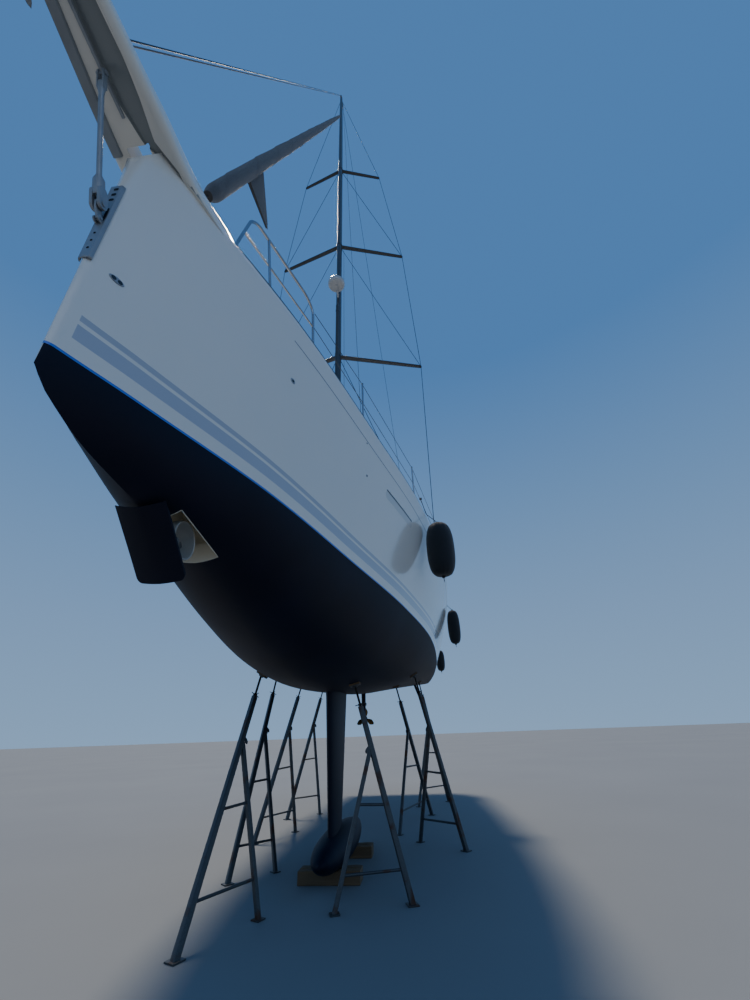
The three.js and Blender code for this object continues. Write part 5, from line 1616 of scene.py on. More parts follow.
tang = block(at(MAST_AFT + 0.29, -0.034, MAST_TOP_Z - 0.15), at(MAST_AFT + 0.225, 0.034, MAST_TOP_Z - 0.03))
make_piece("backstay_turnbuckles", *together(tang, *backstay_screws), steel, sharp=30, slot="stainless")
print("cap shroud", round(sum((b - a).length for a, b in zip(runs[0], runs[0][1:])), 2), "m")

# %% [markdown]
# The inner stay to the sprit shows as two lines close together in the photograph: the wire itself and a
# halyard stowed beside it.

# %% Sprit stay
sprit_stay_foot, sprit_stay_top = at(-0.455, 0, 5.46), at(MAST_AFT - 0.13, 0, MAST_TOP_Z - 0.04)
sprit_stay_way = (sprit_stay_top - sprit_stay_foot).normalized()
stay_wire = tube([sprit_stay_foot + sprit_stay_way * 0.3, sprit_stay_top], 0.006, 10)
sprit_stay = make_piece("sprit_stay_wire", *stay_wire, wire_rope, slot="wire")
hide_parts("sprit_stay")
stay_screw = turnbuckle_at(sprit_stay_foot, sprit_stay_way)
make_piece("sprit_stay_turnbuckle", *stay_screw, steel, sharp=30, slot="stainless")
rope_blue = make_canvas("braided_polyester_rope", "#2c3038", "#474c55", 0.004)
halyard_foot = at(-0.418, 0.02, 5.47)
spare_lines = [
    tube([halyard_foot, at(MAST_AFT - 0.12, 0.03, MAST_TOP_Z - 0.12)], 0.006, 10),
    tube([at(MAST_AFT + 0.06, 0.06, MAST_TOP_Z - 0.2), at(7.05, 0.62, deck_z(7.05, 0) + 0.5)], 0.005, 10),
    tube([at(MAST_AFT + 0.05, 0.13, 15.37), at(MAST_AFT + 0.05, 0.16, 6.2)], 0.004, 8),
]
make_piece("stowed_halyards", *together(*spare_lines), rope_blue, slot="sailcloth")

# %% [markdown]
# The headsail is rolled round its forestay over a drum. The leech winds up the roll as a spiral, so the
# roll is a tube whose radius steps a little along a helix, dark because the sacrificial strip is.

# %% Furled headsail
FORESTAY_FOOT, FORESTAY_TOP = at(0.5, 0, 5.44), at(MAST_AFT - 0.125, 0, 24.25)
forestay_way = (FORESTAY_TOP - FORESTAY_FOOT).normalized()
forestay_length = (FORESTAY_TOP - FORESTAY_FOOT).length
GENOA = [
    # share of the stay, radius of the roll
    (0.034, 0.045), (0.045, 0.078), (0.2, 0.086), (0.4, 0.086), (0.8, 0.066), (0.965, 0.04),
    (0.985, 0.02),
]


def make_furled_headsail(rows_along=300, sides=28, turns=13):
    """Each row of the roll has one raised lap edge, which winds round as the row climbs."""
    rows = smooth_rows(GENOA, 60)
    side = forestay_way.cross(PORTWARD).normalized()
    rings = []
    for i in range(rows_along + 1):
        t = i / rows_along
        share = lerp(GENOA[0][0], GENOA[-1][0], t)
        (radius,) = row_at(rows, share)
        centre = FORESTAY_FOOT + forestay_way * forestay_length * share
        ring = []
        for k in range(sides):
            angle = 2 * math.pi * k / sides
            lap = (angle / (2 * math.pi) - t * turns) % 1
            wrinkle = 0.025 * math.sin(3 * angle + 23 * t) + 0.015 * math.sin(61 * t + 2 * angle)
            r = radius * (0.95 + 0.07 * lap**2 + wrinkle)
            ring.append(centre + r * (math.cos(angle) * side + math.sin(angle) * PORTWARD))
        rings.append(ring)
    return skin(rings)


genoa_cloth = make_canvas("sailcloth_sun_strip", "#2a2c30", "#3a3c40", 0.005)
roll = make_piece("rolled_headsail", *make_furled_headsail(), genoa_cloth, sharp=50, slot="sailcloth")
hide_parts("furled_genoa")
DRUM = [
    # radius, height above the foot of the stay
    (0, -0.05), (0.014, -0.05), (0.014, 0.15), (0.022, 0.155), (0.03, 0.17), (0.075, 0.18),
    (0.078, 0.19), (0.078, 0.2), (0.05, 0.21), (0.045, 0.31), (0.075, 0.325), (0.078, 0.335),
    (0.07, 0.35), (0.028, 0.37), (0.024, 0.55), (0.01, 0.58), (0, 0.58),
]
drum = turned(DRUM, FORESTAY_FOOT, forestay_way, 32)
drum_metal = make_metal("black_anodised_drum", "#3a3d40", "#26282b", 0.4, 0.05)
furler = make_piece("furling_drum", *drum, drum_metal, sharp=30, slot="spar")
forestay = tube([FORESTAY_FOOT + forestay_way * 0.5, FORESTAY_TOP - forestay_way * 0.02], 0.008, 10)
make_piece("forestay_wire", *forestay, wire_rope, slot="wire")
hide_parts("forestay")
print("rolled headsail", round(forestay_length * (GENOA[-1][0] - GENOA[0][0]), 1), "m long")

# %% [markdown]
# The clew is the one corner that stays out of the roll: three layers of cloth with a pressed ring, which
# the sheets hold down and aft.

# %% Clew, ring and sheets
clew_root_low, clew_root_high, clew_tip = at(1.24, 0, 7.52), at(1.46, 0, 8.36), at(1.85, 0, 7.67)


def make_clew(steps=10):
    rings = []
    for i in range(steps + 1):
        t = i / steps
        low = clew_root_low.lerp(clew_tip + Vector((0, 0, -0.04)), t)
        high = clew_root_high.lerp(clew_tip + Vector((0, 0, 0.05)), t**0.85)
        sag = Vector((0, 0.02 * math.sin(math.pi * t), 0))
        out = across(lerp(0.02, 0.009, t))
        middle = (low + high) / 2 + sag
        rings.append([low + out, middle + out, high + out, high - out, middle - out, low - out])
    return skin(rings)


make_piece("headsail_clew", *make_clew(), genoa_cloth, sharp=50, slot="sailcloth")
ring = [
    Vector(clew_tip) + 0.028 * Vector((math.cos(a), 0, math.sin(a)))
    for a in [2 * math.pi * k / 16 for k in range(17)]
]
make_piece("clew_ring", *tube(ring, 0.006, 10), steel, slot="stainless")

# %% [markdown]
# ## Rails
# Pulpit, stanchions and pushpit are bent from polished 28 and 25 mm tube, with welded legs and round
# foot plates. The lifelines run through the stanchions in plastic-covered wire, set up tight.

# %% Pulpit, stanchions and pushpit
RAIL_RADIUS, RAIL_HEIGHT = 0.014, 0.64
polished = FINISHES["stainless"]


def rail_point(aft, inset, height, sign):
    port = station(DECK, aft) - inset
    return at(aft, sign * port, deck_z(aft, port) + height)


def foot_plate(aft, inset, sign):
    base = rail_point(aft, inset, -0.012, sign)
    return turned(
        [(0, 0), (0.034, 0), (0.034, 0.014), (0.031, 0.018), (0.018, 0.02), (0.016, 0.034), (0, 0.034)],
        base,
        UP,
    )


STANCHIONS = [2.93, 4.9, 6.95, 9.0, 11.05, 13.1]
POST_INSET, POST_RADIUS = 0.06, 0.0125
POST_TOP = [(0, 0), (0.0145, 0), (0.0145, 0.012), (0.009, 0.02), (0, 0.021)]
POST_SOCKET = [(0, 0), (0.018, 0), (0.018, 0.07), (0.0135, 0.08), (0, 0.08)]
LIFELINE_START, LIFELINE_END = 1.86, 15.165
covered_wire = make_smooth_gelcoat("vinyl_covered_wire", "#3b3e41")
for side_name, sign in BOTH_SIDES:
    hoop = [(0.74, 0.048, -0.01), (0.845, 0.045, RAIL_HEIGHT - 0.07), (0.915, 0.045, RAIL_HEIGHT)]
    hoop += [(1.64, 0.055, RAIL_HEIGHT - 0.02), (1.755, 0.055, RAIL_HEIGHT - 0.1), (1.79, 0.055, -0.01)]
    hoop = rounded([rail_point(aft, inset, height, sign) for aft, inset, height in hoop], 0.1)
    meshes = [
        tube(hoop, RAIL_RADIUS, 16),
        tube(
            [rail_point(1.15, 0.05, -0.01, sign), rail_point(1.06, 0.05, RAIL_HEIGHT - 0.012, sign)],
            0.0125,
            14,
        ),
        tube([rail_point(0.8, 0.046, 0.33, sign), rail_point(1.774, 0.055, 0.31, sign)], 0.01, 12),
        *[foot_plate(aft, 0.052, sign) for aft in (0.74, 1.15, 1.79)],
    ]
    pulpit = make_piece(f"pulpit_hoop_{side_name}", *together(*meshes), polished, slot="stainless")
    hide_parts(f"pulpit_{side_name}")

    posts = []
    for aft in STANCHIONS:
        low, high, cap, socket = (
            rail_point(aft, POST_INSET, height, sign)
            for height in (-0.01, RAIL_HEIGHT - 0.008, RAIL_HEIGHT - 0.012, 0)
        )
        posts += [
            tube([low, high], POST_RADIUS, 14),
            turned(POST_TOP, cap, UP, 14),
            turned(POST_SOCKET, socket, UP, 16),
            foot_plate(aft, POST_INSET, sign),
        ]
    corner_aft = HULL_LENGTH - 0.12
    corner_port = station(DECK, HULL_LENGTH) - 0.09
    pushpit_path = [
        rail_point(15.15, 0.06, -0.01, sign),
        rail_point(15.17, 0.06, RAIL_HEIGHT - 0.06, sign),
        rail_point(15.26, 0.06, RAIL_HEIGHT, sign),
        rail_point(16.8, 0.075, RAIL_HEIGHT, sign),
        at(corner_aft, sign * corner_port, deck_z(corner_aft, 2.0) + RAIL_HEIGHT),
        at(corner_aft, sign * 1.08, deck_z(corner_aft, 1.0) + RAIL_HEIGHT),
        at(corner_aft, sign * 1.0, deck_z(corner_aft, 1.0) + RAIL_HEIGHT - 0.06),
        at(corner_aft, sign * 1.0, deck_z(corner_aft, 1.0) - 0.01),
    ]
    posts += [
        tube(rounded(pushpit_path, 0.12), RAIL_RADIUS, 16),
        tube(
            [rail_point(16.8, 0.065, -0.01, sign), rail_point(16.8, 0.068, RAIL_HEIGHT - 0.005, sign)],
            RAIL_RADIUS,
            14,
        ),
        tube([rail_point(15.165, 0.06, 0.32, sign), rail_point(16.8, 0.07, 0.32, sign)], 0.01, 12),
        foot_plate(15.15, 0.06, sign),
        foot_plate(16.8, 0.065, sign),
    ]
    rails = make_piece(f"stanchions_{side_name}", *together(*posts), polished, slot="stainless")
    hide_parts(f"rails_{side_name}")
    lines = []
    for height in (RAIL_HEIGHT - 0.015, RAIL_HEIGHT * 0.5):
        stops = [LIFELINE_START, *STANCHIONS, LIFELINE_END]
        path = [rail_point(aft, 0.06, height, sign) for aft in stops]
        path[0] = rail_point(1.79, 0.055, height if height < 0.4 else height - 0.09, sign)
        lines.append(tube(path, 0.004, 8))
    make_piece(f"lifelines_{side_name}", *together(*lines), covered_wire, slot="wire")
print(2 * len(STANCHIONS), "stanchions,", round(LIFELINE_END - LIFELINE_START, 1), "m of lifeline a side")

# %% [markdown]
# ## Deck
# The deck is one moulding with a raised edge, non-slip on its flat parts and smooth on its rounded ones.
# Like the hull it is lofted from rings across, many more than the solid has. The non-slip is a second
# material on the faces that look up and lie clear of the edge, as the pattern is in the mould.

# %% Deck moulding
smooth_white = FINISHES["topsides"]
nonslip = FINISHES["deck"]


def deck_ring(aft):
    half, edge = station(DECK, aft), sheer_z(aft) + 0.0003
    round_off = min(0.02, half * 0.3)
    port = [(half, edge), (half, edge + 0.012), (half, deck_z(aft, half) - 0.012)]
    port += [(half - 0.004, deck_z(aft, half) - 0.003), (half - round_off, deck_z(aft, half - round_off))]
    port += [
        (share * (half - round_off), deck_z(aft, share * (half - round_off)))
        for share in (0.93, 0.8, 0.6, 0.4, 0.2)
    ]
    middle = [at(aft, 0, deck_z(aft, 0))]
    port = [((y + bow_flare(aft, z) * y / half) * nose_share(aft), z) for y, z in port]
    return [at(aft, y, z) for y, z in port] + middle + [at(aft, -y, z) for y, z in reversed(port)]


deck = make_piece(
    "deck_moulding", *skin([deck_ring(aft) for aft in ring_places]), [smooth_white, nonslip], slot="deck"
)
cut_out(deck, [*COCKPIT_BOXES, *HATCH_BOXES], index=0)
cut_stem_head(deck)

# %% [markdown]
# The coachroof grows out of the foredeck as a low wedge. Its sides lean in and turn over to a cambered
# top on a wide radius, so each ring is a curve through the solid's few corners.

# %% Coachroof
COACHROOF = [
    # aft of the stem, half-breadth at the foot and at the top, height of the top above the sheer
    (4.5, 0.32, 0.2, 0.11),
    (5.3, 0.82, 0.62, 0.33),
    (6.6, 1.2, 0.96, 0.44),
    (8.8, 1.4, 1.15, 0.5),
    (11.5, 1.42, 1.18, 0.52),
]
ROOF_CAMBER = 0.06


def curve_through(corners, steps):
    """A smooth run of points through a few corners."""
    points = []
    last = len(corners) - 1
    for i in range(last):
        before, start, end = corners[max(i - 1, 0)], corners[i], corners[i + 1]
        after = corners[min(i + 2, last)]
        for k in range(steps):
            t = k / steps
            pull_in, pull_out = (end - before) / 2, (after - start) / 2
            points.append(
                (2 * t**3 - 3 * t**2 + 1) * start
                + (t**3 - 2 * t**2 + t) * pull_in
                + (3 * t**2 - 2 * t**3) * end
                + (t**3 - t**2) * pull_out
            )
    return [*points, corners[-1]]


def roof_values(aft):
    return row_at(COACHROOF, aft)


def roof_half(aft):
    """Port half of a section, from the foot up to the middle of the roof."""
    foot, top, height = roof_values(aft)
    z = sheer_z(aft)
    foot_height = min(0.02, height * 0.2)
    corners = [
        at(aft, foot, z + foot_height),
        at(aft, (foot + top) / 2 + 0.03, z + height * 0.6),
        at(aft, top, z + height),
        at(aft, top * 0.5, z + height + ROOF_CAMBER * 0.75),
        at(aft, 0, z + height + ROOF_CAMBER),
    ]
    return curve_through(corners, 6)


def mirrored(point):
    return Vector((point.x, -point.y, point.z))


def roof_ring(aft):
    half = roof_half(aft)
    return half + [mirrored(p) for p in reversed(half[:-1])]


ROOF_RINGS, ROOF_LENGTH = 40, 7.003
roof_places = [COACHROOF[0][0] + ROOF_LENGTH * (i / ROOF_RINGS) for i in range(ROOF_RINGS + 1)]
roof = make_piece(
    "coachroof_moulding",
    *skin([roof_ring(aft) for aft in roof_places]),
    [smooth_white, nonslip],
    slot="deck",
)


def top_z(aft):
    """Height of the deck or the roof on the centreline."""
    if aft < COACHROOF[0][0]:
        return deck_z(aft, 0)
    return sheer_z(aft) + roof_values(aft)[2] + ROOF_CAMBER


slide_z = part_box("companion_hatch")[0][2]
COAMING = [
    # aft of the stem, inner side at the foot and at the top, outer side at the top, height
    (10.7, 1.33, 1.4, 1.45, 5.04),
    (11.1, 1.302, 1.355, 1.475, 5.17),
    (11.6, 1.302, 1.34, 1.5, 5.25),
    (14.15, 1.302, 1.34, 1.5, 5.23),
]
COAMING_FOOT_Z = 4.95
coaming_meshes = []
for _, sign in BOTH_SIDES:
    rings = []
    for aft, inner, inner_top, outer, z in COAMING:
        section = [
            (inner, COAMING_FOOT_Z), (inner_top, z), (outer, z), (outer + 0.12, COAMING_FOOT_Z)
        ]
        rings.append([at(aft, sign * port, up) for port, up in section])
    coaming_meshes.append(skin(rings))
coamings = make_piece("cockpit_coamings", *together(*coaming_meshes), smooth_white, slot="deck")
soften(coamings, 0.03, 4)
hatch_frames = []
for node, front, end, half in HATCHES:
    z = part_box(node)[0][2] - 0.004
    hatch_frames.append(block(at(end, -half, z - 0.06), at(front, half, z)))
for _, sign in BOTH_SIDES:
    low, high = at(11.5, sign * 0.372, slide_z - 0.07), at(9.95, sign * 0.402, slide_z + 0.039)
    hatch_frames.append(block((low.x, min(low.y, high.y), low.z), (high.x, max(low.y, high.y), high.z)))
frames = make_piece("hatch_frames", *together(*hatch_frames), smooth_white, slot="deck")
soften(frames, 0.006)
cut_out(roof, [cut_box(10.75, 11.52, 0.331, 4.7, 5.7), *HATCH_BOXES], index=0)
cut_out(frames, HATCH_BOXES, index=0)
for piece in (deck, roof):
    for polygon in piece.data.polygons:
        centre = polygon.center
        aft = STEM_X - centre.x
        inside = abs(centre.y) < station(DECK, min(max(aft, 0.01), HULL_LENGTH)) - 0.11
        on_roof = piece is deck or abs(centre.y) < roof_values(aft)[1] - 0.06
        if polygon.normal.z > 0.9 and inside and on_roof and 0.9 < aft < 17:
            polygon.material_index = 1
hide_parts("foredeck", "aft_deck")
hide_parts("coachroof")
print("deck", len(deck.data.polygons), "faces, roof", len(roof.data.polygons))

# %% [markdown]
# A low toe rail of dark anodised aluminium caps the deck's edge, and the side windows are long panels of
# smoked acrylic glued over the coachroof's sides, which follow its curve a few millimetres proud.

# %% Toe rail and coachroof windows
TOE_RAIL = [(-0.014, -0.008), (0.014, -0.008), (0.012, 0.03), (0.007, 0.036), (-0.007, 0.036)]
TOE_RAIL += [(-0.012, 0.03)]
for side_name, sign in BOTH_SIDES:
    rings = []
    for i in range(90):
        aft = lerp(0.74, HULL_LENGTH - 0.05, (i / 89) ** 1.2)
        half = station(DECK, aft) - 0.026
        z = deck_z(aft, half)
        rings.append([at(aft, sign * (half + y), z + up) for y, up in TOE_RAIL])
    make_piece(f"toe_rail_{side_name}", *skin(rings), drum_metal, sharp=50, slot="spar")


def roof_side(aft, share):
    """A point on the port side of the coachroof: share 0 at the foot, 1 at the turn of the roof."""
    half = roof_half(aft)
    place = share * 12
    i = min(int(place), 11)
    return half[i].lerp(half[i + 1], place - i)


def window_panel(front, end, low, high, sign, proud=0.006, steps=30):
    rings = []
    for i in range(steps + 1):
        t = i / steps
        aft = lerp(front, end, t)
        taper = min(1, 4 * t + 0.15) * min(1, 6 * (1 - t) + 0.4)
        middle = (low + high) / 2
        spread_half = (high - low) / 2 * math.sqrt(taper)
        ring = []
        for k in range(7):
            share = middle + spread_half * (k / 3 - 1)
            here, above = roof_side(aft, share), roof_side(aft, min(share + 0.04, 1))
            outward = (above - here).cross(AHEAD).normalized()
            outward = outward if outward.y > 0 else -outward
            ring.append(here + outward * proud)
        ring += [p - Vector((0, 0.02, 0)) for p in reversed(ring)]
        rings.append([Vector((p.x, sign * p.y, p.z)) for p in ring])
    return skin(rings)


glazing = FINISHES["glazing"]
for side_name, sign in BOTH_SIDES:
    for number, (front, end) in enumerate(((5.55, 7.55), (7.7, 9.3), (9.45, 10.75)), start=1):
        panel = window_panel(front, end, 0.3, 0.78, sign)
        make_piece(f"roof_window_{side_name}_{number}", *panel, glazing, slot="glazing")

# %% [markdown]
# Hatch lids are acrylic in a slim alloy frame, and the anchor locker's lid is a non-slip panel. Each
# rides on its own hinged body, so it is made closed and stays on its own hinge.

# %% Lids, sliding hatch and washboard
hatch_alloy = make_metal("anodised_hatch_frame", "#b4b8ba", "#8d9193", 0.35, 0.08)
LID_BODIES = {
    "anchor_locker_lid": "locker_lid",
    "foredeck_hatch": "foredeck_hatch",
    "saloon_hatch": "saloon_hatch",
}
for node, body in LID_BODIES.items():
    low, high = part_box(node)
    if node == "anchor_locker_lid":
        lid_panel = make_piece("locker_lid_panel", *block(low, high), nonslip, body=body, slot="deck")
        soften(lid_panel, 0.008, 3)
        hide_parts(node)
        latch_place = Vector(((low[0] + high[0]) / 2, high[1] - 0.09, high[2]))
        latch = turned(
            [(0, -0.003), (0.032, -0.003), (0.032, 0.0008), (0.026, 0.0022), (0, 0.0018)],
            latch_place,
            UP,
            28,
        )
        make_piece("locker_lid_latch", *latch, steel, body=body, slot="stainless")
        continue
    rim_width = 0.035
    (x0, y0, z0), (x1, y1, z1) = low, high
    bars = [
        block((x0, y0, z0), (x1, y0 + rim_width, z1)),
        block((x0, y1 - rim_width, z0), (x1, y1, z1)),
        block((x0, y0 + rim_width, z0), (x0 + rim_width, y1 - rim_width, z1)),
        block((x1 - rim_width, y0 + rim_width, z0), (x1, y1 - rim_width, z1)),
    ]
    frame_piece = make_piece(f"{node}_frame", *together(*bars), hatch_alloy, body=body, slot="glazing")
    soften(frame_piece, 0.004)
    pane_low, pane_high = (x0 + 0.03, y0 + 0.03, z0 + 0.008), (x1 - 0.03, y1 - 0.03, z1 - 0.003)
    pane = make_piece(f"{node}_pane", *block(pane_low, pane_high), glazing, body=body, slot="glazing")
    soften(pane, 0.003)
    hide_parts(node)
    handles = []
    for sign in (-1, 1):
        place = Vector((lerp(x0, x1, 0.2), sign * (y1 - 0.09), z0 + 0.004))
        handles.append(turned([(0, -0.012), (0.016, -0.012), (0.016, 0), (0, 0)], place, UP, 16))
    make_piece(f"{node}_handles", *together(*handles), nylon, body=body, slot="glazing")

low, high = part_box("companion_hatch")
slider = make_piece("sliding_hatch", *block(low, high), glazing, body="companion_hatch", slot="glazing")
soften(slider, 0.008, 3)
grip = block((low[0] + 0.02, -0.16, high[2] - 0.004), (low[0] + 0.055, 0.16, high[2] + 0.014))
slider_grip = make_piece("sliding_hatch_grip", *grip, smooth_white, body="companion_hatch", slot="glazing")
soften(slider_grip, 0.005)
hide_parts("companion_hatch")
board = block(at(11.464, -0.325, 4.7), at(11.44, 0.325, slide_z - 0.005))
washboard = make_piece("washboard", *board, glazing, slot="glazing")
soften(washboard, 0.004)

# %% [markdown]
# ## Cockpit
# The footwell, benches and helm floor are laid with teak: planks 50 mm wide with black rubber seams.
# The seams are in the material, as lines across the boat at the real spacing, and the wood between them
# has long grain and has gone silver in the sun. A margin plank runs round each panel.

# %% Teak
PLANK, MARGIN = 0.05, 0.045


def make_teak():
    material, tree, shader = start_material("weathered_teak", "#a08a6c", 0.7)
    side = add_node(tree, "ShaderNodeSeparateXYZ", {0: place_of(tree)}).outputs["Y"]
    step = add_node(tree, "ShaderNodeMath", {0: side, 1: PLANK}, operation="DIVIDE").outputs[0]
    share = add_node(tree, "ShaderNodeMath", {0: step}, operation="FRACT").outputs[0]
    number = add_node(tree, "ShaderNodeMath", {0: step}, operation="FLOOR").outputs[0]
    tone = add_node(tree, "ShaderNodeTexWhiteNoise", {"W": number}, noise_dimensions="1D").outputs["Value"]
    grain = noise(tree, 0.006, 5, (0.06, 1, 1))
    wood = mix(tree, grain, "#8b775c", "#b7a283")
    wood = mix(tree, spread(tree, tone, 0, 1, 0, 0.35), wood, "#8f8474")
    seam = spread(tree, share, 0.9, 0.92)
    tree.links.new(mix(tree, seam, wood, "#17181a"), shader.inputs["Base Color"])
    tree.links.new(spread(tree, seam, 0, 1, 0.7, 0.5), shader.inputs["Roughness"])
    height = add_node(tree, "ShaderNodeMath", {0: grain, 1: seam}, operation="SUBTRACT").outputs[0]
    raise_surface(tree, shader, height, 0.0012, 0.5)
    return material


teak = make_teak()
BENCH_Z, SOLE_Z = 4.56, 4.16
TEAK_PANELS = [
    # name, front, end, inner and outer side, height of the floor below it
    ("footwell", 11.56, 14.14, -0.5, 0.5, SOLE_Z),
    ("helm_floor", 14.26, 16.39, -1.42, 1.42, SOLE_Z),
    ("bench_port", 11.56, 14.14, 0.6, 1.26, BENCH_Z),
    ("bench_starboard", 11.56, 14.14, -1.26, -0.6, BENCH_Z),
]
for name, front, end, inner, outer, z in TEAK_PANELS:
    low, high, rim = z - 0.004, z + 0.01, z + 0.0115
    planks = block(at(end, inner, low), at(front, outer, high))
    panel = make_piece(f"teak_{name}", *planks, teak, slot="deck")
    soften(panel, 0.003)
    edges = [
        block(at(end - MARGIN, inner, low), at(front + MARGIN, inner + MARGIN, rim)),
        block(at(end - MARGIN, outer - MARGIN, low), at(front + MARGIN, outer, rim)),
        block(at(end, inner, low), at(end - MARGIN, outer, rim)),
        block(at(front + MARGIN, inner, low), at(front, outer, rim)),
    ]
    make_piece(f"teak_margin_{name}", *together(*edges), FINISHES["timber"], slot="deck")
print(len(TEAK_PANELS), "teak panels of", PLANK * 1000, "mm planks")

# %% [markdown]
# Two wheels steer through pedestals. A wheel is a carbon rim on five slim spokes, which grow wider
# where they meet the rim, and its pedestal carries a compass.

# %% Wheels and pedestals
HELM_AFT, HELM_PORT, WHEEL_AFT, HUB_Z, RIM_RADIUS, RIM_TUBE = 15.05, 0.95, 15.26, 5.06, 0.48, 0.014
carbon = FINISHES["carbon"]


def level_ring(aft, port, up, half_length, half_width, points=32):
    """A rounded rectangle, level, about a vertical line."""
    ring = []
    for k in range(points):
        a = 2 * math.pi * k / points
        x = math.copysign(abs(math.cos(a)) ** 0.75, math.cos(a)) * half_length
        y = math.copysign(abs(math.sin(a)) ** 0.75, math.sin(a)) * half_width
        ring.append(at(aft + x, port + y, up))
    return ring


def on_wheel(port, angle, radius):
    return at(WHEEL_AFT, port + radius * math.cos(angle), HUB_Z + radius * math.sin(angle))


PEDESTAL = [
    # height, half length, half width
    (SOLE_Z + 0.001, 0.16, 0.14),
    (SOLE_Z + 0.02, 0.16, 0.14),
    (SOLE_Z + 0.03, 0.148, 0.128),
    (4.5, 0.118, 0.11),
    (4.75, 0.108, 0.106),
    (HUB_Z + 0.04, 0.094, 0.118),
    (HUB_Z + 0.11, 0.084, 0.116),
    (HUB_Z + 0.15, 0.066, 0.098),
    (HUB_Z + 0.16, 0.05, 0.08),
]
for side_name, sign in BOTH_SIDES:
    port = sign * HELM_PORT
    rings = [level_ring(HELM_AFT, port, z, length, width) for z, length, width in smooth_rows(PEDESTAL, 3)]
    bearing = turned(
        [
            (0, 0), (0.04, 0), (0.04, 0.14), (0.036, 0.155), (0.02, 0.165), (0.019, 0.165),
            (0.019, 0.08), (0, 0.08),
        ],
        at(HELM_AFT, port, HUB_Z),
        (-1, 0, 0),
        28,
    )
    pedestal = make_piece(
        f"wheel_pedestal_{side_name}", *together(skin(rings), bearing), smooth_white, slot="deck"
    )
    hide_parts(f"pedestal_{side_name}")
    compass = turned(
        [
            (0, 0), (0.055, 0), (0.056, 0.012), (0.05, 0.02), (0.042, 0.04), (0.026, 0.056),
            (0.01, 0.062), (0, 0.063),
        ],
        at(HELM_AFT, port, HUB_Z + 0.158),
        UP,
        28,
    )
    make_piece(f"compass_{side_name}", *compass, glazing, slot="glazing")
    rim_rings = []
    for centre in [on_wheel(port, angle, RIM_RADIUS) for angle in round_angles(72)]:
        out = (centre - at(WHEEL_AFT, port, HUB_Z)).normalized()
        rim_rings.append(
            [centre + RIM_TUBE * (math.cos(a) * out + math.sin(a) * AHEAD) for a in round_angles(14)]
        )
    rim = skin([*rim_rings, rim_rings[0]], caps=False)
    spokes = []
    for number in range(5):
        angle = math.pi / 2 + 2 * math.pi * number / 5
        path = [on_wheel(port, angle, r) for r in (0.03, 0.1, 0.25, 0.4, 0.45, 0.474)]
        spokes.append(tube(path, [0.014, 0.0105, 0.009, 0.0095, 0.012, 0.016], 14, 0.8))
    hub = turned(
        [
            (0, -0.09), (0.015, -0.09), (0.015, -0.04), (0.042, -0.04), (0.044, -0.03),
            (0.044, 0.01), (0.036, 0.024), (0.014, 0.03), (0, 0.03),
        ],
        at(WHEEL_AFT, port, HUB_Z),
        (-1, 0, 0),
        28,
    )
    wheel = make_piece(
        f"steering_wheel_{side_name}",
        *together(rim, *spokes, hub),
        carbon,
        body=f"{side_name}_wheel",
        slot="carbon",
    )
    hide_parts(f"wheel_{side_name}")

# %% [markdown]
# A winch is a waisted drum with a self-tailing jaw on top. The drum is knurled so that the rope grips:
# the profile is spun with many sides, and alternate ones are pressed in by half a millimetre or so.

# %% Winches
WINCH = [
    # radius, height
    (0, -0.02), (0.078, -0.02), (0.078, 0.02), (0.07, 0.03), (0.062, 0.045), (0.057, 0.065),
    (0.055, 0.09), (0.058, 0.112), (0.07, 0.126), (0.073, 0.134), (0.066, 0.14), (0.073, 0.146),
    (0.072, 0.158), (0.05, 0.164), (0.012, 0.165), (0.012, 0.15), (0, 0.15),
]


def winch_mesh(base, scale=1.0):
    points, faces = turned([(r * scale, h * scale) for r, h in WINCH], base, UP, 48)
    knurled = []
    for i, point in enumerate(points):
        row, column = divmod(i, 48)
        if 4 <= row <= 7 and column % 2:
            out = Vector((point.x - base.x, point.y - base.y, 0))
            point = point - out.normalized() * 0.002 * scale
        knurled.append(point)
    return knurled, faces


for side_name, sign in BOTH_SIDES:
    coaming_winch = winch_mesh(at(13.6, sign * 1.425, 5.236))
    winch = make_piece(
        f"primary_winch_{side_name}", *coaming_winch, polished, sharp=30, slot="stainless"
    )
    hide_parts(f"winch_primary_{side_name}")
    roof_winch = winch_mesh(at(11.05, sign * 0.8, top_z(11.05) - 0.034), 0.8)
    make_piece(f"halyard_winch_{side_name}", *roof_winch, polished, sharp=30, slot="stainless")

# %% [markdown]
# ## Boom
# The boom, its covered sail and the vang swing together about the gooseneck. The boom is an oval
# extrusion with a cast end at each side, and a sheave shows in the outer one.

# %% Boom and vang
BOOM_END, BOOM_DEPTH, BOOM_WIDTH = 13.3, 0.23, 0.15
boom_front = STEM_X - GOOSENECK.x


def boom_ring(aft, scale, points=32):
    half_width, half_depth = BOOM_WIDTH / 2 * scale, BOOM_DEPTH / 2 * scale
    angles = round_angles(points)
    return [at(aft, half_width * math.cos(a), GOOSENECK.z + half_depth * math.sin(a)) for a in angles]


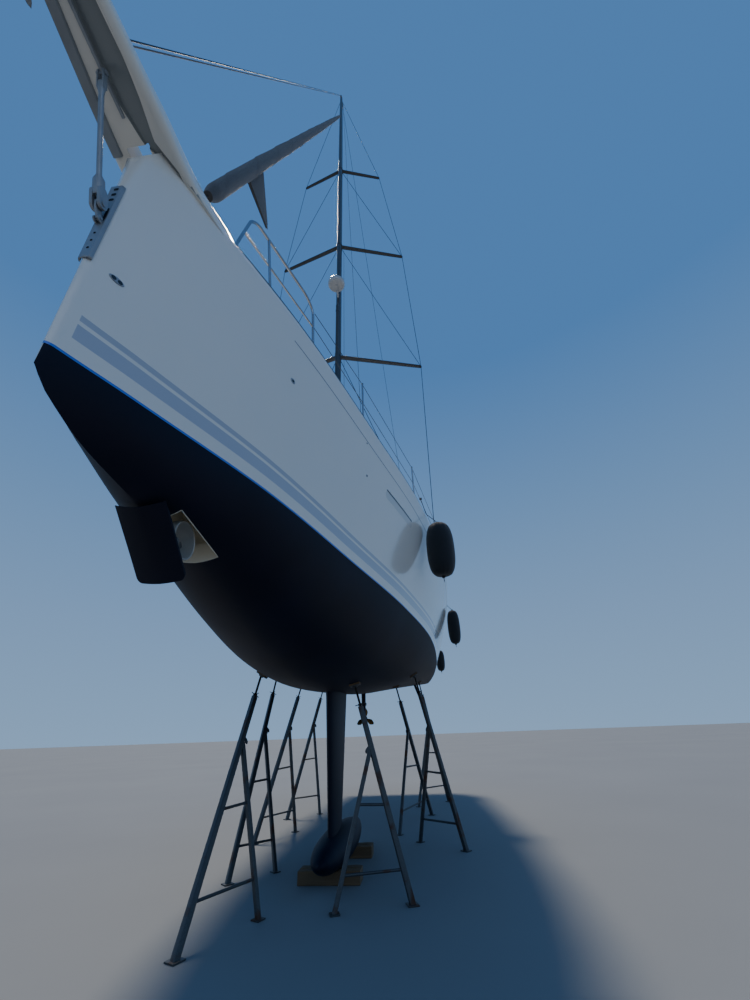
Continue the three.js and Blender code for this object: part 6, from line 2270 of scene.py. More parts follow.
boom_rows = [
    (boom_front + 0.09, 0.82), (boom_front + 0.1, 0.9), (boom_front + 0.25, 1), (12.3, 0.95),
    (BOOM_END - 0.09, 0.86),
]
boom_tube = skin([boom_ring(aft, scale) for aft, scale in boom_rows])
cap_rows = [(BOOM_END - 0.09, 0.87), (BOOM_END - 0.01, 0.85), (BOOM_END, 0.78)]
boom_cap = skin([boom_ring(aft, scale) for aft, scale in cap_rows])
tongue = block(at(boom_front + 0.12, -0.022, 6.878), at(boom_front - 0.022, 0.022, 6.922))
outhaul_sheave = sheave(at(BOOM_END - 0.055, 0, GOOSENECK.z + 0.07), 0.05, 0.04, 0.02)
BAIL = [(0.03, -0.09), (0.03, -0.16), (-0.03, -0.16), (-0.03, -0.09)]
bail_path = rounded([at(12.0, port, GOOSENECK.z + up) for port, up in BAIL], 0.03)
mainsheet_bail = tube(bail_path, 0.007, 12)
boom = make_piece("boom_tube", *together(boom_tube, tongue), spar_paint, body="boom", slot="spar")
boom_fittings = together(boom_cap, outhaul_sheave, mainsheet_bail)
make_piece("boom_fittings", *boom_fittings, drum_metal, body="boom", slot="spar")
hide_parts("boom")
vang_low, vang_high = at(boom_front, 0, VANG_Z), at(boom_front + 1.5, 0, GOOSENECK.z - 0.06)
vang_way, vang_length = (vang_high - vang_low).normalized(), (vang_high - vang_low).length
vang_profile = [(0, 0.05), (0.024, 0.05), (0.03, 0.07), (0.042, 0.08)]
vang_profile += [
    (radius, vang_length * share)
    for radius, share in (
        (0.042, 0.53), (0.046, 0.535), (0.046, 0.55), (0.032, 0.555), (0.032, 0.9), (0.02, 0.93), (0, 0.97)
    )
]
vang_tube = turned(vang_profile, vang_low, vang_way, 28)
vang_pin = tube([vang_low - Vector((0, 0, 0.03)), vang_low + Vector((0, 0, 0.05))], 0.036, 20)
vang = make_piece("boom_vang", *together(vang_tube, vang_pin), spar_paint, body="boom", slot="spar")
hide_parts("vang")
tackle = []
for side in (-0.02, 0.02):
    offset = Vector((0, side, -0.055))
    ends = [vang_low + vang_way * 0.12 + offset, vang_high - vang_way * 0.16 + offset]
    tackle.append(tube(ends, 0.005, 8))
make_piece("vang_tackle", *together(*tackle), rope_blue, body="boom", slot="sailcloth")

# %% [markdown]
# The mainsail is flaked on the boom inside a zipped cover of acrylic canvas. The cover is one cloth that
# hangs round the bunched sail: high at the mast, sagging between its straps, and full of small folds. It
# is modelled as the cloth surface itself, open underneath where it meets the boom.

# %% Sail cover
COVER = [
    # aft of the stem, half width, height above the boom's lower third
    (boom_front + 0.16, 0.07, 0.62),
    (boom_front + 0.9, 0.13, 0.52),
    (10.2, 0.14, 0.42),
    (BOOM_END - 0.25, 0.07, 0.23),
]
COVER_LOW = GOOSENECK.z + BOOM_DEPTH * 0.3


def cover_row(aft, half, height, steps=26):
    """The cloth's section: up the port side, over the zip and down the starboard side."""
    row = []
    strap = abs(math.sin(math.pi * (aft - boom_front) / 0.95)) ** 0.5
    for k in range(steps + 1):
        share = k / steps
        angle = math.pi * share
        belly = math.sin(angle) ** 0.55
        y = half * 1.12 * math.cos(angle) * (0.75 + 0.25 * belly)
        z = COVER_LOW + height * (belly * (0.93 + 0.05 * strap))
        fold = 0.008 * math.sin(9 * aft + 14 * share) + 0.005 * math.sin(31 * aft - 9 * share)
        row.append(at(aft, y * (0.94 + 0.06 * strap) + fold * belly, z + fold * 0.6 * belly))
    return row


cover_rows = [cover_row(*row) for row in smooth_rows(COVER, 36)]
cover_canvas = make_canvas("acrylic_canvas_cover", "#20242c", "#2d323c", 0.004)
cover = make_piece(
    "boom_sail_cover",
    *skin(cover_rows, closed=False),
    cover_canvas,
    body="boom",
    sharp=60,
    slot="sailcloth",
)


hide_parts("sail_cover")
bunt = []
for row in cover_rows[6::12]:
    middle = sum(row, Vector()) / len(row)
    bunt.append([middle + (p - middle) * 0.93 for p in row])
make_piece(
    "flaked_mainsail",
    *skin(bunt),
    make_canvas("laminate_sailcloth", "#c9c6bd", "#d6d3ca", 0.004),
    body="boom",
    sharp=60,
    slot="sailcloth",
)
zip_line = tube([row[13] + Vector((0, 0, 0.004)) for row in cover_rows], 0.006, 8)
make_piece("sail_cover_zip", *zip_line, nylon, body="boom", slot="sailcloth")

# %% [markdown]
# The radome is two shells of white plastic with a seam between them, on a bracket at the mast's front.
# The spinnaker pole stands below it on the mast, an aluminium tube with a cast beak at each end.

# %% Radome and spinnaker pole
RADOME_RADIUS, RADOME_Z = 0.235, 12.88
mast_front = MAST_AFT - MAST_LENGTHWISE / 2
radome_aft = mast_front - 0.26
RADOME_PLACE = at(radome_aft, 0, RADOME_Z)
dome_profile = [
    # share of the radius, height
    (0, 0), (0.74, 0), (0.87, 0.015), (0.97, 0.05), (1, 0.085), (1, 0.112), (0.985, 0.114), (0.985, 0.118),
    (1, 0.12), (0.993, 0.14), (0.926, 0.178), (0.796, 0.21), (0.556, 0.233), (0.296, 0.243), (0, 0.245),
]
dome_profile = [(share * RADOME_RADIUS, height) for share, height in dome_profile]
radome = make_piece(
    "radome_shell",
    *turned(dome_profile, RADOME_PLACE, UP, 48),
    FINISHES["white_plastic"],
    slot="white_plastic",
)
bracket_meshes = [
    block(at(mast_front + 0.01, -0.03, RADOME_Z - 0.022), at(radome_aft - 0.06, 0.03, RADOME_Z - 0.001)),
    flat_bar(
        at(mast_front, 0, RADOME_Z - 0.12),
        at(mast_front - 0.16, 0, RADOME_Z - 0.015),
        0.012,
        0.02,
        Vector((0.5, 0, 0.85)),
        PORTWARD,
    ),
]
bracket = make_piece(
    "radome_bracket", *together(*bracket_meshes), FINISHES["white_plastic"], slot="white_plastic"
)
soften(bracket, 0.003)
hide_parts("radome")
pole_place = at(mast_front - 0.062, 0, 0)
POLE_LOW, POLE_TOP, CLIP_INSET = 5.9, 12.33, 0.25
beak = [
    (0, -0.12), (0.012, -0.12), (0.02, -0.1), (0.022, -0.04), (0.034, -0.02), (0.045, 0),
    (0.045, 0.08), (0.0425, 0.085),
]
POLE = [(radius, POLE_LOW + height) for radius, height in beak]
POLE += [(radius, POLE_TOP - height) for radius, height in reversed(beak)]
clip_heights = (POLE_LOW + CLIP_INSET, POLE_TOP - CLIP_INSET)
pole_clips = [
    block(at(mast_front - 0.004, -0.02, z), at(mast_front - 0.062, 0.02, z + 0.06)) for z in clip_heights
]
pole_collars = [
    turned([(0, z), (0.05, z), (0.05, z + 0.06), (0, z + 0.06)], pole_place, UP) for z in clip_heights
]
pole = make_piece(
    "spinnaker_pole_tube",
    *together(turned(POLE, pole_place, UP, 28), *pole_clips, *pole_collars),
    spar_paint,
    sharp=30,
    slot="spar",
)
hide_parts("spinnaker_pole")

# %% [markdown]
# ## Props, blocks and fenders
# Each prop is a strut of square galvanised tube with a screw head under the hull, a hinged brace and two
# cross rails. The tubes have rounded corners, the screw a real thread form, and the pad tilts on a ball
# until it lies flat on the skin. The places are the solid's own, so every head meets the hull.

# %% One prop
PROPS = [
    # name, head on the hull, foot of the strut, foot of the brace, as places aft and to port
    ("prop_starboard_1", (6.05, -1.05), (4.29, -1.04), (5.3, -0.58)),
    ("prop_starboard_2", (8.2, -1.48), (6.6, -1.5), (7.18, -0.98)),
    ("prop_starboard_3", (10.3, -1.5), (9.0, -2.0), (10.12, -1.48)),
    ("prop_starboard_4", (12.6, -1.45), (11.6, -2.1), (12.3, -1.43)),
    ("prop_port_1", (5.95, 0.48), (5.75, 1.2), (5.45, 0.29)),
    ("prop_port_2", (9.9, 0.88), (11.82, 1.49), (9.65, 0.82)),
    ("prop_port_3", (8.3, 1.35), (8.3, 2.05), (9.0, 1.25)),
    ("prop_port_4", (12.9, 1.4), (13.9, 2.0), (13.1, 1.15)),
]
STRUT_CAP = [(0, 0), (0.043, 0), (0.043, 0.03), (0.03, 0.036), (0, 0.036)]
SCREW_NUT = [(0, 0), (0.03, 0), (0.034, 0.004), (0.034, 0.022), (0.03, 0.026), (0, 0.026)]
PAD_CUP = [(0, 0.052), (0.03, 0.052), (0.044, 0.04), (0.05, 0.03), (0, 0.03)]
prop_steel = FINISHES["prop_steel"]
screw_steel = make_metal("greased_screw_steel", "#4c4844", "#2b2826", 0.45, 0.03)
pad_board = make_timber()


def square_tube(start, end, half, turn_to, corner=0.2):
    """A square tube, cut level at its start; turn_to is a direction that one of its faces looks in."""
    along = (end - start).normalized()
    side = (turn_to - along * turn_to.dot(along)).normalized()
    other = along.cross(side)
    ring = []
    for quarter in range(4):
        for k in range(4):
            a = math.pi / 2 * (quarter + k / 3)
            diagonal = math.pi / 2 * (quarter + 0.5)
            cx = math.copysign(1 - corner, math.cos(diagonal))
            cy = math.copysign(1 - corner, math.sin(diagonal))
            ring.append(half * ((cx + corner * math.cos(a)) * side + (cy + corner * math.sin(a)) * other))
    level_cut = [start + p - along * (p.z / along.z) for p in ring]
    return skin([level_cut, [end + p for p in ring]])


def threaded(start, end, radius, pitch=0.012):
    """A screw: its thread is drawn as rings at twice the real pitch, so that they show."""
    length = (end - start).length
    rows = [(0, 0)]
    for k in range(int(length / pitch)):
        rows += [(radius * 0.86, k * pitch), (radius, (k + 0.5) * pitch)]
    rows += [(radius * 0.86, length), (0, length)]
    return turned(rows, start, end - start, 16)


def plate(centre, half, thickness, turn_to):
    """A square plate flat on the ground, turned to a direction."""
    side = Vector((turn_to.x, turn_to.y, 0)).normalized()
    other = Vector((-side.y, side.x, 0))
    corners = [centre + half * (a * side + b * other) for a, b in SQUARE]
    return skin([corners, [c + UP * thickness for c in corners]])


def make_prop(name, head, foot, brace):
    aft, port = head
    touch = at(aft, port, bottom_z(aft, port))
    slope_aft = (bottom_z(aft + 0.1, port) - bottom_z(aft - 0.1, port)) / 0.2
    slope_port = (bottom_z(aft, port + 0.06) - bottom_z(aft, port - 0.06)) / 0.12
    away = Vector((-slope_aft, slope_port, -1)).normalized()
    foot_point, brace_point = at(*foot, 0.012), at(*brace, 0.012)
    ball = touch + away * 0.05
    strut_way = (ball - foot_point).normalized()
    facing = (brace_point - foot_point).normalized()
    cap = foot_point.lerp(ball, 0.88)
    hinge = foot_point.lerp(ball, 0.68)

    def on_strut(share):
        return foot_point.lerp(ball, share)

    def on_brace(share):
        return brace_point.lerp(hinge, share)

    steelwork = [
        square_tube(foot_point, cap, 0.035, facing),
        square_tube(brace_point, on_brace(0.97), 0.027, facing),
        tube([on_strut(0.13), on_brace(0.19)], 0.017, 14),
        tube([on_strut(0.4), on_brace(0.6)], 0.017, 14),
        plate(at(*foot, 0), 0.07, 0.012, facing),
        plate(at(*brace, 0), 0.06, 0.012, facing),
        turned(STRUT_CAP, cap - strut_way * 0.004, strut_way, 6),
    ]
    across_way = strut_way.cross(facing).normalized()
    for side in (-1, 1):
        steelwork.append(
            flat_bar(
                hinge + facing * 0.01,
                hinge - strut_way * 0.06 + facing * 0.075,
                0.028,
                0.004,
                strut_way,
                across_way,
                offset=side * 0.033,
            )
        )
    steelwork.append(pin(hinge + facing * 0.05 - strut_way * 0.03, across_way, 0.042, 0.009))
    frame_piece = make_piece(
        f"{name}_frame", *together(*steelwork), prop_steel, sharp=40, slot="prop_steel"
    )
    screw_top = ball - away * 0.004
    nut = turned(SCREW_NUT, cap + strut_way * 0.04, strut_way, 6)
    handles = []
    for turn in (0, 1):
        way = (across_way if turn else facing - strut_way * facing.dot(strut_way)).normalized()
        middle = cap + strut_way * 0.053
        handles.append(tube([middle - way * 0.075, middle + way * 0.075], 0.006, 10))
    screw = together(threaded(cap, screw_top, 0.018), nut, *handles)
    make_piece(f"{name}_screw", *screw, screw_steel, sharp=30, slot="prop_steel")
    side_way = away.cross(AHEAD).normalized()
    fore_way = side_way.cross(away).normalized()

    def pad_ring(distance, half):
        return [touch + away * distance + half * (a * side_way + b * fore_way) for a, b in SQUARE]

    cup = turned(PAD_CUP, touch, away, 24)
    steel_pad = skin([pad_ring(distance, 0.078) for distance in (0.022, 0.032)])
    board = skin([pad_ring(distance, 0.083) for distance in (-0.012, 0.0215)])
    make_piece(f"{name}_pad_plate", *together(cup, steel_pad), prop_steel, sharp=40, slot="prop_steel")
    board_piece = make_piece(f"{name}_pad_board", *board, pad_board, slot="prop_steel")
    soften(board_piece, 0.004)
    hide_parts(name)
    return (ball - foot_point).length


lengths = [make_prop(*row) for row in PROPS]
print("props", len(PROPS), "from", round(min(lengths), 2), "to", round(max(lengths), 2), "m long")

# %% [markdown]
# The keel stands on two stacks of hardwood sleepers. A sleeper's edges are worn round and its ends show
# checks, so the blocks are bevelled and slightly uneven, two timbers side by side.

# %% Keel blocks
BLOCKS = [("keel_block_fore", 6.65), ("keel_block_aft", 8.05)]


def bulb_bottom(aft, port):
    width, height = row_at(smooth_rows(BULB, 5), aft)
    if abs(port) >= width:
        return BULB_CENTRE_Z
    return BULB_CENTRE_Z - height * math.sqrt(1 - (port / width) ** 2)


for name, aft in BLOCKS:
    timbers = []
    for number, (start, end) in enumerate(((-0.15, -0.004), (0.004, 0.15))):
        rings = []
        for k in range(19):
            port = lerp(-0.45, 0.45, k / 18)
            uneven = 0.003 * math.sin(5 * k + 3 * number)
            front, back = aft + start, aft + end
            front_top, back_top = (
                min(0.16 + uneven, bulb_bottom(place, port) - 0.001) for place in (front, back)
            )
            corners = [(front, 0), (back, 0), (back, back_top), (front, front_top)]
            rings.append([at(place, port, z) for place, z in corners])
        timbers.append(skin(rings))
    sleeper = make_piece(f"{name}_sleepers", *together(*timbers), FINISHES["timber"], slot="timber")
    soften(sleeper, 0.006)
    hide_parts(name)

# %% [markdown]
# The fenders are inflated vinyl in knitted black covers, drawn in at each end round a moulded eye. A rope
# runs from the top eye over the deck's edge to the rail, knotted at the eye, with a short tail below.

# %% Fenders
FENDERS = [
    # place, middle height, radius, length
    (5.4, 4.45, 0.225, 0.95),
    (11.25, 4.37, 0.172, 0.95),
    (16.35, 4.15, 0.16, 0.78),
]
fender_cover = FINISHES["fender_cover"]


def knot(place, size):
    """Two rope turns that cross, as a small hitch."""
    turns = []
    for tilt in (0.5, -0.5):
        ring = []
        for k in range(13):
            a = 2 * math.pi * k / 12
            ring.append(place + size * Vector((math.cos(a), math.sin(a) * 0.8, tilt * math.sin(a))))
        turns.append(tube(ring, size * 0.42, 10))
    return together(*turns)


for number, (aft, z, radius, length) in enumerate(FENDERS, start=1):
    rail = rail_point(aft, 0.06, RAIL_HEIGHT * 0.5 - 0.012, 1)
    reach = max(side_half(aft, z + share * length) for share in (-0.4, 0, 0.4)) + radius + 0.004
    centre, half = at(aft, reach, z), length / 2
    profile = []
    for k in range(25):
        a = math.pi * k / 24 - math.pi / 2
        height = math.copysign(abs(math.sin(a)) ** 0.8, math.sin(a)) * (half - 0.02)
        profile.append((max(radius * max(math.cos(a), 0) ** 0.55, 0.0), height))
    profile[0], profile[-1] = (0, -half + 0.02), (0, half - 0.02)
    body = turned(profile, centre, UP, 40)
    gathered = []
    for i, point in enumerate(body[0]):
        out = Vector((point.x - centre.x, point.y - centre.y, 0))
        end = max(0, abs(point.z - z) / half - 0.6) / 0.4
        angle = math.atan2(out.y, out.x)
        gathered.append(point + out * 0.05 * end * math.sin(14 * angle))
    eyes = [
        turned(
            [(0, -0.03), (0.022, -0.03), (0.03, 0), (0.022, 0.03), (0, 0.03)],
            centre + Vector((0, 0, s * (half - 0.02))),
            UP,
            20,
        )
        for s in (-1, 1)
    ]
    fender = make_piece(
        f"fender_body_{number}", *together((gathered, body[1]), *eyes), fender_cover, slot="fender_cover"
    )
    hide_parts(f"fender_{number}")
    top_eye = centre + Vector((0, 0, half))
    edge = at(aft, station(DECK, aft) + 0.012, sheer_z(aft) + DECK_EDGE + 0.006)
    rope = [top_eye, edge, rail]
    tail = [centre - Vector((0, 0, half)), centre - Vector((0.01, -0.006, half + 0.07))]
    make_piece(
        f"fender_lanyard_{number}",
        *together(
            tube(rounded(rope, 0.03), 0.006, 10),
            knot(top_eye, 0.018),
            knot(rail, 0.02),
            knot(tail[0], 0.016),
            tube(tail, 0.006, 10),
        ),
        rope_blue,
        slot="fender_cover",
    )
print("fenders", [round(length, 2) for _, _, _, length in FENDERS], "m long")

# %% [markdown]
# ## Deck gear
# The windlass stands behind the sprit. Its gypsy has pockets for the chain's links, and the drum above
# it takes a rope. The chain is set up taut between the anchor's shank and the gypsy, over the sprit.

# %% Windlass and chain
WINDLASS = at(1.15, 0, deck_z(1.15, 0) - 0.02)
WINDLASS_PROFILE = [
    # radius, height above its foot; the gypsy is the waist between the two wide rims
    (0, 0), (0.094, 0), (0.094, 0.03), (0.086, 0.04), (0.06, 0.046), (0.078, 0.056), (0.078, 0.062),
    (0.06, 0.072), (0.056, 0.08), (0.06, 0.088), (0.078, 0.098), (0.078, 0.104), (0.05, 0.112),
    (0.042, 0.13), (0.044, 0.155), (0.058, 0.178), (0.07, 0.188), (0.07, 0.2), (0.03, 0.207), (0, 0.208),
]
POCKETS = 6


def windlass_mesh(sides=48):
    points, faces = turned(WINDLASS_PROFILE, WINDLASS, UP, sides)
    shaped = []
    for i, point in enumerate(points):
        row, column = divmod(i, sides)
        if 5 <= row <= 11 and column % (sides // POCKETS) in (0, 1, 2):
            out = Vector((point.x - WINDLASS.x, point.y - WINDLASS.y, 0))
            point = point - out * 0.1
        shaped.append(point)
    return shaped, faces


windlass = make_piece("anchor_windlass", *windlass_mesh(), steel, sharp=30, slot="stainless")
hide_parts("windlass")

CHAIN_WIRE, CHAIN_PITCH = 0.005, 0.032
chain_path = [at(-0.54, 0.0, 5.492), at(0.78, 0.048, 5.468), at(1.13, 0.071, WINDLASS.z + 0.082)]


def chain_link(middle, along, across_way):
    """A closed oval of wire: two half circles joined by short straights."""
    turn, half = 0.0085, CHAIN_PITCH / 2 - 0.004
    path = []
    for k in range(16):
        angle = 2 * math.pi * k / 16
        forward = math.copysign(half, math.cos(angle)) if abs(math.cos(angle)) > 0.01 else 0
        path.append(
            middle + along * (forward + turn * math.cos(angle)) + across_way * turn * math.sin(angle)
        )
    rings = tube_rings([*path, path[0]], CHAIN_WIRE * 0.85, 8, start_side=along.cross(across_way))
    return skin([*rings[:-1], rings[0]], caps=False)


def chain_along(path):
    links, number = [], 0
    for start, end in zip(path, path[1:]):
        along = (end - start).normalized()
        flat = along.cross(UP).normalized()
        tilted = (flat + along.cross(flat)).normalized()
        other = along.cross(tilted)
        for step in range(int((end - start).length / CHAIN_PITCH)):
            number += 1
            middle = start + along * CHAIN_PITCH * (step + 0.5)
            links.append(chain_link(middle, along, tilted if number % 2 else other))
    return together(*links)


chain = chain_along(chain_path)
make_piece("anchor_chain", *chain, FINISHES["galvanised"], sharp=60, slot="galvanised")

# %% [markdown]
# Horn cleats stand along both edges. The headsail's sheets lead through cars that slide on tracks, and
# the halyards come aft to rope clutches ahead of the winches. Handrails run along the roof.

# %% Cleats, tracks, clutches and handrails
CLEAT_HALF = 0.125


def cleat_mesh(aft, sign):
    port = sign * (station(DECK, aft) - 0.13)
    base = at(aft, port, deck_z(aft, port))
    along = (at(aft - 0.2, sign * (station(DECK, aft - 0.2) - 0.13), 0) - at(aft, port, 0)).normalized()
    radii = [0.02, 0.013]
    feet = [
        tube([base + along * s * 0.035 - UP * 0.01, base + along * s * 0.03 + UP * 0.045], radii, 12)
        for s in (-1, 1)
    ]
    rows = [
        (-1, 0.052, 0.005),
        (-0.8, 0.05, 0.011),
        (-0.3, 0.045, 0.014),
        (0.3, 0.045, 0.014),
        (0.8, 0.05, 0.011),
        (1, 0.052, 0.005),
    ]
    path = [base + along * CLEAT_HALF * s + UP * h for s, h, _ in rows]
    return together(*feet, tube(path, [radius for *_, radius in rows], 12))


make_piece(
    "mooring_cleats",
    *together(*[cleat_mesh(aft, sign) for aft in (2.4, 8.2, 16.3) for _, sign in BOTH_SIDES]),
    steel,
    slot="stainless",
)
TRACK_FRONT, TRACK_END, TRACK_PORT, CAR_AFT, CLUTCH_AFT = 7.8, 9.6, 1.75, 8.9, 10.62
CAR_SHEAVE = [(0, -0.014), (0.034, -0.014), (0.036, -0.01), (0.026, 0)]
CAR_SHEAVE += [(0.036, 0.01), (0.034, 0.014), (0, 0.014)]
track_meshes, car_meshes = [], []
for _, sign in BOTH_SIDES:
    rings = []
    for k in range(9):
        aft = lerp(TRACK_FRONT, TRACK_END, k / 8)
        z = deck_z(aft, TRACK_PORT)
        section = [(-0.016, -0.004), (0.016, -0.004), (0.016, 0.008), (-0.016, 0.008)]
        rings.append([at(aft, sign * (TRACK_PORT + y), z + up) for y, up in section])
    track_meshes.append(skin(rings))
    car_z, port = deck_z(CAR_AFT, TRACK_PORT), sign * TRACK_PORT
    car_meshes += [
        block(
            at(CAR_AFT + 0.07, port - 0.024, car_z + 0.009), at(CAR_AFT - 0.07, port + 0.024, car_z + 0.028)
        ),
        turned(CAR_SHEAVE, at(CAR_AFT, port, car_z + 0.06), PORTWARD, 24),
    ]
    for side in (-1, 1):
        foot, head = at(CAR_AFT, port, car_z + 0.02), at(CAR_AFT, port, car_z + 0.062)
        car_meshes.append(flat_bar(foot, head, 0.022, 0.003, AHEAD, PORTWARD, offset=side * 0.019))
make_piece("sheet_tracks", *together(*track_meshes), drum_metal, sharp=30, slot="spar")
make_piece("sheet_cars", *together(*car_meshes), steel, sharp=30, slot="stainless")

clutch_meshes, lever_meshes = [], []
for _, sign in BOTH_SIDES:
    for k in range(3):
        port = sign * (0.7 + 0.045 * k)
        z = top_z(CLUTCH_AFT) - ROOF_CAMBER * (port / roof_values(CLUTCH_AFT)[1]) ** 2
        rings = []
        for aft, rise in ((10.54, 0.03), (10.56, 0.045), (10.66, 0.048), (10.7, 0.03)):
            section = [(-0.017, -0.012), (0.017, -0.012), (0.017, rise), (-0.017, rise)]
            rings.append([at(aft, port + side, z + up) for side, up in section])
        clutch_meshes.append(skin(rings))
        lever_meshes.append(block(at(10.7, port - 0.012, z + 0.05), at(10.57, port + 0.012, z + 0.062)))
clutches = make_piece("rope_clutches", *together(*clutch_meshes), nylon, slot="white_plastic")
soften(clutches, 0.004)
levers = make_piece("clutch_levers", *together(*lever_meshes), smooth_white, slot="white_plastic")
soften(levers, 0.003)


def on_roof(aft, rise, sign):
    _, top, height = roof_values(aft)
    return at(aft, sign * (top - 0.1), sheer_z(aft) + height + ROOF_CAMBER * 0.2 + rise)


handrail_meshes = []
for _, sign in BOTH_SIDES:
    path = [on_roof(lerp(6.9, 9.9, k / 24), 0.07, sign) for k in range(25)]
    path = [on_roof(6.82, -0.01, sign), *path, on_roof(9.98, -0.01, sign)]
    handrail_meshes.append(tube(path, 0.012, 14))
    for aft in (7.65, 8.4, 9.15):
        handrail_meshes.append(tube([on_roof(aft, -0.01, sign), on_roof(aft, 0.07, sign)], 0.01, 12))
make_piece("roof_handrails", *together(*handrail_meshes), steel, slot="stainless")
print("chain", round(sum((b - a).length for a, b in zip(chain_path, chain_path[1:])), 2), "m, set up taut")

# %% [markdown]
# ## Details of the topsides
# Small fittings sit flat on the curved side, so each is built on the side's own direction there; the dark
# discs in the through-hulls are painted shade of their openings. The hull port is a long pane glued flush,
# its pale grey a painted reflection, with a black strip along its upper edge that is both its seal and a
# painted shadow line, and a moulded groove runs below the sheer.

# %% Through-hulls, hull port and groove
def on_side(aft, z, sign=1):
    """A point on the topsides, with the directions along, up and out of the side there."""
    step = 0.02
    lengthwise = (side_half(aft + step, z) - side_half(aft - step, z)) / (2 * step) if aft > step else 1.0
    upward = (side_half(aft, z + step) - side_half(aft, z - step)) / (2 * step)
    along = Vector((-1, sign * lengthwise, 0)).normalized()
    outward = Vector((lengthwise, sign, -upward)).normalized()
    up = outward.cross(along) * sign
    return at(aft, sign * side_half(aft, z), z), along, up, outward


def oval_fitting(aft, z, half_length, half_height, rows, shift=0.0):
    """A low moulding over an oval; rows hold a scale and a rise."""
    centre, along, up, outward = on_side(aft, z)
    centre = centre + along * shift
    length_way, height_way = along * half_length, up * half_height
    rings = []
    for scale, rise in rows:
        middle = centre + outward * rise
        rings.append(
            [
                middle + length_way * scale * math.cos(a) + height_way * scale * math.sin(a)
                for a in round_angles(28)
            ]
        )
    return skin(rings)


FLANGE = [(1.0, -0.002), (1.0, 0.0015), (0.85, 0.004), (0.62, 0.0045), (0.5, 0.003), (0.46, 0.0015)]
BORE = [(0.5, 0.0), (0.5, 0.0036), (0.3, 0.0037)]
# aft of the stem, height, half length, half height
THROUGH_HULLS = [(1.51, 4.58, 0.032, 0.024), (2.95, 4.9, 0.013, 0.011), (3.05, 4.51, 0.02, 0.016)]
flanges = [oval_fitting(aft, z, a, b, FLANGE) for aft, z, a, b in THROUGH_HULLS]
bores = [oval_fitting(aft, z, a, b, BORE) for aft, z, a, b in THROUGH_HULLS]
flanges.append(
    oval_fitting(0.14, 4.07, 0.043, 0.02, [(1.0, -0.002), (1.0, 0.002), (0.9, 0.005), (0.8, 0.005)])
)
bores += [
    oval_fitting(0.14, 4.07, 0.014, 0.013, [(1.0, 0.0), (1.0, 0.0055), (0.6, 0.0057)], shift=s)
    for s in (-0.018, 0.018)
]
make_piece("through_hull_flanges", *together(*flanges), dull_steel, slot="stainless")
# The bores are dark discs: their black is painted shade of the openings.
make_piece("through_hull_bores", *together(*bores), nylon, slot="white_plastic")


def strip_on_side(front, end, height, half_width, rise, sign=1, steps=40, taper=0.0):
    """A low strip along the topsides; height gives its z at each place aft."""
    rings = []
    for k in range(steps + 1):
        t = k / steps
        aft = lerp(front, end, t)
        narrow = min(1, (min(t, 1 - t) + 0.002) / taper) if taper else 1
        low, _, _, low_out = on_side(aft, height(aft) - half_width * narrow, sign)
        high, _, _, high_out = on_side(aft, height(aft) + half_width * narrow, sign)
        rings.append(
            [low - low_out * 0.002, low + low_out * rise, high + high_out * rise, high - high_out * 0.002]
        )
    return skin(rings)


# The pane's pale grey is a painted reflection of the ground in the acrylic.
pane_painted_reflection = make_smooth_gelcoat("hull_port_painted_reflection", "#cfcfcc")
groove_shade = make_smooth_gelcoat("groove_in_shade", "#8d8f91")
panes, seals_with_shadow, grooves = [], [], []
for _, sign in BOTH_SIDES:
    panes.append(strip_on_side(3.62, 4.7, lambda aft: 4.585, 0.055, 0.0012, sign, taper=0.03))
    seals_with_shadow.append(strip_on_side(3.64, 4.68, lambda aft: 4.64, 0.011, 0.003, sign, taper=0.02))
    grooves.append(
        strip_on_side(1.45, 16.9, lambda aft: sheer_z(aft) - 0.215, 0.006, 0.0008, sign, steps=90)
    )
make_piece("hull_port_panes", *together(*panes), pane_painted_reflection, slot="glazing")
# The black strip along the pane's upper edge is its seal and also a painted shadow line.
make_piece("hull_port_seals_with_shadow", *together(*seals_with_shadow), nylon, slot="white_plastic")
make_piece("sheer_groove", *together(*grooves), groove_shade, slot="topsides")

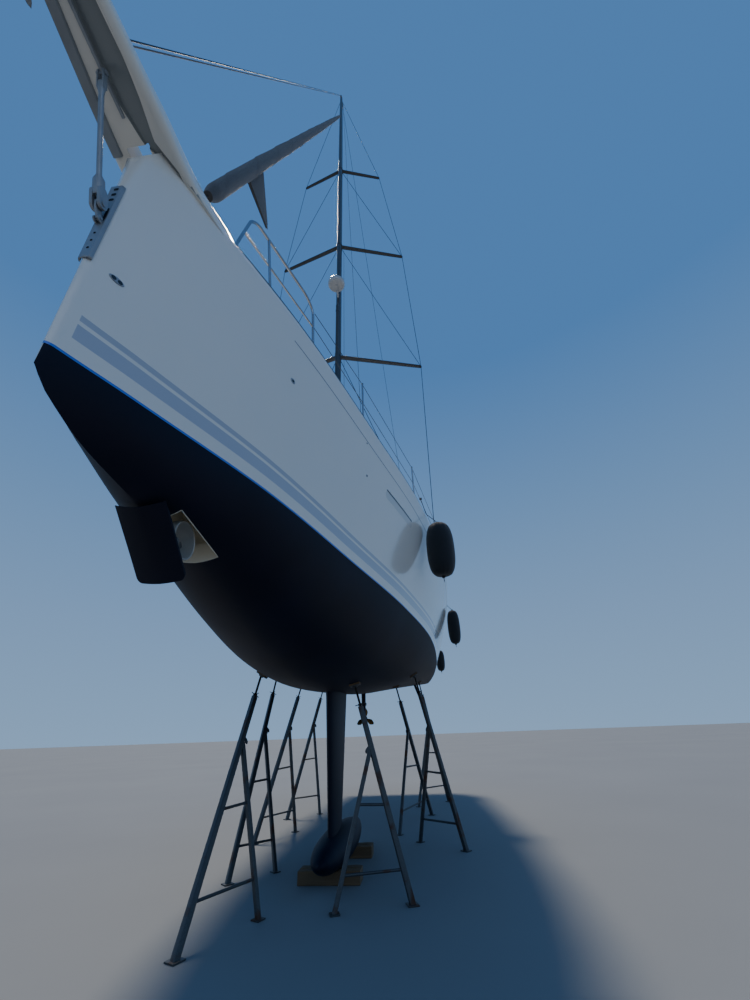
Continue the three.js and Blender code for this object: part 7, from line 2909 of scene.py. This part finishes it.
# %% [markdown]
# The thruster's doorway has a thin pale edge where the laminate was trimmed, and the transom platform
# folds down on two hinges. Its outer face has a well for a folded ladder and a latch at the top.

# %% Doorway edge and transom platform
door = [(1.019, 0.163), (1.019, -0.163), (1.564, -0.163), (1.564, 0.163)]
edge_path = []
for (aft0, port0), (aft1, port1) in zip(door, door[1:] + door[:1]):
    for k in range(12):
        aft, port = lerp(aft0, aft1, k / 12), lerp(port0, port1, k / 12)
        edge_path.append(at(aft, port, bottom_z(aft, port) + 0.001))
edge_rings = tube_rings([*edge_path, edge_path[0]], 0.0035, 8)
make_piece("thruster_doorway_edge", *skin(edge_rings, caps=False), well_laminate, slot="topsides")

PLATFORM_AFT, PLATFORM_HALF = (17.145, 17.2), 1.144
PLATFORM_LOW, PLATFORM_HIGH = 3.766, 4.554
platform = make_piece(
    "folding_transom_platform",
    *block(
        at(PLATFORM_AFT[1], -PLATFORM_HALF, PLATFORM_LOW), at(PLATFORM_AFT[0], PLATFORM_HALF, PLATFORM_HIGH)
    ),
    [smooth_white, nonslip],
    body="transom_platform",
    slot="topsides",
)
soften(platform, 0.008, 3)
LADDER_AFT, LADDER_PORT, LADDER_HALF = 17.187, 0.45, 0.17
ladder_well = (
    at(17.21, LADDER_PORT - LADDER_HALF - 0.04, 3.82), at(17.172, LADDER_PORT + LADDER_HALF + 0.04, 4.5)
)
cut_out(platform, [ladder_well], index=0)
for polygon in platform.data.polygons:
    if polygon.normal.x > 0.9:
        polygon.material_index = 1
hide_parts("transom_platform")
ladder_sides = (LADDER_PORT - LADDER_HALF, LADDER_PORT + LADDER_HALF)
ladder_meshes = [tube([at(LADDER_AFT, port, z) for z in (3.85, 4.47)], 0.011, 12) for port in ladder_sides]
for z in (3.92, 4.1, 4.28, 4.44):
    ladder_meshes.append(tube([at(LADDER_AFT, port, z) for port in ladder_sides], 0.009, 12))
ladder_meshes.append(block(at(17.206, -0.05, 4.44), at(17.199, 0.05, 4.5)))
make_piece("folded_ladder", *together(*ladder_meshes), steel, body="transom_platform", slot="stainless")
print("platform", round(2 * PLATFORM_HALF, 2), "m wide")
